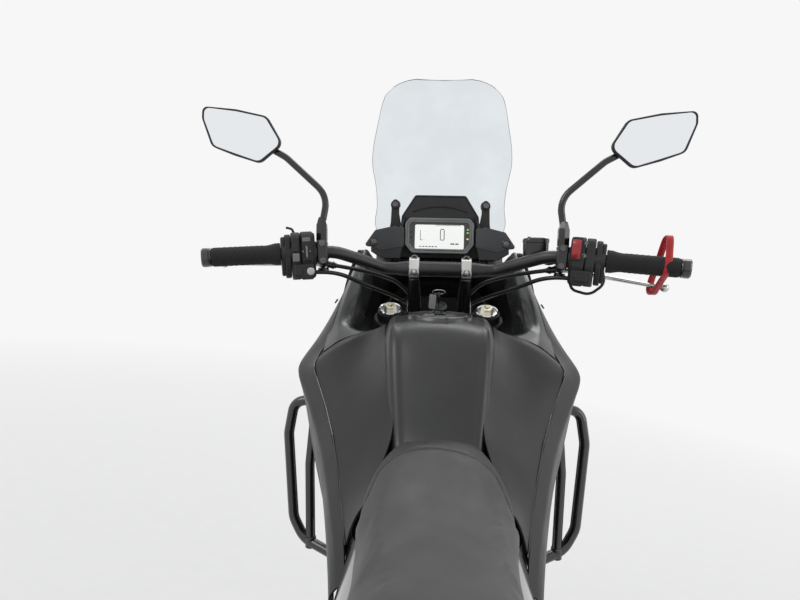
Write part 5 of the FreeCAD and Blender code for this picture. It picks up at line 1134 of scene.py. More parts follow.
    def threads(self, front: bpy.types.Object, back: bpy.types.Object) -> None:
        """Rows of stitches beside the seams."""
        form = Form()
        turn = self.shop.stance.matrix
        for cushion, line, reach in ((front, self.rider_seam, 103), (back, self.passenger_seam, 105)):
            graph = bpy.context.evaluated_depsgraph_get()
            solid = cushion.evaluated_get(graph)
            down = self.shop.stance.turn((0, 0, -1))
            spots = []
            x = -float(reach)
            while x < reach:
                spots.append((x, line(x) - 4.0))
                x += 1.2 if abs(x) > 60 else 4.0
            laid: list[Vector] = []
            for x, y in spots:
                hit, place, _, _ = solid.ray_cast(turn @ Vector((x, y, 1000)), down)
                if hit:
                    laid.append(turn.inverted() @ place)
            walked, kept = 0.0, []
            for a, b in zip(laid, laid[1:]):
                walked += (b - a).length
                if walked > 5.2:
                    kept.append((a, b))
                    walked = 0.0
            for a, b in kept:
                along = (b - a).normalized() * 1.7
                form.tube([a - along, a + along], 0.55, sides=5)
        self.shop.add("seat_stitches", form, Body.CHASSIS, SEAM, like="rider_seat")


def inset_outline(points: Outline, by: float) -> list[tuple[float, float]]:
    """An outline drawn in by a distance on every side.

    Args:
        points: the corners as pairs.
        by: the distance.

    Returns:
        The smaller outline.
    """
    area = sum(a[0] * b[1] - b[0] * a[1] for a, b in zip(points, list(points[1:]) + [points[0]]))
    turn = 1.0 if area > 0 else -1.0
    made = []
    for i, p in enumerate(points):
        before, after = points[i - 1], points[(i + 1) % len(points)]
        a = Vector((p[0] - before[0], p[1] - before[1])).normalized()
        b = Vector((after[0] - p[0], after[1] - p[1])).normalized()
        n1, n2 = Vector((-a.y, a.x)) * turn, Vector((-b.y, b.x)) * turn
        move = (n1 + n2) * (by / max(0.3, 1 + n1.dot(n2)))
        made.append((p[0] + move.x, p[1] + move.y))
    return made


def eased(points: Outline, by: float, radius: float, step: float = 15.0) -> list[tuple[float, float]]:
    """An outline drawn in by a distance and then rounded at its corners."""
    return rounded_outline(inset_outline(points, by), radius, step)


def spun(r: float, angle: float, x: float = 0.0) -> Vector:
    """A point at a radius and an angle about an axle, x along it."""
    return Vector((x, r * math.cos(angle), r * math.sin(angle)))


def steer(x: float, s: float, n: float) -> Vector:
    """A point s along the steering axis from the ground and n ahead of it."""
    rake, foot = math.radians(27.0), 891.0
    return Vector((x, foot - s * math.sin(rake) + n * math.cos(rake),
        s * math.cos(rake) + n * math.sin(rake)))


def hand(side: int) -> str:
    """The name of a side."""
    return "right" if side > 0 else "left"


def lever_pivot(side: int) -> Vector:
    """The middle of a lever's pivot."""
    return Vector((side * 220, 262, 1166))


def cable_heading(side: int) -> Vector:
    """The way a cable leaves its adjuster at the lever."""
    return unit((-side * 0.93, 0.34, -0.14))


HEAD_AXIS = steer(0, 1, 0) - steer(0, 0, 0)
HEAD_AHEAD = steer(0, 0, 1) - steer(0, 0, 0)


@dataclass(frozen=True)
class BarLine:
    """The handlebar's centre line, and places on its straight ends."""

    line: tuple[Row, ...] = ((0, 290, 1160), (106, 290, 1160), (150, 262, 1175), (194, 233, 1189),
        (417, 170, 1172))

    def point(self, side: int, x: float) -> Vector:
        """A point of the grip section, x from the middle."""
        a, b = Vector(self.line[-2]), Vector(self.line[-1])
        p = a + (b - a) * ((x - a.x) / (b.x - a.x))
        return Vector((side * p.x, p.y, p.z))

    def outward(self, side: int) -> Vector:
        """The grip section's direction."""
        return (self.point(side, 400) - self.point(side, 300)).normalized()

    def across(self, side: int, x: float, ahead: float, up: float) -> Vector:
        """A point in the plane square to the grip section at x from the middle."""
        along = self.outward(side)
        level = Vector((0, 0, 1)).cross(along).normalized() * side
        return self.point(side, x) + level * ahead + along.cross(level) * (up * side)


@dataclass
class Cockpit:
    """The display in its eight-sided housing, the hood, the wings beside it, the screen and its brackets."""

    shop: Workshop
    bezel: Outline = ((-78, 1260), (-68, 1272), (66, 1272), (76, 1260), (76, 1212), (60, 1193), (-62, 1193),
        (-78, 1212))
    window: Outline = ((-56, 1257), (54, 1257), (54, 1203), (-56, 1203))
    screen_rows: tuple[tuple[float, ...], ...] = (  # height, half width, depth at the edge and in the middle
        (1222, 140, 566, 612), (1262, 151, 556, 602), (1299, 146, 545, 590), (1344, 148, 530, 574),
        (1390, 155, 509, 552), (1430, 151, 489, 529), (1465, 142, 470, 506), (1496, 134, 455, 487),
        (1523, 124, 440, 468), (1538, 109, 436, 459), (1546, 98, 433, 452), (1554, 76, 431.5, 444),
        (1557, 58, 431, 439))

    def build(self) -> None:
        """Makes the cockpit's pieces."""
        self.housing()
        self.display()
        self.hood()
        self.wings()
        self.screen()
        self.brackets()

    @staticmethod
    def facing(x: float, z: float, out: float = 0.0) -> Vector:
        """A point of the display's plane, raised towards the rider by out."""
        return Vector((x, 486 + 0.12 * (z - 1200) - out, z))

    def ring(self, outline: Outline, inset: float, radius: float, out: float) -> list[Vector]:
        """A rounded ring on the display's plane."""
        edge = eased(outline, inset, max(radius - inset * 0.5, 1.5), 30)
        return [self.facing(x, z, out) for x, z in edge]

    def housing(self) -> None:
        """The grey rim, its raised bead and the black glass inside it."""
        rim = Form()
        rim.skin([self.ring(self.bezel, i, 7, o) for i, o in ((2.5, -26), (0, -23), (0, -1.5), (1.4, 0),
            (4.2, 0), (5.2, -1.4), (6.4, -1.4), (7.2, 0.5), (9.0, 0.5), (9.8, -1.6), (10, -3.4))], caps=False)
        self.shop.add("display_housing", rim, Body.CHASSIS, BEZEL_GREY, ["instrument"], sharp=36)
        field = Form()
        field.slab(self.ring(self.bezel, 9.6, 7, -2.4), (0, 3, 0), edge=0.3)
        field.slab(self.ring(self.bezel, 3, 7, -24), (0, 4, 0), edge=1.0)
        self.shop.add("display_glass", field, Body.CHASSIS, BEZEL_FIELD, like="instrument")

    def bars(self, form: Form, boxes: Iterable[tuple[float, float, float, float]], out: float,
            slot: int) -> None:
        """Adds thin flat marks (x0, x1, z0, z1) on the display."""
        for x0, x1, z0, z1 in boxes:
            form.slab([self.facing(x, z, out - 0.2) for x, z in ((x0, z0), (x1, z0), (x1, z1), (x0, z1))],
                (0, -0.3, 0), slot)

    def display(self) -> None:
        """The lit panel with its speed figure, bars, and the warning lamps beside it."""
        form = Form()
        form.slab(self.ring(self.window, 0.2, 3, -2.3), (0, -0.5, 0), 0, 0.15)
        stroke = [(2, 9, 1246, 1248), (2, 9, 1222, 1224), (0.4, 2.2, 1224, 1246), (8.8, 10.6, 1224, 1246)]
        bars = [(-46 + 7.0 * k, -41 + 7.0 * k, 1207, 1209) for k in range(6)]
        bars += [(-44, -42.8, 1222, 1244), (-44, -38, 1222, 1223.2), (24, 33, 1213, 1216),
            (35, 42, 1213, 1216)]
        bars += [(-10 + 2.6 * k, -8.6 + 2.6 * k, 1255, 1256.2 + (k % 3) * 0.3) for k in range(22)]
        self.bars(form, stroke + bars, -1.7, 1)
        lamps = [(62.0, 1247, 2), (62.0, 1240, 2), (62.0, 1226, 3), (-63.5, 1240, 4), (-63.5, 1228, 4)]
        for x, z, slot in lamps:
            spot = [self.facing(x + dx, z + dz, -2.3) for dx, dz in
                    rounded_outline(((-2.4, -1.7), (2.4, -1.7), (2.4, 1.7), (-2.4, 1.7)), 1.5, 40)]
            form.slab(spot, (0, -0.45, 0), slot)
        self.shop.add("display_panel", form, Body.CHASSIS,
            [LCD_WHITE, LCD_MARK, TELL_GREEN, TELL_AMBER, MATTE_BLACK], ["display"])

    def hood(self) -> None:
        """The hood over the display: a black plate with a rolled rim and an arched rib."""
        outline = [(-88, 1278), (-58, 1326), (58, 1326), (88, 1278), (92, 1238), (-92, 1238)]

        def at(x: float, z: float, out: float) -> Vector:
            """A point of the hood's face."""
            return Vector((x, 522 + 0.05 * (z - 1200) - out, z))

        form = Form()
        form.skin([[at(x, z, out) for x, z in eased(outline, inset, 8, 22)]
                   for inset, out in ((1.5, -5), (0, -4), (0, 0), (1.2, 1.4), (3, 1.4), (4.4, 0))])
        rib = [at(x, 1301 - 0.0031 * x * x, 0) for x in (-62 + 124 * k / 28 for k in range(29))]
        rail = [[p + Vector((0, 0, -1.8)), p + Vector((0, -2.6, -1.2)), p + Vector((0, -2.6, 1.2)),
            p + Vector((0, 0, 1.8))] for p in rib]
        form.skin(rail)
        for side in (-1, 1):
            sill = ((78, 1276), (88, 1262), (92, 1238), (86, 1238))
            form.slab([at(side * x, z, 0) for x, z in sill], (0, -30, -1), edge=1.2)
            form.bolt(at(side * 70, 1262, 0), (0, -1, 0.05), 4, 2.6)
        self.shop.add("display_hood", form, Body.CHASSIS, MATTE_BLACK, ["cockpit_panels"], sharp=34)

    def wings(self) -> None:
        """The grained panels beside the display, each with one bolt in a dish, over a ribbed tray."""
        wing = ((80, 1251), (112, 1250), (144, 1242), (168, 1206), (150, 1204), (128, 1196), (80, 1206))

        def at(side: int, x: float, z: float, out: float) -> Vector:
            """A point of a wing's face."""
            return Vector((side * x, 480 + 0.12 * (z - 1200) - 0.16 * (x - 80) - out, z))

        form, bolts, tray = Form(), Form(), Form()
        for side in (-1, 1):
            form.skin([[at(side, x, z, out) for x, z in eased(wing, inset, 5, 22)]
                       for inset, out in ((1.5, -8), (0, -6.5), (0, -1.6), (1.2, -0.2), (2.4, 0))])
            spot = at(side, 146, 1216, 0)
            normal = unit((-side * 0.16, -1, 0.12))
            bolts.lathe(spot, normal, [(-0.6, 9.6), (1.5, 9.2), (1.9, 8.4), (0.7, 7.4), (0.4, 0.01)], 28)
            bolts.bolt(spot + normal * 0.4, normal, 5.0, 2.6, 1)
            ledge = [at(side, x, z, -1) for x, z in ((82, 1209), (128, 1199), (152, 1208), (152, 1194),
                (130, 1180), (88, 1180))]
            tray.slab(ledge, (0, 6, 0), edge=0.8)
        self.shop.add("cockpit_wings", form, Body.CHASSIS, GRAINED, ["cockpit_panels"], sharp=34)
        self.shop.add("cockpit_wing_bolts", bolts, Body.CHASSIS, [GLOSS_BLACK, DARK_STEEL],
            like="cockpit_panels")
        tray.slab([(-138, 454, 1152), (138, 454, 1152), (148, 558, 1188), (-148, 558, 1188)], (0, 0, 4.5),
            edge=0.8)
        tray.slab([(-128, 519, 1182), (128, 519, 1182), (128, 519, 1242), (-128, 519, 1242)], (0, 10, 0),
            edge=1.2)
        for x in range(-110, 111, 20):
            tray.slab([(x - 1.5, 452, 1156.5), (x + 1.5, 452, 1156.5), (x + 1.5, 540, 1186.5),
                (x - 1.5, 540, 1186.5)], (0, -1, 5), edge=0.4)
        self.shop.add("cockpit_tray", tray, Body.CHASSIS, MATTE_BLACK, ["cockpit_panels"], sharp=34)

    def arc(self, row: Sequence[float], thick: float) -> list[Vector]:
        """One row of the screen: an arc from edge to edge, set back by thick."""
        z, half, edge, crown = row
        rise = crown - edge
        radius = (half ** 2 + rise ** 2) / (2 * rise)
        swing = math.asin(min(1.0, half / radius))
        return [Vector((radius * math.sin(a), crown - radius * (1 - math.cos(a)) - thick, z))
                for a in (swing * (i / 16 - 1) for i in range(33))]

    def screen(self) -> None:
        """The tall clear screen with its rounded rim."""
        form = Form()
        rows = []
        for i in range(len(self.screen_rows) - 1):
            steps = 3 if i < 6 else 2
            for k in range(steps):
                z = self.screen_rows[i][0] + (self.screen_rows[i + 1][0] - self.screen_rows[i][0]) * k / steps
                rows.append((z, *(curve_at([(r[0], r[c]) for r in self.screen_rows], z) for c in (1, 2, 3))))
        rows.append(self.screen_rows[-1])
        rings = []
        for row in rows:
            front, back = self.arc(row, 0.0), self.arc(row, 4.0)
            middle = [(front[0] + back[0]) / 2, (front[-1] + back[-1]) / 2]
            edges = [middle[0] + (front[0] - front[1]).normalized() * 1.4,
                middle[1] + (front[-1] - front[-2]).normalized() * 1.4]
            rings.append(front + [edges[1]] + back[::-1] + [edges[0]])
        form.skin(rings)
        self.shop.add("clear_screen", form, Body.CHASSIS, SCREEN_CLEAR, ["windscreen"], sharp=50)

    def brackets(self) -> None:
        """The black brackets that hold the screen, with round eyes and bolts."""
        form, bolts = Form(), Form()
        for side in (-1, 1):
            plate = ((86, 1234), (118, 1234), (113, 1262), (112, 1290), (112, 1306), (107, 1315), (99, 1315),
                (94, 1306), (94, 1284), (90, 1262))
            form.slab([(side * x, 520 + 0.02 * (z - 1234), z) for x, z in rounded_outline(plate, 6, 24)],
                (0, 6, 0), edge=1.2)
            form.lathe((side * 103, 519, 1303), (0, 1, 0), [(-2, 7), (-1, 10), (12, 11.5), (44, 8), (60, 7),
                (61, 0.1)], 22)
            form.lathe((side * 104, 484, 1224), (0, 1, 0), [(0, 6), (37, 6)], 16)
            bolts.bolt((side * 103, 517.5, 1303), (0, -1, 0), 6, 3.2)
            bolts.bolt((side * 103, 519.5, 1250), (0, -1, 0), 4.2, 2.6)
        self.shop.add("screen_brackets", form, Body.CHASSIS, MATTE_BLACK, ["cockpit_panels"], sharp=34)
        self.shop.add("screen_bracket_bolts", bolts, Body.CHASSIS, DARK_STEEL, like="cockpit_panels")


@dataclass
class Controls:
    """The handlebar with its clamps, grips, switches, levers, strap and cables."""

    shop: Workshop
    bar: BarLine = BarLine()

    def build(self) -> None:
        """Makes everything on the handlebar."""
        self.handlebar()
        self.clamps()
        self.grips()
        for side in (-1, 1):
            self.switch_housing(side)
            self.perch(side)
        self.switches_left()
        self.switches_right()
        self.levers()
        self.strap()
        self.cables()

    def handlebar(self) -> None:
        """The matte tapered bar and the weights in its ends."""
        form, weights = Form(), Form()
        form.lathe((0, 290, 1160), (1, 0, 0), [(-92, 11.3), (-84, 11.6), (-66, 14.3), (66, 14.3), (84, 11.6),
            (92, 11.3)], 36)
        for side in (-1, 1):
            line = [(side * 84, 290, 1160)] + [(side * x, y, z) for x, y, z in self.bar.line[1:-1]]
            form.tube(line + [self.bar.point(side, 404)], (11.6, 11.1), bend=75, sides=32)
            a = self.bar.point(side, 402.6)
            weights.lathe(a, self.bar.outward(side), [(0, 12), (0.4, 16.4), (1.4, 16.9), (2.6, 16.9),
                (3.2, 16.2), (4.2, 16.2), (4.8, 16.9), (13.5, 16.9), (16.1, 15), (16.1, 9.5), (14.6, 8.8),
                (14.6, 0.01)], 40)
            weights.bolt(a + self.bar.outward(side) * 13.6, self.bar.outward(side), 6, 2.4)
        self.shop.add("handlebar_tube", form, Body.STEERING, BAR_MATTE, ["handlebar"], sharp=40)
        self.shop.add("bar_end_weights", weights, Body.STEERING, GLOSS_BLACK, like="handlebar", sharp=36)

    def clamps(self) -> None:
        """The tapered posts and the silver caps that hold the bar, two bolts each."""
        posts, caps, bolts = Form(), Form(), Form()
        out, up = Vector((0, -0.85, 0.52)).normalized(), Vector((0, 0.52, 0.85)).normalized()
        for side in (-1, 1):
            x = side * 49.5
            foot, top = steer(x, 1170, -4), Vector((x, 290, 1160))
            along = (top - foot).normalized()
            span = (top - foot).length
            posts.lathe(foot, along, [(-1, 18), (3, 18), (5, 16.6), (10, 15.4), (span * 0.5, 13.2),
                (span - 26, 11.4), (span - 16, 11.2)], 40)
            back = [(-19, -13), (-19, -1), (19, -1), (19, -13), (12, -19), (-12, -19)]
            posts.slab([top + up * t + out * n + Vector((-10, 0, 0))
                for t, n in rounded_outline(back, 4, 24)], (20, 0, 0), edge=1.2)
            cap = [(-20.5, 0.5), (-20.5, 9), (-17, 14.5), (-9, 18.6), (9, 18.6), (17, 14.5), (20.5, 9),
                (20.5, 0.5)]
            caps.slab([top + up * t + out * n + Vector((-9.5, 0, 0))
                for t, n in rounded_outline(cap, 3.5, 20)], (19, 0, 0), edge=1.4)
            for t in (-15.2, 15.2):
                spot = top + up * t + out * 14.2
                bolts.lathe(spot, out, [(-2, 6.4), (2.4, 6.4), (3.2, 5.6), (3.2, 3.4), (-0.4, 3.2),
                    (-0.4, 0.01)], 24)
        self.shop.add("riser_posts", posts, Body.STEERING, RISER_BLACK, ["risers"], sharp=36)
        self.shop.add("bar_clamp_caps", caps, Body.STEERING, CLAMP_GREY, ["risers"], sharp=30)
        self.shop.add("bar_clamp_bolts", bolts, Body.STEERING, DARK_STEEL, like="risers")

    def grips(self) -> None:
        """Rubber grips with a flared inner flange, fine ribs and a plain band."""
        form = Form()
        for side in (-1, 1):
            a, along = self.bar.point(side, 288), self.bar.outward(side)
            u, v = across(along)
            rings = []
            length = (self.bar.point(side, 402) - a).length
            steps = 76
            for i in range(steps + 1):
                s = length * i / steps
                base = 16.5
                if s < 5:
                    base = 20.5 - 0.5 * abs(s - 2.5)
                elif s < 24:
                    base = 20 - 3.2 * soft_step(5, 24, s)
                elif s > length - 2:
                    base = 15.8
                ring = []
                for k in range(48):
                    lift = 0.0
                    if 30 < s < length - 14:
                        lift = 0.42 if (k + (i // 2) * 2) % 6 < 3 else 0.0
                    elif s >= length - 14 and s < length - 3:
                        lift = 0.5 if i % 2 else 0.0
                    angle = 2 * math.pi * k / 48
                    ring.append(a + along * s + (u * math.cos(angle) + v * math.sin(angle)) * (base + lift))
                rings.append(ring)
            form.skin(rings)
        self.shop.add("hand_grips", form, Body.STEERING, GRIP_RUBBER, ["grips"], sharp=60)

    def pad(self, form: Form, side: int, box: tuple[float, float, float, float], base: float, out: float,
            slot: int = 0, radius: float = 2.0, edge: float = 1.0) -> None:
        """Raises a rounded block on the face of a switch housing.

        Args:
            form: the mesh.
            side: -1 left or 1 right.
            box: from and to along the bar, from and to in height.
            base: where it starts, ahead of the bar.
            out: how far it stands out towards the rider.
            slot: the material slot.
            radius: its corners.
            edge: its rim's chamfer.
        """
        x0, x1, up0, up1 = box
        outline = rounded_outline(((x0, up0), (x1, up0), (x1, up1), (x0, up1)), radius, 30)
        face = [self.bar.across(side, x, base, up) for x, up in outline]
        back = self.bar.across(side, 250, base - out, 0) - self.bar.across(side, 250, base, 0)
        form.slab(face, back, slot, edge)

    def switch_housing(self, side: int) -> None:
        """The two-part housing round the bar, with its collar and the seams between its parts."""
        form = Form()
        outline = [(-24, 31), (-14, 38), (10, 38), (30, 20), (30, -18), (12, -50), (-16, -45), (-25, -14)]
        for x0, x1, shrink, radius in ((229.5, 234, 2.6, 8), (233, 254, 0.0, 8), (254.8, 270, 0.8, 8),
                (270.8, 281, 4, 9), (280, 287.3, 8, 9)):
            ring = eased(outline, shrink, radius, 20)
            start = [self.bar.across(side, x0, a, u) for a, u in ring]
            form.slab(start, self.bar.outward(side) * (x1 - x0), edge=1.6)
        form.lathe(self.bar.point(side, 229), self.bar.outward(side),
            [(-2, 13), (-2, 20), (2, 21.5), (60, 21.5)], 32)
        self.pad(form, side, (234, 268, -46, -20), -20, 9, radius=5, edge=2)
        self.shop.add(f"switch_housing_{hand(side)}", form, Body.STEERING, MATTE_BLACK, ["switchgear"],
            sharp=34)

    def perch(self, side: int) -> None:
        """The lever's clamp with two bolts, its pivot, and the mirror's socket."""
        form, bolts = Form(), Form()
        ahead = self.bar.across(side, 218, 1, 0) - self.bar.across(side, 218, 0, 0)
        form.lathe(self.bar.point(side, 207.5), self.bar.outward(side),
            [(0, 12), (0, 18), (1.4, 19), (18.6, 19), (20, 18), (20, 12)], 36)
        self.pad(form, side, (209.5, 226.5, -22, 22), -6, 15, radius=4, edge=1.6)
        for up in (-15.5, 15.5):
            bolts.bolt(self.bar.across(side, 218, -20.6, up), -ahead, 5.4, 3.4)
        pivot = lever_pivot(side)
        arm = [self.bar.point(side, 217) + ahead * 10, pivot - Vector((0, 6, 0)), pivot + Vector((0, 4, 0))]
        form.tube(arm, (10, 8.5), bend=20, sides=20)
        for low, high in ((-14.5, -8.2), (8.2, 14.5)):
            form.lathe(pivot, (0, 0, 1), [(low, 9.5), (low + 1, 10.5), (high - 1, 10.5), (high, 9.5)], 26)
        form.lathe(pivot, cable_heading(side), [(4, 7.5), (10, 7.5), (11, 6.4), (16, 6.4), (17, 7.2),
            (20, 7.2), (22, 5.4), (25, 5), (25, 0.1)], 22)
        bolts.hexagon(pivot + Vector((0, 0, 14.4)), (0, 0, 1), 5.5, 4)
        bolts.hexagon(pivot - Vector((0, 0, 14.4)), (0, 0, -1), 4.6, 5)
        if side > 0:
            self.reservoir(form, bolts)
        self.shop.add(f"lever_perch_{hand(side)}", form, Body.STEERING, RISER_BLACK, ["switchgear"], sharp=34)
        self.shop.add(f"lever_perch_bolts_{hand(side)}", bolts, Body.STEERING, DARK_STEEL, like="switchgear")

    def reservoir(self, form: Form, bolts: Form) -> None:
        """The brake fluid's square cup with its screwed lid."""
        cup = ((-23, -22), (23, -22), (23, 22), (-23, 22))
        form.skin([[(181 + x, 300 + y, z) for x, y in eased(cup, inset, 11, 18)]
            for inset, z in ((4, 1187), (0.8, 1190), (0.4, 1214), (-0.4, 1215), (-0.4, 1221), (0.6, 1223),
            (4, 1224.5))])
        for x, y in ((-15, -14), (15, 14)):
            bolts.bolt((181 + x, 300 + y, 1223.6), (0, 0, 1), 3.4, 2)
        form.tube([(181, 300, 1192), (200, 270, 1180), self.bar.point(1, 217)], 8.5, bend=20, sides=18)

    def switches_left(self) -> None:
        """The rockers, the cross-shaped turn switch, the window and the round white button."""
        form = Form()
        self.pad(form, -1, (236, 253, -15, 30), -22, 5, 0, 3, 1.4)
        self.pad(form, -1, (257, 268.5, 2, 29), -22.5, 6.5, 0, 2.5, 1.6)
        self.pad(form, -1, (257, 268.5, -15, 0), -23, 6, 1, 2.5, 1.6)
        self.pad(form, -1, (238, 251, 20, 27), -26.4, 1.6, 1, 1, 0.4)
        self.pad(form, -1, (243.3, 246.4, -9, 12), -26.4, 7, 1, 1.4, 0.8)
        self.pad(form, -1, (237.6, 241, 1, 4), -26.4, 1.4, 1, 1, 0.4)
        self.pad(form, -1, (249, 252.2, 1, 4), -26.4, 1.4, 1, 1, 0.4)
        out = self.bar.across(-1, 240, -1, 0) - self.bar.across(-1, 240, 0, 0)
        form.lathe(self.bar.across(-1, 240, -27.5, -33), out,
            [(0, 7), (1.4, 7), (1.8, 5.8), (4, 5.4), (4.6, 4.6), (4.6, 0.01)], 28, 2)
        self.pad(form, -1, (254, 266, -40, -28), -28, 3, 0, 2, 1)
        lead = [self.bar.across(-1, 262, 2, 34), self.bar.across(-1, 266, 2, 44),
            self.bar.across(-1, 276, 2, 47)]
        form.tube(lead, 2.2, bend=6, sides=10)
        self.shop.add("switches_left", form, Body.STEERING, [MATTE_BLACK, BEZEL_GREY, TAG_WHITE],
            like="switchgear", sharp=30)

    def switches_right(self) -> None:
        """The red stop switch, the start button and two small screws."""
        form = Form()
        self.pad(form, 1, (230.5, 248.5, -4, 37), -20, 6.5, 0, 3, 1.4)
        rings = []
        for k in range(9):
            up = 33 * k / 8
            bulge = 6.2 * math.sin(math.pi * k / 8) ** 0.6 if 0 < k < 8 else 0.0
            dip = 2.2 * math.exp(-((k - 4) / 1.6) ** 2)
            rings.append([self.bar.across(1, x, -26 - depth, up) for x, depth in
                          ((232.4, 0), (232.4, bulge - dip), (234, bulge - dip + 1), (245, bulge - dip + 1),
                           (246.6, bulge - dip), (246.6, 0))])
        form.skin(rings, 1)
        out = self.bar.across(1, 240, -1, 0) - self.bar.across(1, 240, 0, 0)
        for x, up, r in ((254, 28, 2.6), (252.5, 6, 3)):
            form.lathe(self.bar.across(1, x, -23.4, up), out,
                [(0, r + 0.8), (1.2, r + 0.8), (1.2, r), (0.5, 0.01)], 20, 2)
        self.pad(form, 1, (240, 262, -40, -27), -28, 4, 0, 3, 1.4)
        self.shop.add("switches_right", form, Body.STEERING, [MATTE_BLACK, RED_SWITCH, BEZEL_GREY],
            like="switchgear", sharp=44)

    def levers(self) -> None:
        """Bent blades before the grips, each with a ball at its tip."""
        form = Form()
        for side, elbow, tip in ((1, (318, 254, 1151), (392, 212, 1138)),
                (-1, (-318, 254, 1164), (-392, 212, 1163))):
            root = lever_pivot(side)
            form.tube([root, Vector(elbow), Vector(tip)], (7.2, 5.2), bend=70, sides=24, flat=0.72)
            form.lathe(root, (0, 0, 1), [(-7.6, 8), (-7, 9), (7, 9), (7.6, 8)], 26)
            steps = 10
            profile = [(-8 * math.cos(math.pi * i / steps), 8 * math.sin(math.pi * i / steps))
                for i in range(steps + 1)]
            form.lathe(tip, (0, 0, 1), profile, 24)
        self.shop.add("hand_lever_blades", form, Body.STEERING, BRIGHT_STEEL, ["hand_levers"], sharp=40)

    def strap(self) -> None:
        """The red band looped round the grip and the brake lever, standing up above the grip."""
        path = [(185, 1227), (197, 1221), (207, 1200), (218, 1174), (231, 1152), (234, 1136), (226, 1127),
            (212, 1127), (199, 1138), (182, 1153), (168, 1165), (166, 1182), (172, 1204), (177, 1220)]
        fine: list[Vector] = []
        for i, p in enumerate(path):
            before, after, last = (Vector(path[(i + k) % len(path)]) for k in (-1, 1, 2))
            here = Vector(p)
            for k in range(6):
                t = k / 6
                fine.append(0.5 * (2 * here + (after - before) * t
                    + (2 * before - 5 * here + 4 * after - last) * t * t
                    + (3 * here - 3 * after + last - before) * t ** 3))
        form = Form()
        rings = []
        for i, p in enumerate(fine):
            along = (fine[(i + 1) % len(fine)] - fine[i - 1]).normalized()
            n = Vector((along.y, -along.x))
            x = 379 + 0.12 * (p.y - 1175)
            rings.append([(x + dx, p.x + n.x * o, p.y + n.y * o)
                for dx, o in ((-6, -0.6), (-5.2, -1.3), (5.2, -1.3), (6, -0.6), (6, 0.6), (5.2, 1.3),
                (-5.2, 1.3), (-6, 0.6))])
        form.skin(rings, looped=True)
        self.shop.add("lever_strap_band", form, Body.STEERING, RED_BAND, ["lever_strap"], sharp=60)

    def cables(self) -> None:
        """The levers' cables and the switches' leads: one curve each, from its housing to the lower yoke."""
        for side in (-1, 1):
            heading = cable_heading(side)
            adjuster = lever_pivot(side) + heading * 23
            housing = self.bar.across(side, 229, -2, -36)
            inboard = -self.bar.outward(side)
            lever_run = [adjuster, adjuster + heading * 40, Vector((side * 118, 330, 1146)),
                Vector((side * 80, 390, 1128))]
            switch_run = [housing, housing + inboard * 36, Vector((side * 146, 286, 1128)),
                Vector((side * 102, 348, 1108)), Vector((side * 66, 410, 1086))]
            for kind, run, x, ahead in (("lever_cable", lever_run, 46, 94),
                    ("switch_lead", switch_run, 32, 80)):
                ends = [steer(side * x, 1070 + ahead, ahead), steer(side * x, 1080, ahead),
                    steer(side * x, 1018, 56), steer(side * x, 960, 56)]
                self.cord(f"{kind}_{hand(side)}", run + ends)
        loop = Form()
        loop.tube([self.bar.across(1, 284, 4, -16), self.bar.across(1, 290, 4, -40),
            self.bar.across(1, 268, 6, -62), self.bar.across(1, 238, 4, -56),
            self.bar.across(1, 232, 2, -40)], 2.6, bend=22, sides=12)
        self.shop.add("grip_lead", loop, Body.STEERING, SHEATH, like="control_cables")

    def cord(self, name: str, points: Sequence[Vector]) -> None:
        """One sheathed cord as a smooth curve.

        Args:
            name: the cord's name.
            points: its control points in the machine's frame.
        """
        data = bpy.data.curves.new(name, "CURVE")
        data.dimensions = "3D"
        line = data.splines.new("NURBS")
        line.points.add(len(points) - 1)
        for spot, p in zip(line.points, points):
            spot.co = (*self.shop.stance.place(p), 1.0)
        line.order_u = 3
        line.use_endpoint_u = True
        line.resolution_u = 12
        data.bevel_depth = 0.004
        data.bevel_resolution = 3
        data.use_fill_caps = True
        data.materials.append(SHEATH.material())
        made = bpy.data.objects.new(name, data)
        bpy.context.scene.collection.objects.link(made)
        self.shop.settle(made, Body.STEERING, ["control_cables"])


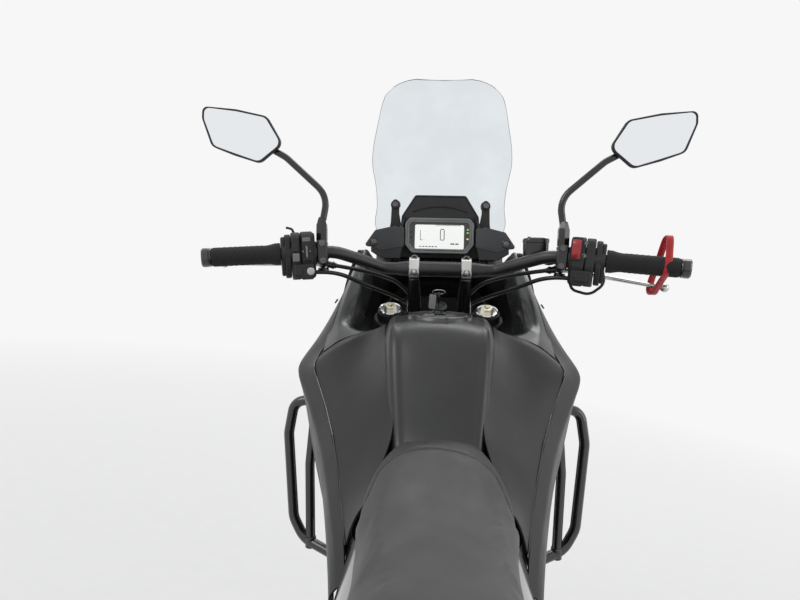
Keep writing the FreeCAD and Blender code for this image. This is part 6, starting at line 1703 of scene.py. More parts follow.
@dataclass
class Mirrors:
    """Two mirrors on bent stems: thin shells with the glass set into them."""

    shop: Workshop
    middle: tuple[float, float] = (362.0, 1394.0)
    outline: Outline = ((290, 1380), (318, 1428), (372, 1438), (430, 1441), (431, 1420), (414, 1371),
        (376, 1357), (330, 1344))

    def build(self) -> None:
        """Makes the shells, the glass and the stems."""
        shells, glass, stems = Form(), Form(), Form()
        for side in (-1, 1):
            shells.skin([self.ring(side, i, d) for i, d in ((4.4, 1.6), (3.6, 1.4), (3.0, -0.4), (0.8, -0.6),
                (0, 1), (0, 8), (4, 14), (12, 20), (24, 24.5), (42, 26.5))])
            glass.skin([self.ring(side, 3.9, 1.0), self.ring(side, 3.9, 2.6)])
            foot = BarLine().point(side, 217) + Vector((0, 0, 19.2))
            stems.tube([foot + Vector((0, 0, 30)), (side * 209, 232, 1290), (side * 286, 232, 1358),
                (side * 344, 238, 1389)], 6.2, bend=46, sides=22)
            stems.lathe(foot, (0, 0, 1), [(-6, 12), (-1, 12), (0, 11), (30, 11), (34, 9.5), (40, 8),
                (44, 6.4)], 6)
            stems.lathe((side * 338, 236, 1386), (side * 0.86, 0, 0.5),
                [(-6, 7), (-3, 9.6), (12, 11.5), (18, 9)], 24)
        self.shop.add("mirror_shells", shells, Body.STEERING, MATTE_BLACK, ["mirrors"], sharp=50)
        self.shop.add("mirror_stems", stems, Body.STEERING, RISER_BLACK, ["mirrors"], sharp=40)
        self.shop.add("mirror_panes", glass, Body.STEERING, MIRROR_GLASS, ["mirror_glass"], sharp=30)

    def ring(self, side: int, inset: float, depth: float) -> list[Vector]:
        """The mirror's outline drawn towards its middle and set ahead by depth."""
        made = []
        for x, z in rounded_outline(self.outline, 15, 12):
            away = Vector((x - self.middle[0], z - self.middle[1]))
            away *= (away.length - inset) / away.length
            px, pz = self.middle[0] + away.x, self.middle[1] + away.y
            made.append(Vector((side * px, 222 - 0.14 * (px - 286) + depth, pz)))
        return made


@dataclass
class SteeringHead:
    """The yokes, the upside-down fork legs, the lock with its key, the axle and the fender."""

    shop: Workshop

    def build(self) -> None:
        """Makes the pieces of the steering head."""
        self.yokes()
        self.legs()
        self.key()
        self.axle()

    def plate(self, form: Form, s: float, height: float, front: float, back: float, boss: float) -> None:
        """One yoke: a waisted plate with split bosses round the legs.

        Args:
            form: the mesh.
            s: its height along the steering axis.
            height: its thickness.
            front: how far it reaches ahead of the axis.
            back: how far it reaches behind.
            boss: the bosses' radius.
        """
        outline = [(-90, front), (-30, front - 8), (30, front - 8), (90, front), (104, 32), (62, 2),
            (34, back), (-34, back), (-62, 2), (-104, 32)]
        form.skin([[steer(x, s + up, n) for x, n in eased(outline, inset, 14, 20)]
                   for inset, up in ((2.5, 0), (0, 2.5), (0, height - 2.5), (2.5, height))])
        for side in (-1, 1):
            form.lathe(steer(side * LEG_X, s, LEG_AHEAD), HEAD_AXIS,
                [(0, 27), (0, boss - 2.5), (2.5, boss), (height - 2.5, boss), (height, boss - 2.5),
                (height, 27)], 48)
            lug = [steer(side * LEG_X + x, s + 2, LEG_AHEAD + n)
                for x, n in ((-9, -30), (9, -30), (9, -48), (-9, -48))]
            form.slab(lug, HEAD_AXIS * (height - 4), edge=2)

    def yokes(self) -> None:
        """Both yokes, the stem between them, its nut and the clamp bolts."""
        form, metal = Form(), Form()
        self.plate(form, 1146, 24, 62, -34, 36)
        self.plate(form, 926, 34, 66, -30, 37)
        form.lathe(steer(0, 940, 0), HEAD_AXIS, [(0, 20), (40, 20), (42, 16), (200, 16), (208, 20)], 32)
        metal.lathe(steer(0, 1170, 0), HEAD_AXIS, [(0, 21), (2, 21), (2, 19), (8, 19), (9.5, 17.5), (9.5, 9),
            (6, 8.5), (6, 0.01)], 6)
        for side in (-1, 1):
            for s in (1158, 936, 950):
                metal.bolt(steer(side * 109.5, s, -7), (side, 0, 0), 5, 4.5)
        form.lathe(steer(0, 1150, 44), HEAD_AXIS, [(0, 19), (40, 19), (43, 18), (44, 15.5), (44, 12),
            (42.5, 11.5), (42.5, 0.01)], 36)
        self.shop.add("steering_yokes", form, Body.STEERING, ENGINE_COAT, ["yokes"], sharp=34)
        self.shop.add("yoke_nut_and_bolts", metal, Body.STEERING, BRIGHT_STEEL, like="yokes")

    def legs(self) -> None:
        """The fat upper tubes, chromed sliders, cast feet, and pale gold caps with their adjusters."""
        tubes, sliders, caps, feet = Form(), Form(), Form(), Form()
        for side in (-1, 1):
            base = steer(side * LEG_X, 0, LEG_AHEAD)
            tubes.lathe(base, HEAD_AXIS, [(626, 22), (626, 28), (629, 29.5), (659, 29.5), (662, 27.2),
                (664, 27), (1183, 27), (1186, 26), (1186.6, 22.5)], 48)
            sliders.lathe(base, HEAD_AXIS, [(380, 21.5), (640, 21.5)], 40)
            caps.lathe(base, HEAD_AXIS, [(1184, 22.4), (1189, 22.4), (1190, 20.5), (1189.4, 15),
                (1189.4, 12)], 44, 1)
            caps.lathe(base, HEAD_AXIS, [(1187.5, 22.5), (1190.6, 23.6), (1191.6, 22.6), (1190.4, 20.6)], 44,
                2)
            caps.lathe(base, HEAD_AXIS, [(1189, 13), (1198, 13), (1199.2, 11.8), (1199.2, 6.4), (1197.4, 6),
                (1197.4, 0.01)], 6)
            caps.lathe(base, HEAD_AXIS, [(1197, 4.4), (1201, 4.4), (1201.6, 3.6), (1201.6, 0.01)], 16)
            foot = [(-20, -14), (-20, 10), (0, 24), (20, 22), (52, 20), (62, 12), (62, -20), (52, -22),
                (4, -22)]
            start = side * 80
            feet.slab([steer(start, 359.6 + s, LEG_AHEAD + n) for s, n in rounded_outline(foot, 9, 18)],
                (side * 40, 0, 0), edge=3)
            feet.lathe(FRONT_AXLE + Vector((side * 76, 0, 0)), (side, 0, 0),
                [(0, 20), (0, 25), (2, 27), (47, 27), (50, 25), (50, 16), (46, 15)], 44)
            feet.lathe(base, HEAD_AXIS, [(388, 20), (388, 25.5), (391, 27), (418, 27), (424, 23)], 40)
            for s in (345, 375):
                feet.bolt(steer(side * 118, s, 56), (side * 0.4, 0.8, -0.4), 4, 3)
        self.shop.add("fork_tubes", tubes, Body.STEERING, ENGINE_COAT, ["fork_legs"], sharp=36)
        self.shop.add("fork_sliders", sliders, Body.STEERING, CHROME_TUBE, ["fork_legs"], sharp=36)
        self.shop.add("fork_caps", caps, Body.STEERING, [GOLD_CAP, DARK_STEEL, CHROME_TUBE], ["fork_legs"],
            sharp=30)
        self.shop.add("fork_feet", feet, Body.STEERING, CAST_ALLOY, ["fork_legs"], sharp=36)

    def key(self) -> None:
        """The key in its lock, with a ring and a small blank tag."""
        metal, tag = Form(), Form()
        top = steer(0, 1193, 44)
        up, ahead = HEAD_AXIS, HEAD_AHEAD
        blade = [(-3, 0), (3, 0), (3, 12), (-3, 12)]
        metal.slab([top + ahead * a + up * b + Vector((-1.1, 0, 0)) for a, b in blade], (2.2, 0, 0), edge=0.3)
        bow = rounded_outline(((-9, 11), (9, 11), (11, 30), (-11, 30)), 7, 24)
        tag.slab([top + ahead * a + up * b + Vector((-3, 0, 0)) for a, b in bow], (6, 0, 0), 1, 1.2)
        centre = top + up * 33
        for k in range(24):
            a0, a1 = (2 * math.pi * (k + d) / 24 for d in (0, 1))
            p, q = (centre + Vector((13 * math.cos(a), 0, 0)) + (up * 0.75 - ahead * 0.66)
                * (13 * math.sin(a)) for a in (a0, a1))
            metal.tube([p, q], 0.9, sides=8)
        hang = centre + Vector((-13, -4, -6))
        card = rounded_outline(((-8, -28), (6, -30), (8, 0), (-6, 2)), 3, 24)
        tag.slab([hang + Vector((a, -0.12 * b, b)) for a, b in card], (0, 0.9, 0), 0, 0.2)
        self.shop.add("key_and_ring", metal, Body.STEERING, BRIGHT_STEEL, like="yokes")
        self.shop.add("key_bow_and_tag", tag, Body.STEERING, [TAG_WHITE, MATTE_BLACK], like="yokes")

    def axle(self) -> None:
        """The front axle with its head and nut."""
        form = Form()
        form.lathe(FRONT_AXLE, (1, 0, 0), [(-131, 0.01), (-131, 11), (-129.5, 13), (-126.4, 13),
            (-126.4, 9.95), (126.4, 9.95)], 28)
        for side in (-1, 1):
            form.lathe(FRONT_AXLE + Vector((side * 62.4, 0, 0)), (side, 0, 0),
                [(0, 10), (0, 15), (1, 15.5), (12.6, 15.5), (13.4, 14.8), (13.4, 10)], 28)
        form.hexagon(FRONT_AXLE + Vector((126.2, 0, 0)), (1, 0, 0), 13, 8)
        self.shop.add("front_axle_shaft", form, Body.STEERING, BRIGHT_STEEL, ["front_axle"])


@dataclass
class GuardBars:
    """The bent guard tubes beside the radiator, each with its brace, weld beads and mounting bolts."""

    shop: Workshop

    def build(self) -> None:
        """Makes both guards."""
        tubes, metal = Form(), Form()
        for side in (-1, 1):
            loop = [(98, 330, 806), (150, 350, 846), (262, 398, 874), (304, 402, 866), (314, 396, 800),
                (298, 380, 622), (274, 372, 580), (190, 338, 556), (116, 262, 478), (104, 226, 462)]
            brace = [(256, 394, 868), (264, 378, 740), (258, 366, 576)]
            tubes.tube([(side * x, y, z) for x, y, z in loop], 11, bend=50, sides=28)
            tubes.tube([(side * x, y, z) for x, y, z in brace], 10, bend=80, sides=24)
            for x, y, z in (brace[0], brace[-1]):
                tubes.lathe((side * x, y, z), (0, -0.1, 1), [(-12.5, 9.5), (-11, 11.8), (11, 11.8),
                    (12.5, 9.5)], 24)
            for spot, aim in (((98, 330, 806), (0.2, -1, 0.1)), ((104, 226, 462), (1, -0.3, 0))):
                centre = Vector((side * spot[0], spot[1], spot[2]))
                axis = Vector((side * aim[0], aim[1], aim[2]))
                tubes.lathe(centre, axis, [(-8, 14), (-7, 15), (7, 15), (8, 14)], 26)
                metal.hexagon(centre + axis.normalized() * 8, axis, 7, 6)
        self.shop.add("guard_tubes", tubes, Body.CHASSIS, BAR_PAINT, ["crash_bars"], sharp=44)
        self.shop.add("guard_bolts", metal, Body.CHASSIS, BRIGHT_STEEL, like="crash_bars")


@dataclass(frozen=True)
class WheelSize:
    """One wheel's sizes: the tyre, the rim, the spokes and the hub."""

    end: str
    body: Body
    y: float
    radius: float
    width: float
    rim: float
    half: float
    spokes: int
    flange_r: float
    flange_x: float
    gauge: float
    hub: tuple[tuple[float, float], ...]
    blocks: int

    @property
    def centre(self) -> Vector:
        """The wheel's middle."""
        return Vector((0, self.y, self.radius))


FRONT = WheelSize("front", Body.FRONT_WHEEL, 780, 347, 92, 272, 33, 36, 46, 33, 2.0,
    ((-61.7, 10.4), (-61.7, 36), (-60, 38), (-42, 38), (-38, 44), (-36, 51), (-34, 52), (-31, 51), (-27, 31),
    (0, 29), (27, 31), (31, 51), (34, 52), (36, 51), (38, 44), (42, 38), (60, 38), (61.7, 36), (61.7, 10.4)),
    44)
REAR = WheelSize("rear", Body.REAR_WHEEL, -780, 333, 150, 235, 57, 32, 55, 43, 2.2,
    ((-88, 10.4), (-88, 64), (-86, 66), (-84, 71), (-82, 72), (-42, 72), (-39, 70), (-35, 39), (0, 36),
    (34, 38), (40, 61), (43, 62), (46, 60), (50, 43), (66, 42), (69.5, 40), (69.5, 10.4)), 38)


@dataclass
class Wheels:
    """Wire wheels, block-tread tyres, and drilled discs on their carriers."""

    shop: Workshop

    def build(self) -> None:
        """Makes both wheels."""
        for size in (FRONT, REAR):
            self.tyre(size)
            self.rim(size)
            self.spokes(size)
        self.disc("front_disc_rings", FRONT, [62, -67], 155, 112, 22, "front_discs", 10)
        self.disc("rear_disc_ring", REAR, [70], 128, 90, 24, "rear_disc", 10)

    @staticmethod
    def crown(size: WheelSize, share: float) -> float:
        """The tyre's radius at a share of its half width."""
        height = size.radius - size.rim
        return size.rim + height * curve_at(((0, 1.0), (0.42, 0.965), (0.78, 0.85), (0.93, 0.72),
            (0.995, 0.54)), abs(share))

    def tyre(self, size: WheelSize) -> None:
        """The carcass with its bead, and rows of tread blocks set round the crown."""
        form = Form()
        half, groove = size.width / 2 - 0.5, 7.0
        profile = []
        for k in range(-11, 12):
            share = 0.995 * k / 11
            profile.append((share * half, self.crown(size, share) - groove
                * (1 - soft_step(0.8, 0.93, abs(share)))))
        height = size.radius - size.rim
        side = [(half * 0.985, size.rim + height * 0.42), (half * 0.9, size.rim + height * 0.24),
            (half * 0.905, size.rim + height * 0.21), (half * 0.8, size.rim + height * 0.1),
            (half * 0.7, size.rim + 2)]
        profile = [(-x, r) for x, r in side[::-1]] + profile + side
        profile += [(half * 0.66, size.rim - 2), (-half * 0.66, size.rim - 2)]
        form.lathe(size.centre, (1, 0, 0), profile, 128, closed=True)
        rows = ((-0.21, 0.21, 0.0), (0.25, 0.52, 0.5), (-0.52, -0.25, 0.5), (0.56, 0.84, 0.15),
            (-0.84, -0.56, 0.15))
        for i in range(size.blocks):
            for low, high, phase in rows:
                self.block(form, size, low, high, 2 * math.pi * (i + phase) / size.blocks,
                    2 * math.pi * 0.36 / size.blocks, groove)
        self.shop.add(f"{size.end}_treaded_tyre", form, size.body, TYRE_RUBBER, [f"{size.end}_tyre"],
            sharp=34)

    def block(self, form: Form, size: WheelSize, low: float, high: float, angle: float, reach: float,
            groove: float) -> None:
        """One tread block, with its top narrower than its foot.

        Args:
            form: the tyre's mesh.
            size: the wheel.
            low: where it starts, as a share of the half width.
            high: where it ends.
            angle: its place round the tyre.
            reach: half its length round the tyre, in radians.
            groove: the groove's depth.
        """
        half = size.width / 2 - 0.5
        centre = size.centre
        skew = 0.28 * reach * (1 if low >= 0 else -1) if low * high > 0 else 0.12 * reach
        rings = []
        for drop, grow in ((groove + 1.5, 1.0), (0.9, 0.93), (0.0, 0.84)):
            ring = []
            mid, wide = (low + high) / 2, (high - low) / 2 * grow
            for a, b in ((-1, -1), (0, -1), (1, -1), (1, 1), (0, 1), (-1, 1)):
                share = mid + a * wide
                r = self.crown(size, share) - drop - 0.85
                turn = angle + b * reach * grow + a * skew
                ring.append(centre + spun(r, turn, share * half))
            rings.append(ring)
        form.skin(rings)

    def rim(self, size: WheelSize) -> None:
        """The rim's rolled channel and the turned hub with its drilled flanges."""
        form, hub = Form(), Form()
        r, w = size.rim, size.half
        side = [(8, r - 34), (14, r - 33), (w - 12, r - 21), (w - 4, r - 17), (w, r - 14), (w, r - 3),
            (w - 1.5, r), (w - 5, r), (w - 8, r - 3), (w - 12, r - 5), (12, r - 22)]
        form.lathe(size.centre, (1, 0, 0), side + [(-x, q) for x, q in side[::-1]], 120, closed=True)
        self.shop.add(f"{size.end}_rim", form, size.body, GLOSS_BLACK, [f"{size.end}_wheel"], sharp=30)
        hub.lathe(size.centre, (1, 0, 0), size.hub, 64, closed=True)
        self.shop.add(f"{size.end}_hub", hub, size.body, CAST_ALLOY, [f"{size.end}_wheel"], sharp=34)

    def spokes(self, size: WheelSize) -> None:
        """Crossed wire spokes with their bent heads and threaded nipples."""
        form = Form()
        centre = size.centre
        far_r = size.rim - 31
        for i in range(size.spokes):
            side = 1 if i % 2 else -1
            cross = 1 if (i // 2) % 2 else -1
            at = 2 * math.pi * i / size.spokes
            near = at + cross * math.radians(42)
            hub = centre + spun(size.flange_r, near, side * (size.flange_x + 1.5 * cross))
            far = centre + spun(far_r, at, side * 5)
            way = (far - hub).normalized()
            form.tube([hub, far], size.gauge * 0.92, sides=8)
            form.lathe(far, way, [(-16, size.gauge), (-15.5, 3.1), (-2, 3.1), (-1, 4), (1, 4)], 8)
            form.lathe(hub, (side * cross, 0, 0), [(-4.5, 1.9), (1.6, 1.9), (2, 3.6), (3.2, 3.0),
                (3.4, 0.01)], 8)
        for k in (1, -1):
            spot = centre + Vector((0, 0, k * (size.rim - 34)))
            form.lathe(spot, (0, 0, -k), [(-8, 3.4), (16, 3.4), (17, 4.2), (22, 4.2), (23, 3), (23, 0.01)],
                12)
        self.shop.add(f"{size.end}_spokes", form, size.body, BRIGHT_STEEL, [f"{size.end}_wheel"], sharp=40)

    def disc(self, name: str, size: WheelSize, places: Sequence[float], outer: float, inner: float,
            bore: float, node: str, holes: int) -> None:
        """Drilled friction rings on five-armed carriers.

        Args:
            name: the piece's name.
            size: the wheel.
            places: where each disc starts along the axle.
            outer: the ring's radius.
            inner: its inner radius.
            bore: the carrier's bore.
            node: the node it stands for.
            holes: how many cells of holes go round.
        """
        ring, carrier = Form(), Form()
        for x0 in places:
            self.drilled(ring, size.centre + Vector((x0, 0, 0)), inner, outer, holes * 3)
            base = size.centre + Vector((x0, 0, 0))
            carrier.lathe(base, (1, 0, 0), [(0.3, bore), (0, bore + 22), (5, bore + 22), (4.7, bore)], 48,
                closed=True)
            for i in range(5):
                a = 2 * math.pi * i / 5
                out, along = spun(1, a), Vector((0, -math.sin(a), math.cos(a)))
                arm = [out * (bore + 12) - along * 15, out * (inner - 14) - along * 9,
                    out * (inner + 6) - along * 12, out * (inner + 6) + along * 12,
                    out * (inner - 14) + along * 9, out * (bore + 12) + along * 15]
                carrier.slab([base + p for p in arm], (5, 0, 0), edge=0.8)
                away = 1 if x0 > 0 else -1
                face = base + Vector((5 if away > 0 else 0, 0, 0))
                carrier.lathe(face + out * (inner + 1), (away, 0, 0),
                    [(-1, 6), (1.6, 6), (2.2, 5), (2.2, 2.6), (1, 2.2), (1, 0.01)], 16)
                carrier.bolt(face + out * (bore + 8) + along * 8, (away, 0, 0), 4.2, 3)
        self.shop.add(name, ring, size.body, DISC_STEEL, [node], sharp=30)
        self.shop.add(name + "_carriers", carrier, size.body, ENGINE_COAT, [node], sharp=30)

    @staticmethod
    def drilled(form: Form, base: Vector, inner: float, outer: float, cells: int) -> None:
        """A flat ring with one round hole in each cell, staggered in three rows, and walls inside the holes.

        Args:
            form: the mesh.
            base: the middle of its left face.
            inner: the inner radius.
            outer: the outer radius.
            cells: the number of cells.
        """
        thick = 5.0

        def at(r: float, a: float, x: float) -> Vector:
            """A point of the ring."""
            return base + spun(r, a, x)

        for i in range(cells):
            a0, a1 = 2 * math.pi * i / cells, 2 * math.pi * (i + 1) / cells
            mid = (a0 + a1) / 2
            spot = inner + (outer - inner) * (0.3, 0.5, 0.7)[i % 3]
            border = []
            for share in (0, 0.5, 1):
                border.append((inner, a0 + (a1 - a0) * share))
            border.append(((inner + outer) / 2, a1))
            for share in (1, 0.5, 0):
                border.append((outer, a0 + (a1 - a0) * share))
            border.append(((inner + outer) / 2, a0))
            for x, turn in ((0.0, 1), (thick, -1)):
                rim = [form.bm.verts.new(at(r, a, x)) for r, a in border]
                hole = []
                for r, a in border:
                    p = at(r, a, 0) - at(spot, mid, 0)
                    p = p.normalized() * 4.2
                    hole.append(form.bm.verts.new(at(spot, mid, x) + p))
                for k in range(8):
                    j = (k + 1) % 8
                    quad = (rim[k], rim[j], hole[j], hole[k])
                    form.face(quad[::turn])
                if x == 0.0:
                    near = hole
                else:
                    for k in range(8):
                        j = (k + 1) % 8
                        form.face((near[k], near[j], hole[j], hole[k]))
            for r in (inner, outer):
                for share0, share1 in ((0, 0.5), (0.5, 1)):
                    b0, b1 = a0 + (a1 - a0) * share0, a0 + (a1 - a0) * share1
                    form.face([form.bm.verts.new(at(r, b, x)) for b, x in ((b0, 0), (b1, 0), (b1, thick),
                        (b0, thick))])
        bmesh.ops.remove_doubles(form.bm, verts=form.bm.verts, dist=0.01)


@dataclass
class Drive:
    """The chain of real links and both sprockets."""

    shop: Workshop
    plane: Vector = Vector((-92.0, 0.0, 0.0)).freeze()
    pitch: float = 15.875
    crest: float = 7.2
    waist: float = 5.2
    driven_teeth: int = 48
    drive_teeth: int = 17

    def build(self) -> None:
        """Makes the drive."""
        self.chain()
        self.sprockets()

    def radius(self, teeth: int) -> float:
        """A sprocket's pitch radius."""
        return self.pitch / 2 / math.sin(math.pi / teeth)

    def pins(self) -> list[Vector]:
        """The pins' places round the loop, one pitch apart."""
        big, small = self.radius(self.driven_teeth), self.radius(self.drive_teeth)
        rear, front = self.plane + REAR_AXLE, self.plane + DRIVE_SHAFT
        span = (front - rear).length
        slope = math.atan2(front.z - rear.z, front.y - rear.y)
        lean = math.acos((big - small) / span)
        top, bottom = slope + lean, slope - lean + 2 * math.pi
        line: list[Vector] = []
        full = 2 * math.pi
        for centre, r, start, sweep in ((rear, big, top, bottom - top),
                (front, small, bottom - full, top - bottom + full)):
            for i in range(181):
                a = start + sweep * i / 180
                line.append(centre + spun(r, a))
        line.append(line[0])
        total = sum((b - a).length for a, b in zip(line, line[1:]))
        count = 2 * round(total / self.pitch / 2)
        step, walked, made = total / count, 0.0, []
        for a, b in zip(line, line[1:]):
            length = (b - a).length
            while len(made) < count and walked + length >= len(made) * step - 1e-9:
                made.append(a + (b - a) * ((len(made) * step - walked) / max(length, 1e-9)))
            walked += length
        return made

    def chain(self) -> None:
        """Side plates in pairs, inner and outer by turns, with rollers and riveted pins."""
        plates, rollers = Form(), Form()
        pins = self.pins()
        for i, a in enumerate(pins):
            b = pins[(i + 1) % len(pins)]
            way = (b - a).normalized()
            up = Vector((0, -way.z, way.y))
            middle = (a + b) / 2
            outer = i % 2 == 0
            outline = []
            for end in (-1, 1):
                for k in range(5):
                    t = math.pi * (k / 4 - end * 0.5)
                    outline.append((end * self.pitch / 2 + self.crest * math.cos(t),
                        self.crest * math.sin(t)))
                outline.append((0, end * self.waist))
            for side in (-1, 1):
                x = side * (6.6 if outer else 4.2)
                plates.slab([middle + way * s + up * t + Vector((x, 0, 0)) for s, t in outline],
                    (side * 2.0, 0, 0))
            rollers.lathe(a, (1, 0, 0), [(-4.4, 3.35), (4.4, 3.35)], 10)
            rollers.lathe(a, (1, 0, 0), [(-9.2, 1.6), (-8.9, 2.4), (8.9, 2.4), (9.2, 1.6)], 8)
        self.shop.add("chain_plates", plates, Body.CHASSIS, GOLD_CHAIN, ["chain"], sharp=34)
        self.shop.add("chain_rollers", rollers, Body.CHASSIS, BRIGHT_STEEL, ["chain"], sharp=34)

    def wheel(self, form: Form, centre: Vector, teeth: int, bore: float, windows: int = 0,
            window_at: float = 0.0) -> None:
        """A toothed plate with a bore, built as rings, with round windows if asked for.

        Args:
            form: the mesh.
            centre: its middle.
            teeth: the number of teeth.
            bore: the bore's radius.
            windows: how many windows, if any.
            window_at: the radius on which they sit.
        """
        tip = self.radius(teeth) - 4.4
        root = tip - 6.0
        steps, shares = teeth * 4, (0.0, 0.55, 1.0, 0.55)
        half = 3.5

        def ring(r: Callable[[int], float], x: float) -> list[Vector]:
            """One ring of the plate."""
            return [centre + spun(r(k), 2 * math.pi * k / steps, x) for k in range(steps)]

        web = bore if not windows else root - 15
        form.skin([ring(lambda k: web, half), ring(lambda k: root - 1.0, half),
                   ring(lambda k: root + (tip - root) * shares[k % 4], 1.6),
                   ring(lambda k: root + (tip - root) * shares[k % 4], -1.6),
                   ring(lambda k: root - 1.0, -half), ring(lambda k: web, -half)], looped=True)
        if not windows:
            return
        inner = root - 7
        form.lathe(centre, (1, 0, 0), [(-half, bore), (-half, bore + 34), (half, bore + 34), (half, bore)],
            60, closed=True)
        for i in range(windows):
            a = 2 * math.pi * i / windows
            out, along = spun(1, a), Vector((0, -math.sin(a), math.cos(a)))
            arm = [out * (bore + 30) - along * 17, out * window_at - along * 9,
                out * (inner - 5) - along * 16, out * (inner - 5) + along * 16, out * window_at + along * 9,
                out * (bore + 30) + along * 17]
            form.slab([centre + p + Vector((-half, 0, 0)) for p in arm], (2 * half, 0, 0), edge=0.8)

    def sprockets(self) -> None:
        """The driven sprocket with its windows, and the drive sprocket on its shaft."""
        big, small, bolts = Form(), Form(), Form()
        centre = self.plane + REAR_AXLE
        self.wheel(big, centre, self.driven_teeth, 24.2, 5, 84)
        for i in range(5):
            a = 2 * math.pi * i / 5
            bolts.hexagon(centre + spun(50, a, -3.5), (-1, 0, 0), 6.5, 6)
        self.shop.add("driven_sprocket", big, Body.REAR_WHEEL, DARK_STEEL, ["rear_sprocket"], sharp=30)
        self.shop.add("sprocket_nuts", bolts, Body.REAR_WHEEL, BRIGHT_STEEL, like="rear_sprocket")
        hub = self.plane + DRIVE_SHAFT
        self.wheel(small, hub, self.drive_teeth, 12.8)
        small.lathe(hub, (1, 0, 0), [(15.6, 0.01), (15.6, 13), (-9, 13), (-10, 12), (-12, 12), (-12, 0.01)],
            30)
        self.shop.add("gearbox_sprocket", small, Body.CHASSIS, DARK_STEEL, ["drive_sprocket"], sharp=30)


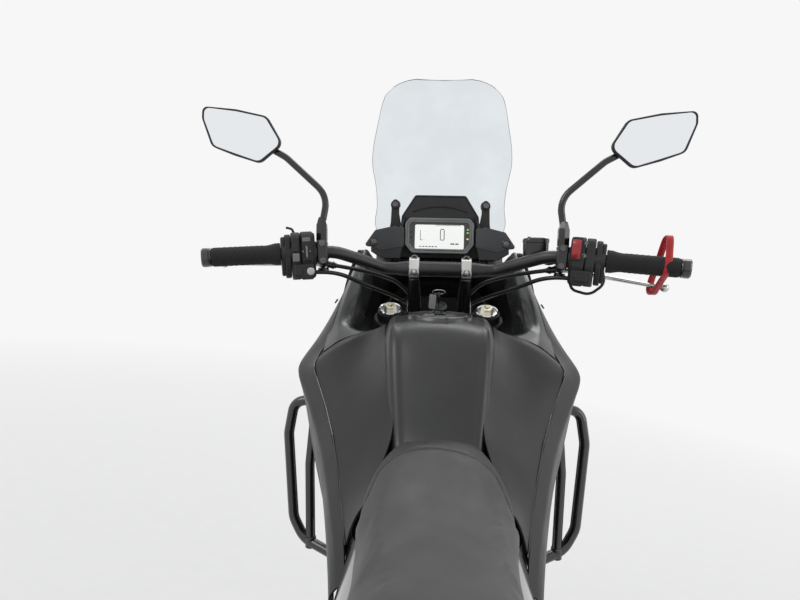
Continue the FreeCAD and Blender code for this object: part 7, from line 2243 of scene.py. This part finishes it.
@dataclass
class Running:
    """The damper with its spring, the engine's fins, bolts and hoses, the lamps and the tail."""

    shop: Workshop

    def build(self) -> None:
        """Makes the running gear's pieces."""
        self.damper()
        self.engine()
        self.cooling()
        self.lamps()
        self.turn_lamps()
        self.calipers()
        self.trim()

    def damper(self) -> None:
        """The damper's body, shaft, reservoir and round-wire spring."""
        body, spring = Form(), Form()
        low, high = Vector((0, -330, 360)), Vector((0, -180, 690))
        along = (high - low).normalized()
        u, v = across(along)
        body.lathe(low, along, [(28, 14), (44, 14), (48, 12), (70, 12)], 30)
        body.lathe(low, along, [(64, 30), (66, 34), (70, 34), (72, 24), (88, 19), (286, 19), (288, 34),
            (294, 34), (296, 26), (340, 22), (346, 17)], 40)
        for centre, half, r in ((low + along * 26, 19.5, 13), (high, 18, 17)):
            body.lathe(centre, (1, 0, 0), [(-half, r - 3), (-half + 1, r), (half - 1, r), (half, r - 3)], 30)
        body.lathe(high, (1, 0, 0), [(-106, 8), (-105, 9), (105, 9), (106, 8)], 20)
        self.shop.add("damper_body", body, Body.CHASSIS, ENGINE_COAT, ["shock"], sharp=36)
        points, turns = [], 8.0
        for i in range(int(turns * 20) + 1):
            a = 2 * math.pi * i / 20
            s = 74 + 210 * i / (turns * 20)
            points.append(low + along * s + (u * math.cos(a) + v * math.sin(a)) * 28.5)
        spring.tube(points, 5.0, bend=0.5, sides=10)
        self.shop.add("damper_spring", spring, Body.CHASSIS, GLOSS_BLACK, like="shock", sharp=50)

    def engine(self) -> None:
        """Rings of bolts, cover beads, ribs and plugs on the engine's packed form."""
        bolts, ribs = Form(), Form()
        for x, y, z, r, count, way in ((128, -20, 440, 84, 9, 1), (-118, 80, 440, 68, 7, -1),
                (122, 120, 410, 32, 4, 1)):
            for i in range(count):
                a = 2 * math.pi * (i + 0.3) / count
                spot = Vector((x, y + r * math.cos(a), z + r * math.sin(a)))
                ribs.lathe(spot, (way, 0, 0), [(-14, 9), (0.5, 8.4), (1, 7.6), (1, 0.01)], 16)
                bolts.bolt(spot + Vector((way * 1, 0, 0)), (way, 0, 0), 5.4, 4.5)
        ribs.lathe((139, -20, 440), (1, 0, 0), [(0, 62), (3.4, 60), (4.4, 56), (4.4, 44), (2.4, 40), (0, 38)],
            56)
        ribs.lathe((-126, 80, 440), (-1, 0, 0), [(0, 48), (3, 46.5), (4, 43), (4, 30), (2.4, 27), (0, 26)],
            48)
        ribs.lathe((140, 24, 500), (0.2, 0.3, 1), [(-6, 13), (8, 13), (10, 12), (10, 0.01)], 12)
        lean = math.radians(18)

        def block(x: float, a: float, u: float) -> tuple[float, float, float]:
            """A point of the leaning cylinder block: a ahead and u up along it."""
            return (x, 92 + a * math.cos(lean) + u * math.sin(lean),
                548 - a * math.sin(lean) + u * math.cos(lean))

        for u in range(8, 90, 9):
            for x0, x1 in ((-113.5, -111), (99.5, 101.6)):
                edges = [block(x0, a, u + du) for a, du in ((-60, 0), (60, 0), (60, 3), (-60, 3))]
                ribs.slab(edges, (x1 - x0, 0, 0), edge=0.5)
        for side, x in ((1, 92), (-1, -104)):
            for a, u in ((-46, 186), (44, 184), (-42, 210), (40, 206), (0, 210)):
                bolts.bolt(block(x, a, u), (side, 0, 0), 4.6, 4)
        for y, z in ((180, 372), (196, 448), (170, 534), (-40, 560), (-124, 510), (-142, 420), (-112, 348),
                (-30, 306), (90, 306)):
            bolts.bolt((92, y, z), (1, 0, 0), 4.6, 5)
            bolts.bolt((-76, y, z), (-1, 0, 0), 4.6, 5)
        self.shop.add("engine_ribs", ribs, Body.CHASSIS, ENGINE_COVER, like="engine_case", sharp=34)
        self.shop.add("engine_bolts", bolts, Body.CHASSIS, DARK_STEEL, like="engine_case")

    def cooling(self) -> None:
        """The radiator's fins, guard bars, cap and hoses."""
        fins, hoses = Form(), Form()
        for i in range(42):
            z = 604 + 170 * i / 41
            fins.slab([(-131, 345, z), (131, 345, z), (131, 345, z + 1.4), (-131, 345, z + 1.4)], (0, 28, 0))
        for i in range(27):
            x = -130 + 10 * i
            fins.slab([(x, 371.5, 603), (x + 1, 371.5, 603), (x + 1, 371.5, 775), (x, 371.5, 775)],
                (0, 1.6, 0))
        self.shop.add("radiator_fins", fins, Body.CHASSIS, RADIATOR_CORE, like="radiator", sharp=30)
        hoses.tube([(144, 350, 770), (144, 318, 772), (120, 268, 742), (86, 190, 706)], 13, bend=34, sides=20)
        hoses.tube([(-144, 350, 612), (-144, 318, 606), (-118, 276, 540), (-92, 200, 500)], 13, bend=34,
            sides=20)
        for x, y, z, ax in ((144, 338, 770, (0, 1, 0)), (-144, 338, 612, (0, 1, 0))):
            hoses.lathe((x, y, z), ax, [(-6, 13), (-6, 14.6), (4, 14.6), (4, 13)], 24, slot=1)
        hoses.lathe((144, 359, 796), (0, 0, 1), [(-2, 13), (0, 17), (7, 17), (9, 15), (9, 0.01)], 8, slot=1)
        self.shop.add("coolant_hoses", hoses, Body.CHASSIS, [SHEATH, DARK_STEEL], like="radiator", sharp=36)

    def lamps(self) -> None:
        """The headlight's lenses with their bowls, and the tail light's lens."""
        glass, bowls = Form(), Form()
        for x in (-52, 52):
            glass.lathe((x, 680.6, 1032), (0, 1, 0), [(0, 0.01), (0, 39.4), (8, 38.6), (12.6, 34), (13.6, 24),
                (14, 0.01)], 48)
            bowls.lathe((x, 679.8, 1032), (0, 1, 0), [(0, 39.5), (0, 12), (3, 10), (6, 0.01)], 40)
            bowls.lathe((x, 697, 1032), (0, 1, 0), [(-1, 40), (1.5, 42), (3, 41), (3, 38), (-1, 37)], 48,
                closed=True)
        self.shop.add("headlight_glass", glass, Body.CHASSIS, LENS_CLEAR, ["headlight_lenses"], sharp=50)
        self.shop.add("headlight_rings", bowls, Body.CHASSIS, CHROME_TUBE, like="headlight", sharp=40)
        self.shop.repaint("headlight", MATTE_BLACK)
        # outer x, z, inner x, z
        rows = ((0, 1119, 0, 1085), (64, 1115, 60, 1085), (112, 1092, 78, 1079), (131, 1036, 111, 1040),
            (123, 963, 107, 985), (74, 975, 60, 985), (0, 980, 0, 985))
        surround = Form()
        around = [*rows, *((-a, b, -c, d) for a, b, c, d in rows[-2:0:-1])]
        surround.skin([[(a, 688, b) for a, b, c, d in around], [(c, 694, d) for a, b, c, d in around],
                       [(c, 691, d) for a, b, c, d in around], [(a, 685, b) for a, b, c, d in around]],
                      looped=True)
        self.shop.add("headlight_surround", surround, Body.CHASSIS, MATTE_BLACK, like="headlight", sharp=40)
        tail, cells = Form(), Form()
        outline = ((-80, 832), (80, 832), (88, 856), (72, 880), (-72, 880), (-88, 856))
        tail.skin([[(x, y, z) for x, z in eased(outline, inset, 9, 20)]
                   for inset, y in ((0, -1000.3), (0, -1018), (3, -1022.5), (10, -1024.3))])
        self.shop.add("tail_lens", tail, Body.CHASSIS, LENS_RED, ["tail_light"], sharp=40)
        for k in range(9):
            x = -64 + 16 * k
            cells.slab([(x - 6.4, -1024, 844), (x + 6.4, -1024, 844), (x + 6.4, -1024, 868),
                (x - 6.4, -1024, 868)], (0, -1.2, 0), edge=0.5)
        self.shop.add("tail_lens_cells", cells, Body.CHASSIS, LENS_RED, like="tail_light", sharp=40)

    def turn_lamps(self) -> None:
        """Four turn lamps: rubber stalks, black cups and amber lenses."""
        stalks, lenses = Form(), Form()
        for side in (-1, 1):
            for y, z, start, cup, end, aim in ((-1120, 716, 119, 136, 176, -1),
                    (470, 1010, 210.4, 222, 256, 1)):
                base = Vector((0, y, z))
                stalks.lathe(base, (side, 0, 0), [(start, 7.6), (cup - 4, 7.6), (cup, 9), (cup + 2, 16)], 26)
                for form, sign in ((stalks, -1), (lenses, 1)):
                    rings = []
                    for share, w, h in ((0, 0.8, 0.8), (0.06, 1, 1), (0.7, 0.94, 0.9), (0.94, 0.66, 0.6),
                            (1, 0.3, 0.3)):
                        x = side * (cup + (end - cup) * share)
                        ring = []
                        for k in range(13):
                            a = math.pi * (k / 12) - math.pi / 2
                            ring.append((x, y + aim * sign * 17.5 * w * math.cos(a),
                                z + 16.5 * h * math.sin(a)))
                        rings.append(ring)
                    form.skin(rings)
        self.shop.add("turn_lamp_stalks", stalks, Body.CHASSIS, MATTE_BLACK, ["indicators"], sharp=50)
        self.shop.add("turn_lamp_lenses", lenses, Body.CHASSIS, LENS_AMBER, ["indicators"], sharp=50)

    def calipers(self) -> None:
        """Piston bosses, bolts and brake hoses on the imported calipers."""
        form, hoses = Form(), Form()
        out = Vector((0, -math.cos(math.radians(24)), math.sin(math.radians(24))))
        up = Vector((0, out.z, -out.y))
        spot = FRONT_AXLE + out * 126
        for side in (-1, 1):
            face = side * 77.5
            for b in (-24, 24):
                form.lathe(Vector((face, 0, 0)) + spot + up * b, (side, 0, 0),
                    [(-2, 16), (1.4, 15.4), (2.6, 13), (2.6, 0.01)], 26)
            for b in (-44, 44):
                form.bolt(Vector((face, 0, 0)) + spot + up * b - out * 18, (side, 0, 0), 5.4, 5)
            knee = Vector((face - side * 6, 0, 0)) + spot + up * 44 + out * 8
            hoses.tube([knee, knee + Vector((side * 4, -16, 70)), steer(side * 94, 640, 2),
                steer(side * 82, 760, 0), steer(side * 60, 912, 0), steer(side * 40, 934, 4)], 3.6, bend=60,
                sides=12)
            form.lathe(knee, (side, 0, 0), [(-6, 6.5), (4, 6.5), (5, 5), (5, 0.01)], 18)
        self.shop.add("front_caliper_fittings", form, Body.STEERING, ENGINE_COVER, like="front_calipers",
            sharp=34)
        self.shop.add("front_brake_hoses", hoses, Body.STEERING, SHEATH, like="front_calipers", sharp=50)
        rear = Form()
        for y, z in ((-696, 441), (-730, 452)):
            rear.lathe((94.4, y, z), (1, 0, 0), [(-2, 13), (1, 12.6), (2, 10), (2, 0.01)], 24)
        rear.tube([(90, -690, 448), (98, -640, 450), (112, -520, 436), (112, -380, 428), (116, -240, 420),
            (118, -214, 404)], 3.4, bend=40, sides=12)
        self.shop.add("rear_caliper_fittings", rear, Body.CHASSIS, SHEATH, like="rear_caliper", sharp=40)

    def trim(self) -> None:
        """Bolts on the frame plates, carrier, skid plate, muffler and panels, and the chain guard."""
        bolts, guard = Form(), Form()
        for side in (-1, 1):
            for y, z in ((-170, 516), (-204, 352), (-150, 290)):
                bolts.hexagon((side * 122, y, z), (side, 0, 0), 8, 6)
            for y, z in ((-110, 690), (-220, 640), (-330, 690), (-460, 800), (-700, 812), (-900, 838)):
                x = {-110: 141.5, -220: 134.5, -330: 134, -460: 149, -700: 137, -900: 119}[y]
                bolts.bolt((side * (x - 1.5), y, z), (side, 0, 0), 5.5, 3)
            for y, z in ((240, 226), (60, 226), (-60, 226)):
                bolts.bolt((112 if side > 0 else -104, y, z), (side, 0, 0), 5.5, 3.6)
            for y in (-812, -1000):
                bolts.bolt((side * 95, y, 928), (0, 0, 1), 5, 3)
        a, b = Vector((168, -484, 484)), Vector((182, -930, 668))
        for share in (0.16, 0.84):
            c = a + (b - a) * share
            bolts.bolt(c + Vector((54, 0, 0)), (1, 0, 0), 5, 3)
        self.shop.add("trim_bolts", bolts, Body.CHASSIS, DARK_STEEL, like="frame")
        line = [(-330, 463), (-460, 465), (-620, 467), (-700, 470), (-780, 472), (-850, 453)]
        section = ((-78, -6), (-78, 0), (-80, 2.6), (-104, 2.6), (-106, 0), (-106, -16), (-104, -16),
            (-104, 0), (-80, 0), (-80, -6))
        guard.skin([[(x, y, z + up) for x, up in section] for y, z in line])
        for y, low, high in ((-380, 420, 460), (-740, 363, 466)):
            guard.slab([(-108, y - 14, low), (-108, y + 14, low), (-108, y + 10, high), (-108, y - 10, high)],
                (2.4, 0, 0), edge=0.4)
        self.shop.add("chain_guard", guard, Body.CHASSIS, MATTE_BLACK, like="swingarm", sharp=34)


@dataclass
class Stage:
    """The floor, the light and the camera at the photograph's angle."""

    stance: Stance
    camera_at: tuple[float, float, float] = (-15.0, -864.0, 1175.0)
    yaw: float = 3.0
    pitch: float = -3.75
    roll: float = 1.3
    focal_px: float = 601.0
    pale: tuple[float, ...] = (0.93, 0.93, 0.93, 1.0)

    def build(self) -> None:
        """Makes the whole stage."""
        self.floor()
        self.world()
        self.lamps()
        self.camera()

    def floor(self) -> None:
        """A plain pale floor under the machine."""
        bm = bmesh.new()
        bmesh.ops.create_grid(bm, x_segments=8, y_segments=8, size=14.0)
        mesh = bpy.data.meshes.new("floor")
        bm.to_mesh(mesh)
        bm.free()
        made = bpy.data.objects.new("floor", mesh)
        made.location.z = -0.0012
        bpy.context.scene.collection.objects.link(made)
        mesh.materials.append(FLOOR.material())
        self.lift(FLOOR.material())

    def lift(self, floor: bpy.types.Material) -> None:
        """Lets the camera, glossy metal and clear panels see an evenly pale floor that keeps the shadow."""
        nodes = Nodes(floor.node_tree)
        shader, out = nodes.find("BSDF_PRINCIPLED"), nodes.find("OUTPUT_MATERIAL")
        glow, mix = nodes.add("Emission", Color=self.pale), nodes.add("MixShader")
        share, place = nodes.add("Math", "MULTIPLY"), nodes.add("TexCoord")
        far = nodes.add("VectorMath", "LENGTH")
        ease = nodes.add("MapRange", From_Min=1.3, From_Max=5.5, To_Min=0.6, To_Max=1.0)
        nodes.seen(share, 0)
        nodes.join(place, "Object", far, 0)
        nodes.join(far, "Value", ease, "Value")
        nodes.join(ease, "Result", share, 1)
        nodes.join(share, 0, mix, 0)
        nodes.join(shader, 0, mix, 1)
        nodes.join(glow, 0, mix, 2)
        nodes.join(mix, 0, out, "Surface")

    def world(self) -> None:
        """A soft room: white to the camera, pale grey as light."""
        world = bpy.data.worlds.new("studio")
        bpy.context.scene.world = world
        world.use_nodes = True
        world.node_tree.nodes.clear()
        nodes = Nodes(world.node_tree)
        out, mix = nodes.add("OutputWorld"), nodes.add("MixShader")
        room = nodes.add("Background", Strength=0.5)
        seen = nodes.add("Background", Color=self.pale, Strength=1.0)
        place, split, ramp = nodes.add("TexCoord"), nodes.add("SeparateXYZ"), nodes.add("ValToRGB")
        low, high = ramp.color_ramp.elements
        low.position, low.color = 0.0, (0.16, 0.165, 0.17, 1.0)
        high.position, high.color = 0.9, (0.78, 0.8, 0.82, 1.0)
        nodes.join(place, "Generated", split, 0)
        nodes.join(split, "Z", ramp, "Fac")
        nodes.join(ramp, "Color", room, "Color")
        nodes.seen(mix, 0)
        nodes.join(room, 0, mix, 1)
        nodes.join(seen, 0, mix, 2)
        nodes.join(mix, 0, out, "Surface")

    def lamps(self) -> None:
        """Soft boxes above, beside and ahead."""
        boxes = [  # name, place (m), aims at (m), width, height, watts
            ("key", (-2.4, -1.6, 3.4), (0, 0, 0.8), 2.2, 1.6, 38.0),
            ("overhead", (0.3, 1.4, 3.8), (0, 0.1, 0.8), 2.8, 1.2, 36.0),
            ("side", (3.2, -0.8, 2.2), (0, 0, 0.7), 1.6, 2.0, 18.0),
            ("front", (0.8, 4.2, 2.4), (0, 0, 0.6), 2.4, 1.6, 18.0),
        ]
        for name, place, aim, width, height, watts in boxes:
            data = bpy.data.lights.new(name, "AREA")
            data.shape = "RECTANGLE"
            data.size, data.size_y, data.energy = width, height, watts
            made = bpy.data.objects.new(name, data)
            made.location = place
            made.rotation_euler = (Vector(aim) - Vector(place)).to_track_quat("-Z", "Y").to_euler()
            made.visible_transmission = False
            bpy.context.scene.collection.objects.link(made)

    def camera(self) -> None:
        """The camera where the photographer stood, at the seat's rear edge."""
        yaw, pitch, roll = (math.radians(v) for v in (self.yaw, self.pitch, self.roll))
        ahead = Vector((-math.sin(yaw) * math.cos(pitch), math.cos(yaw) * math.cos(pitch), math.sin(pitch)))
        right = Vector((math.cos(yaw), math.sin(yaw), 0))
        up = right.cross(ahead)
        cos, sin = math.cos(roll), math.sin(roll)
        right, up = right * cos + up * sin, up * cos - right * sin
        data = bpy.data.cameras.new("photo_camera")
        data.sensor_width = SENSOR_MM
        data.lens = self.focal_px * SENSOR_MM / PICTURE_PX
        data.clip_start = 0.02
        made = bpy.data.objects.new("photo_camera", data)
        axes = [self.stance.turn(a) for a in (right, up, -ahead)]
        made.matrix_world = Matrix.Translation(self.stance.place(self.camera_at)) @ Matrix(
            [[axes[c][r] for c in range(3)] for r in range(3)]).to_4x4()
        bpy.context.scene.collection.objects.link(made)
        bpy.context.scene.camera = made


@dataclass
class PlainDressing:
    """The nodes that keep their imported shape, rounded and finished."""

    shop: Workshop
    rounded: tuple[tuple[str, Finish, float, float], ...] = (  # node, finish, crease angle, hold
        ("frame", FRAME_PAINT, 50, 0.8), ("subframe", FRAME_PAINT, 50, 0.8),
        ("engine_case", ENGINE_COAT, 40, 0.7), ("cylinder_block", ENGINE_COAT, 40, 0.8),
        ("radiator", RADIATOR_CORE, 40, 0.9), ("exhaust_pipe", EXHAUST_STEEL, 60, 0.8),
        ("muffler", MUFFLER_GREY, 50, 0.8), ("skid_plate", SKID_ALLOY, 40, 0.8),
        ("swingarm", FRAME_PAINT, 40, 0.8), ("through_bolts", DARK_STEEL, 62, 0.9),
        ("rear_caliper", ENGINE_COAT, 40, 0.8), ("foot_controls", CAST_ALLOY, 50, 0.8),
        ("nose_fairing", SATIN_BLACK, 62, 0.8), ("rear_carrier", MATTE_BLACK, 50, 0.8),
        ("plate_holder", MATTE_BLACK, 50, 0.8), ("front_fender", SATIN_BLACK, 60, 0.8),
        ("front_calipers", ENGINE_COAT, 40, 0.8), ("side_stand", FRAME_PAINT, 50, 0.8))

    def build(self) -> None:
        """Dresses the nodes."""
        for row in self.rounded:
            self.shop.smoothed(*row)


def corners(box: tuple[Vector, Vector]) -> list[list[float]]:
    """A box's two corners as plain lists."""
    return [list(box[0]), list(box[1])]


def main() -> None:
    """Builds the sub-assemblies in order."""
    logging.basicConfig(level=logging.INFO, format="%(name)s: %(message)s")
    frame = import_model()
    bpy.context.scene.view_settings.view_transform = "Standard"
    shop = Workshop(frame, Stance.of(frame["joints"]))
    Stage(shop.stance).build()
    for assembly in (Bodywork(shop), Seats(shop), Cockpit(shop), Controls(shop), Mirrors(shop),
            SteeringHead(shop), GuardBars(shop), Wheels(shop), Drive(shop), Running(shop),
            PlainDressing(shop)):
        assembly.build()


if __name__ == "__main__":
    main()
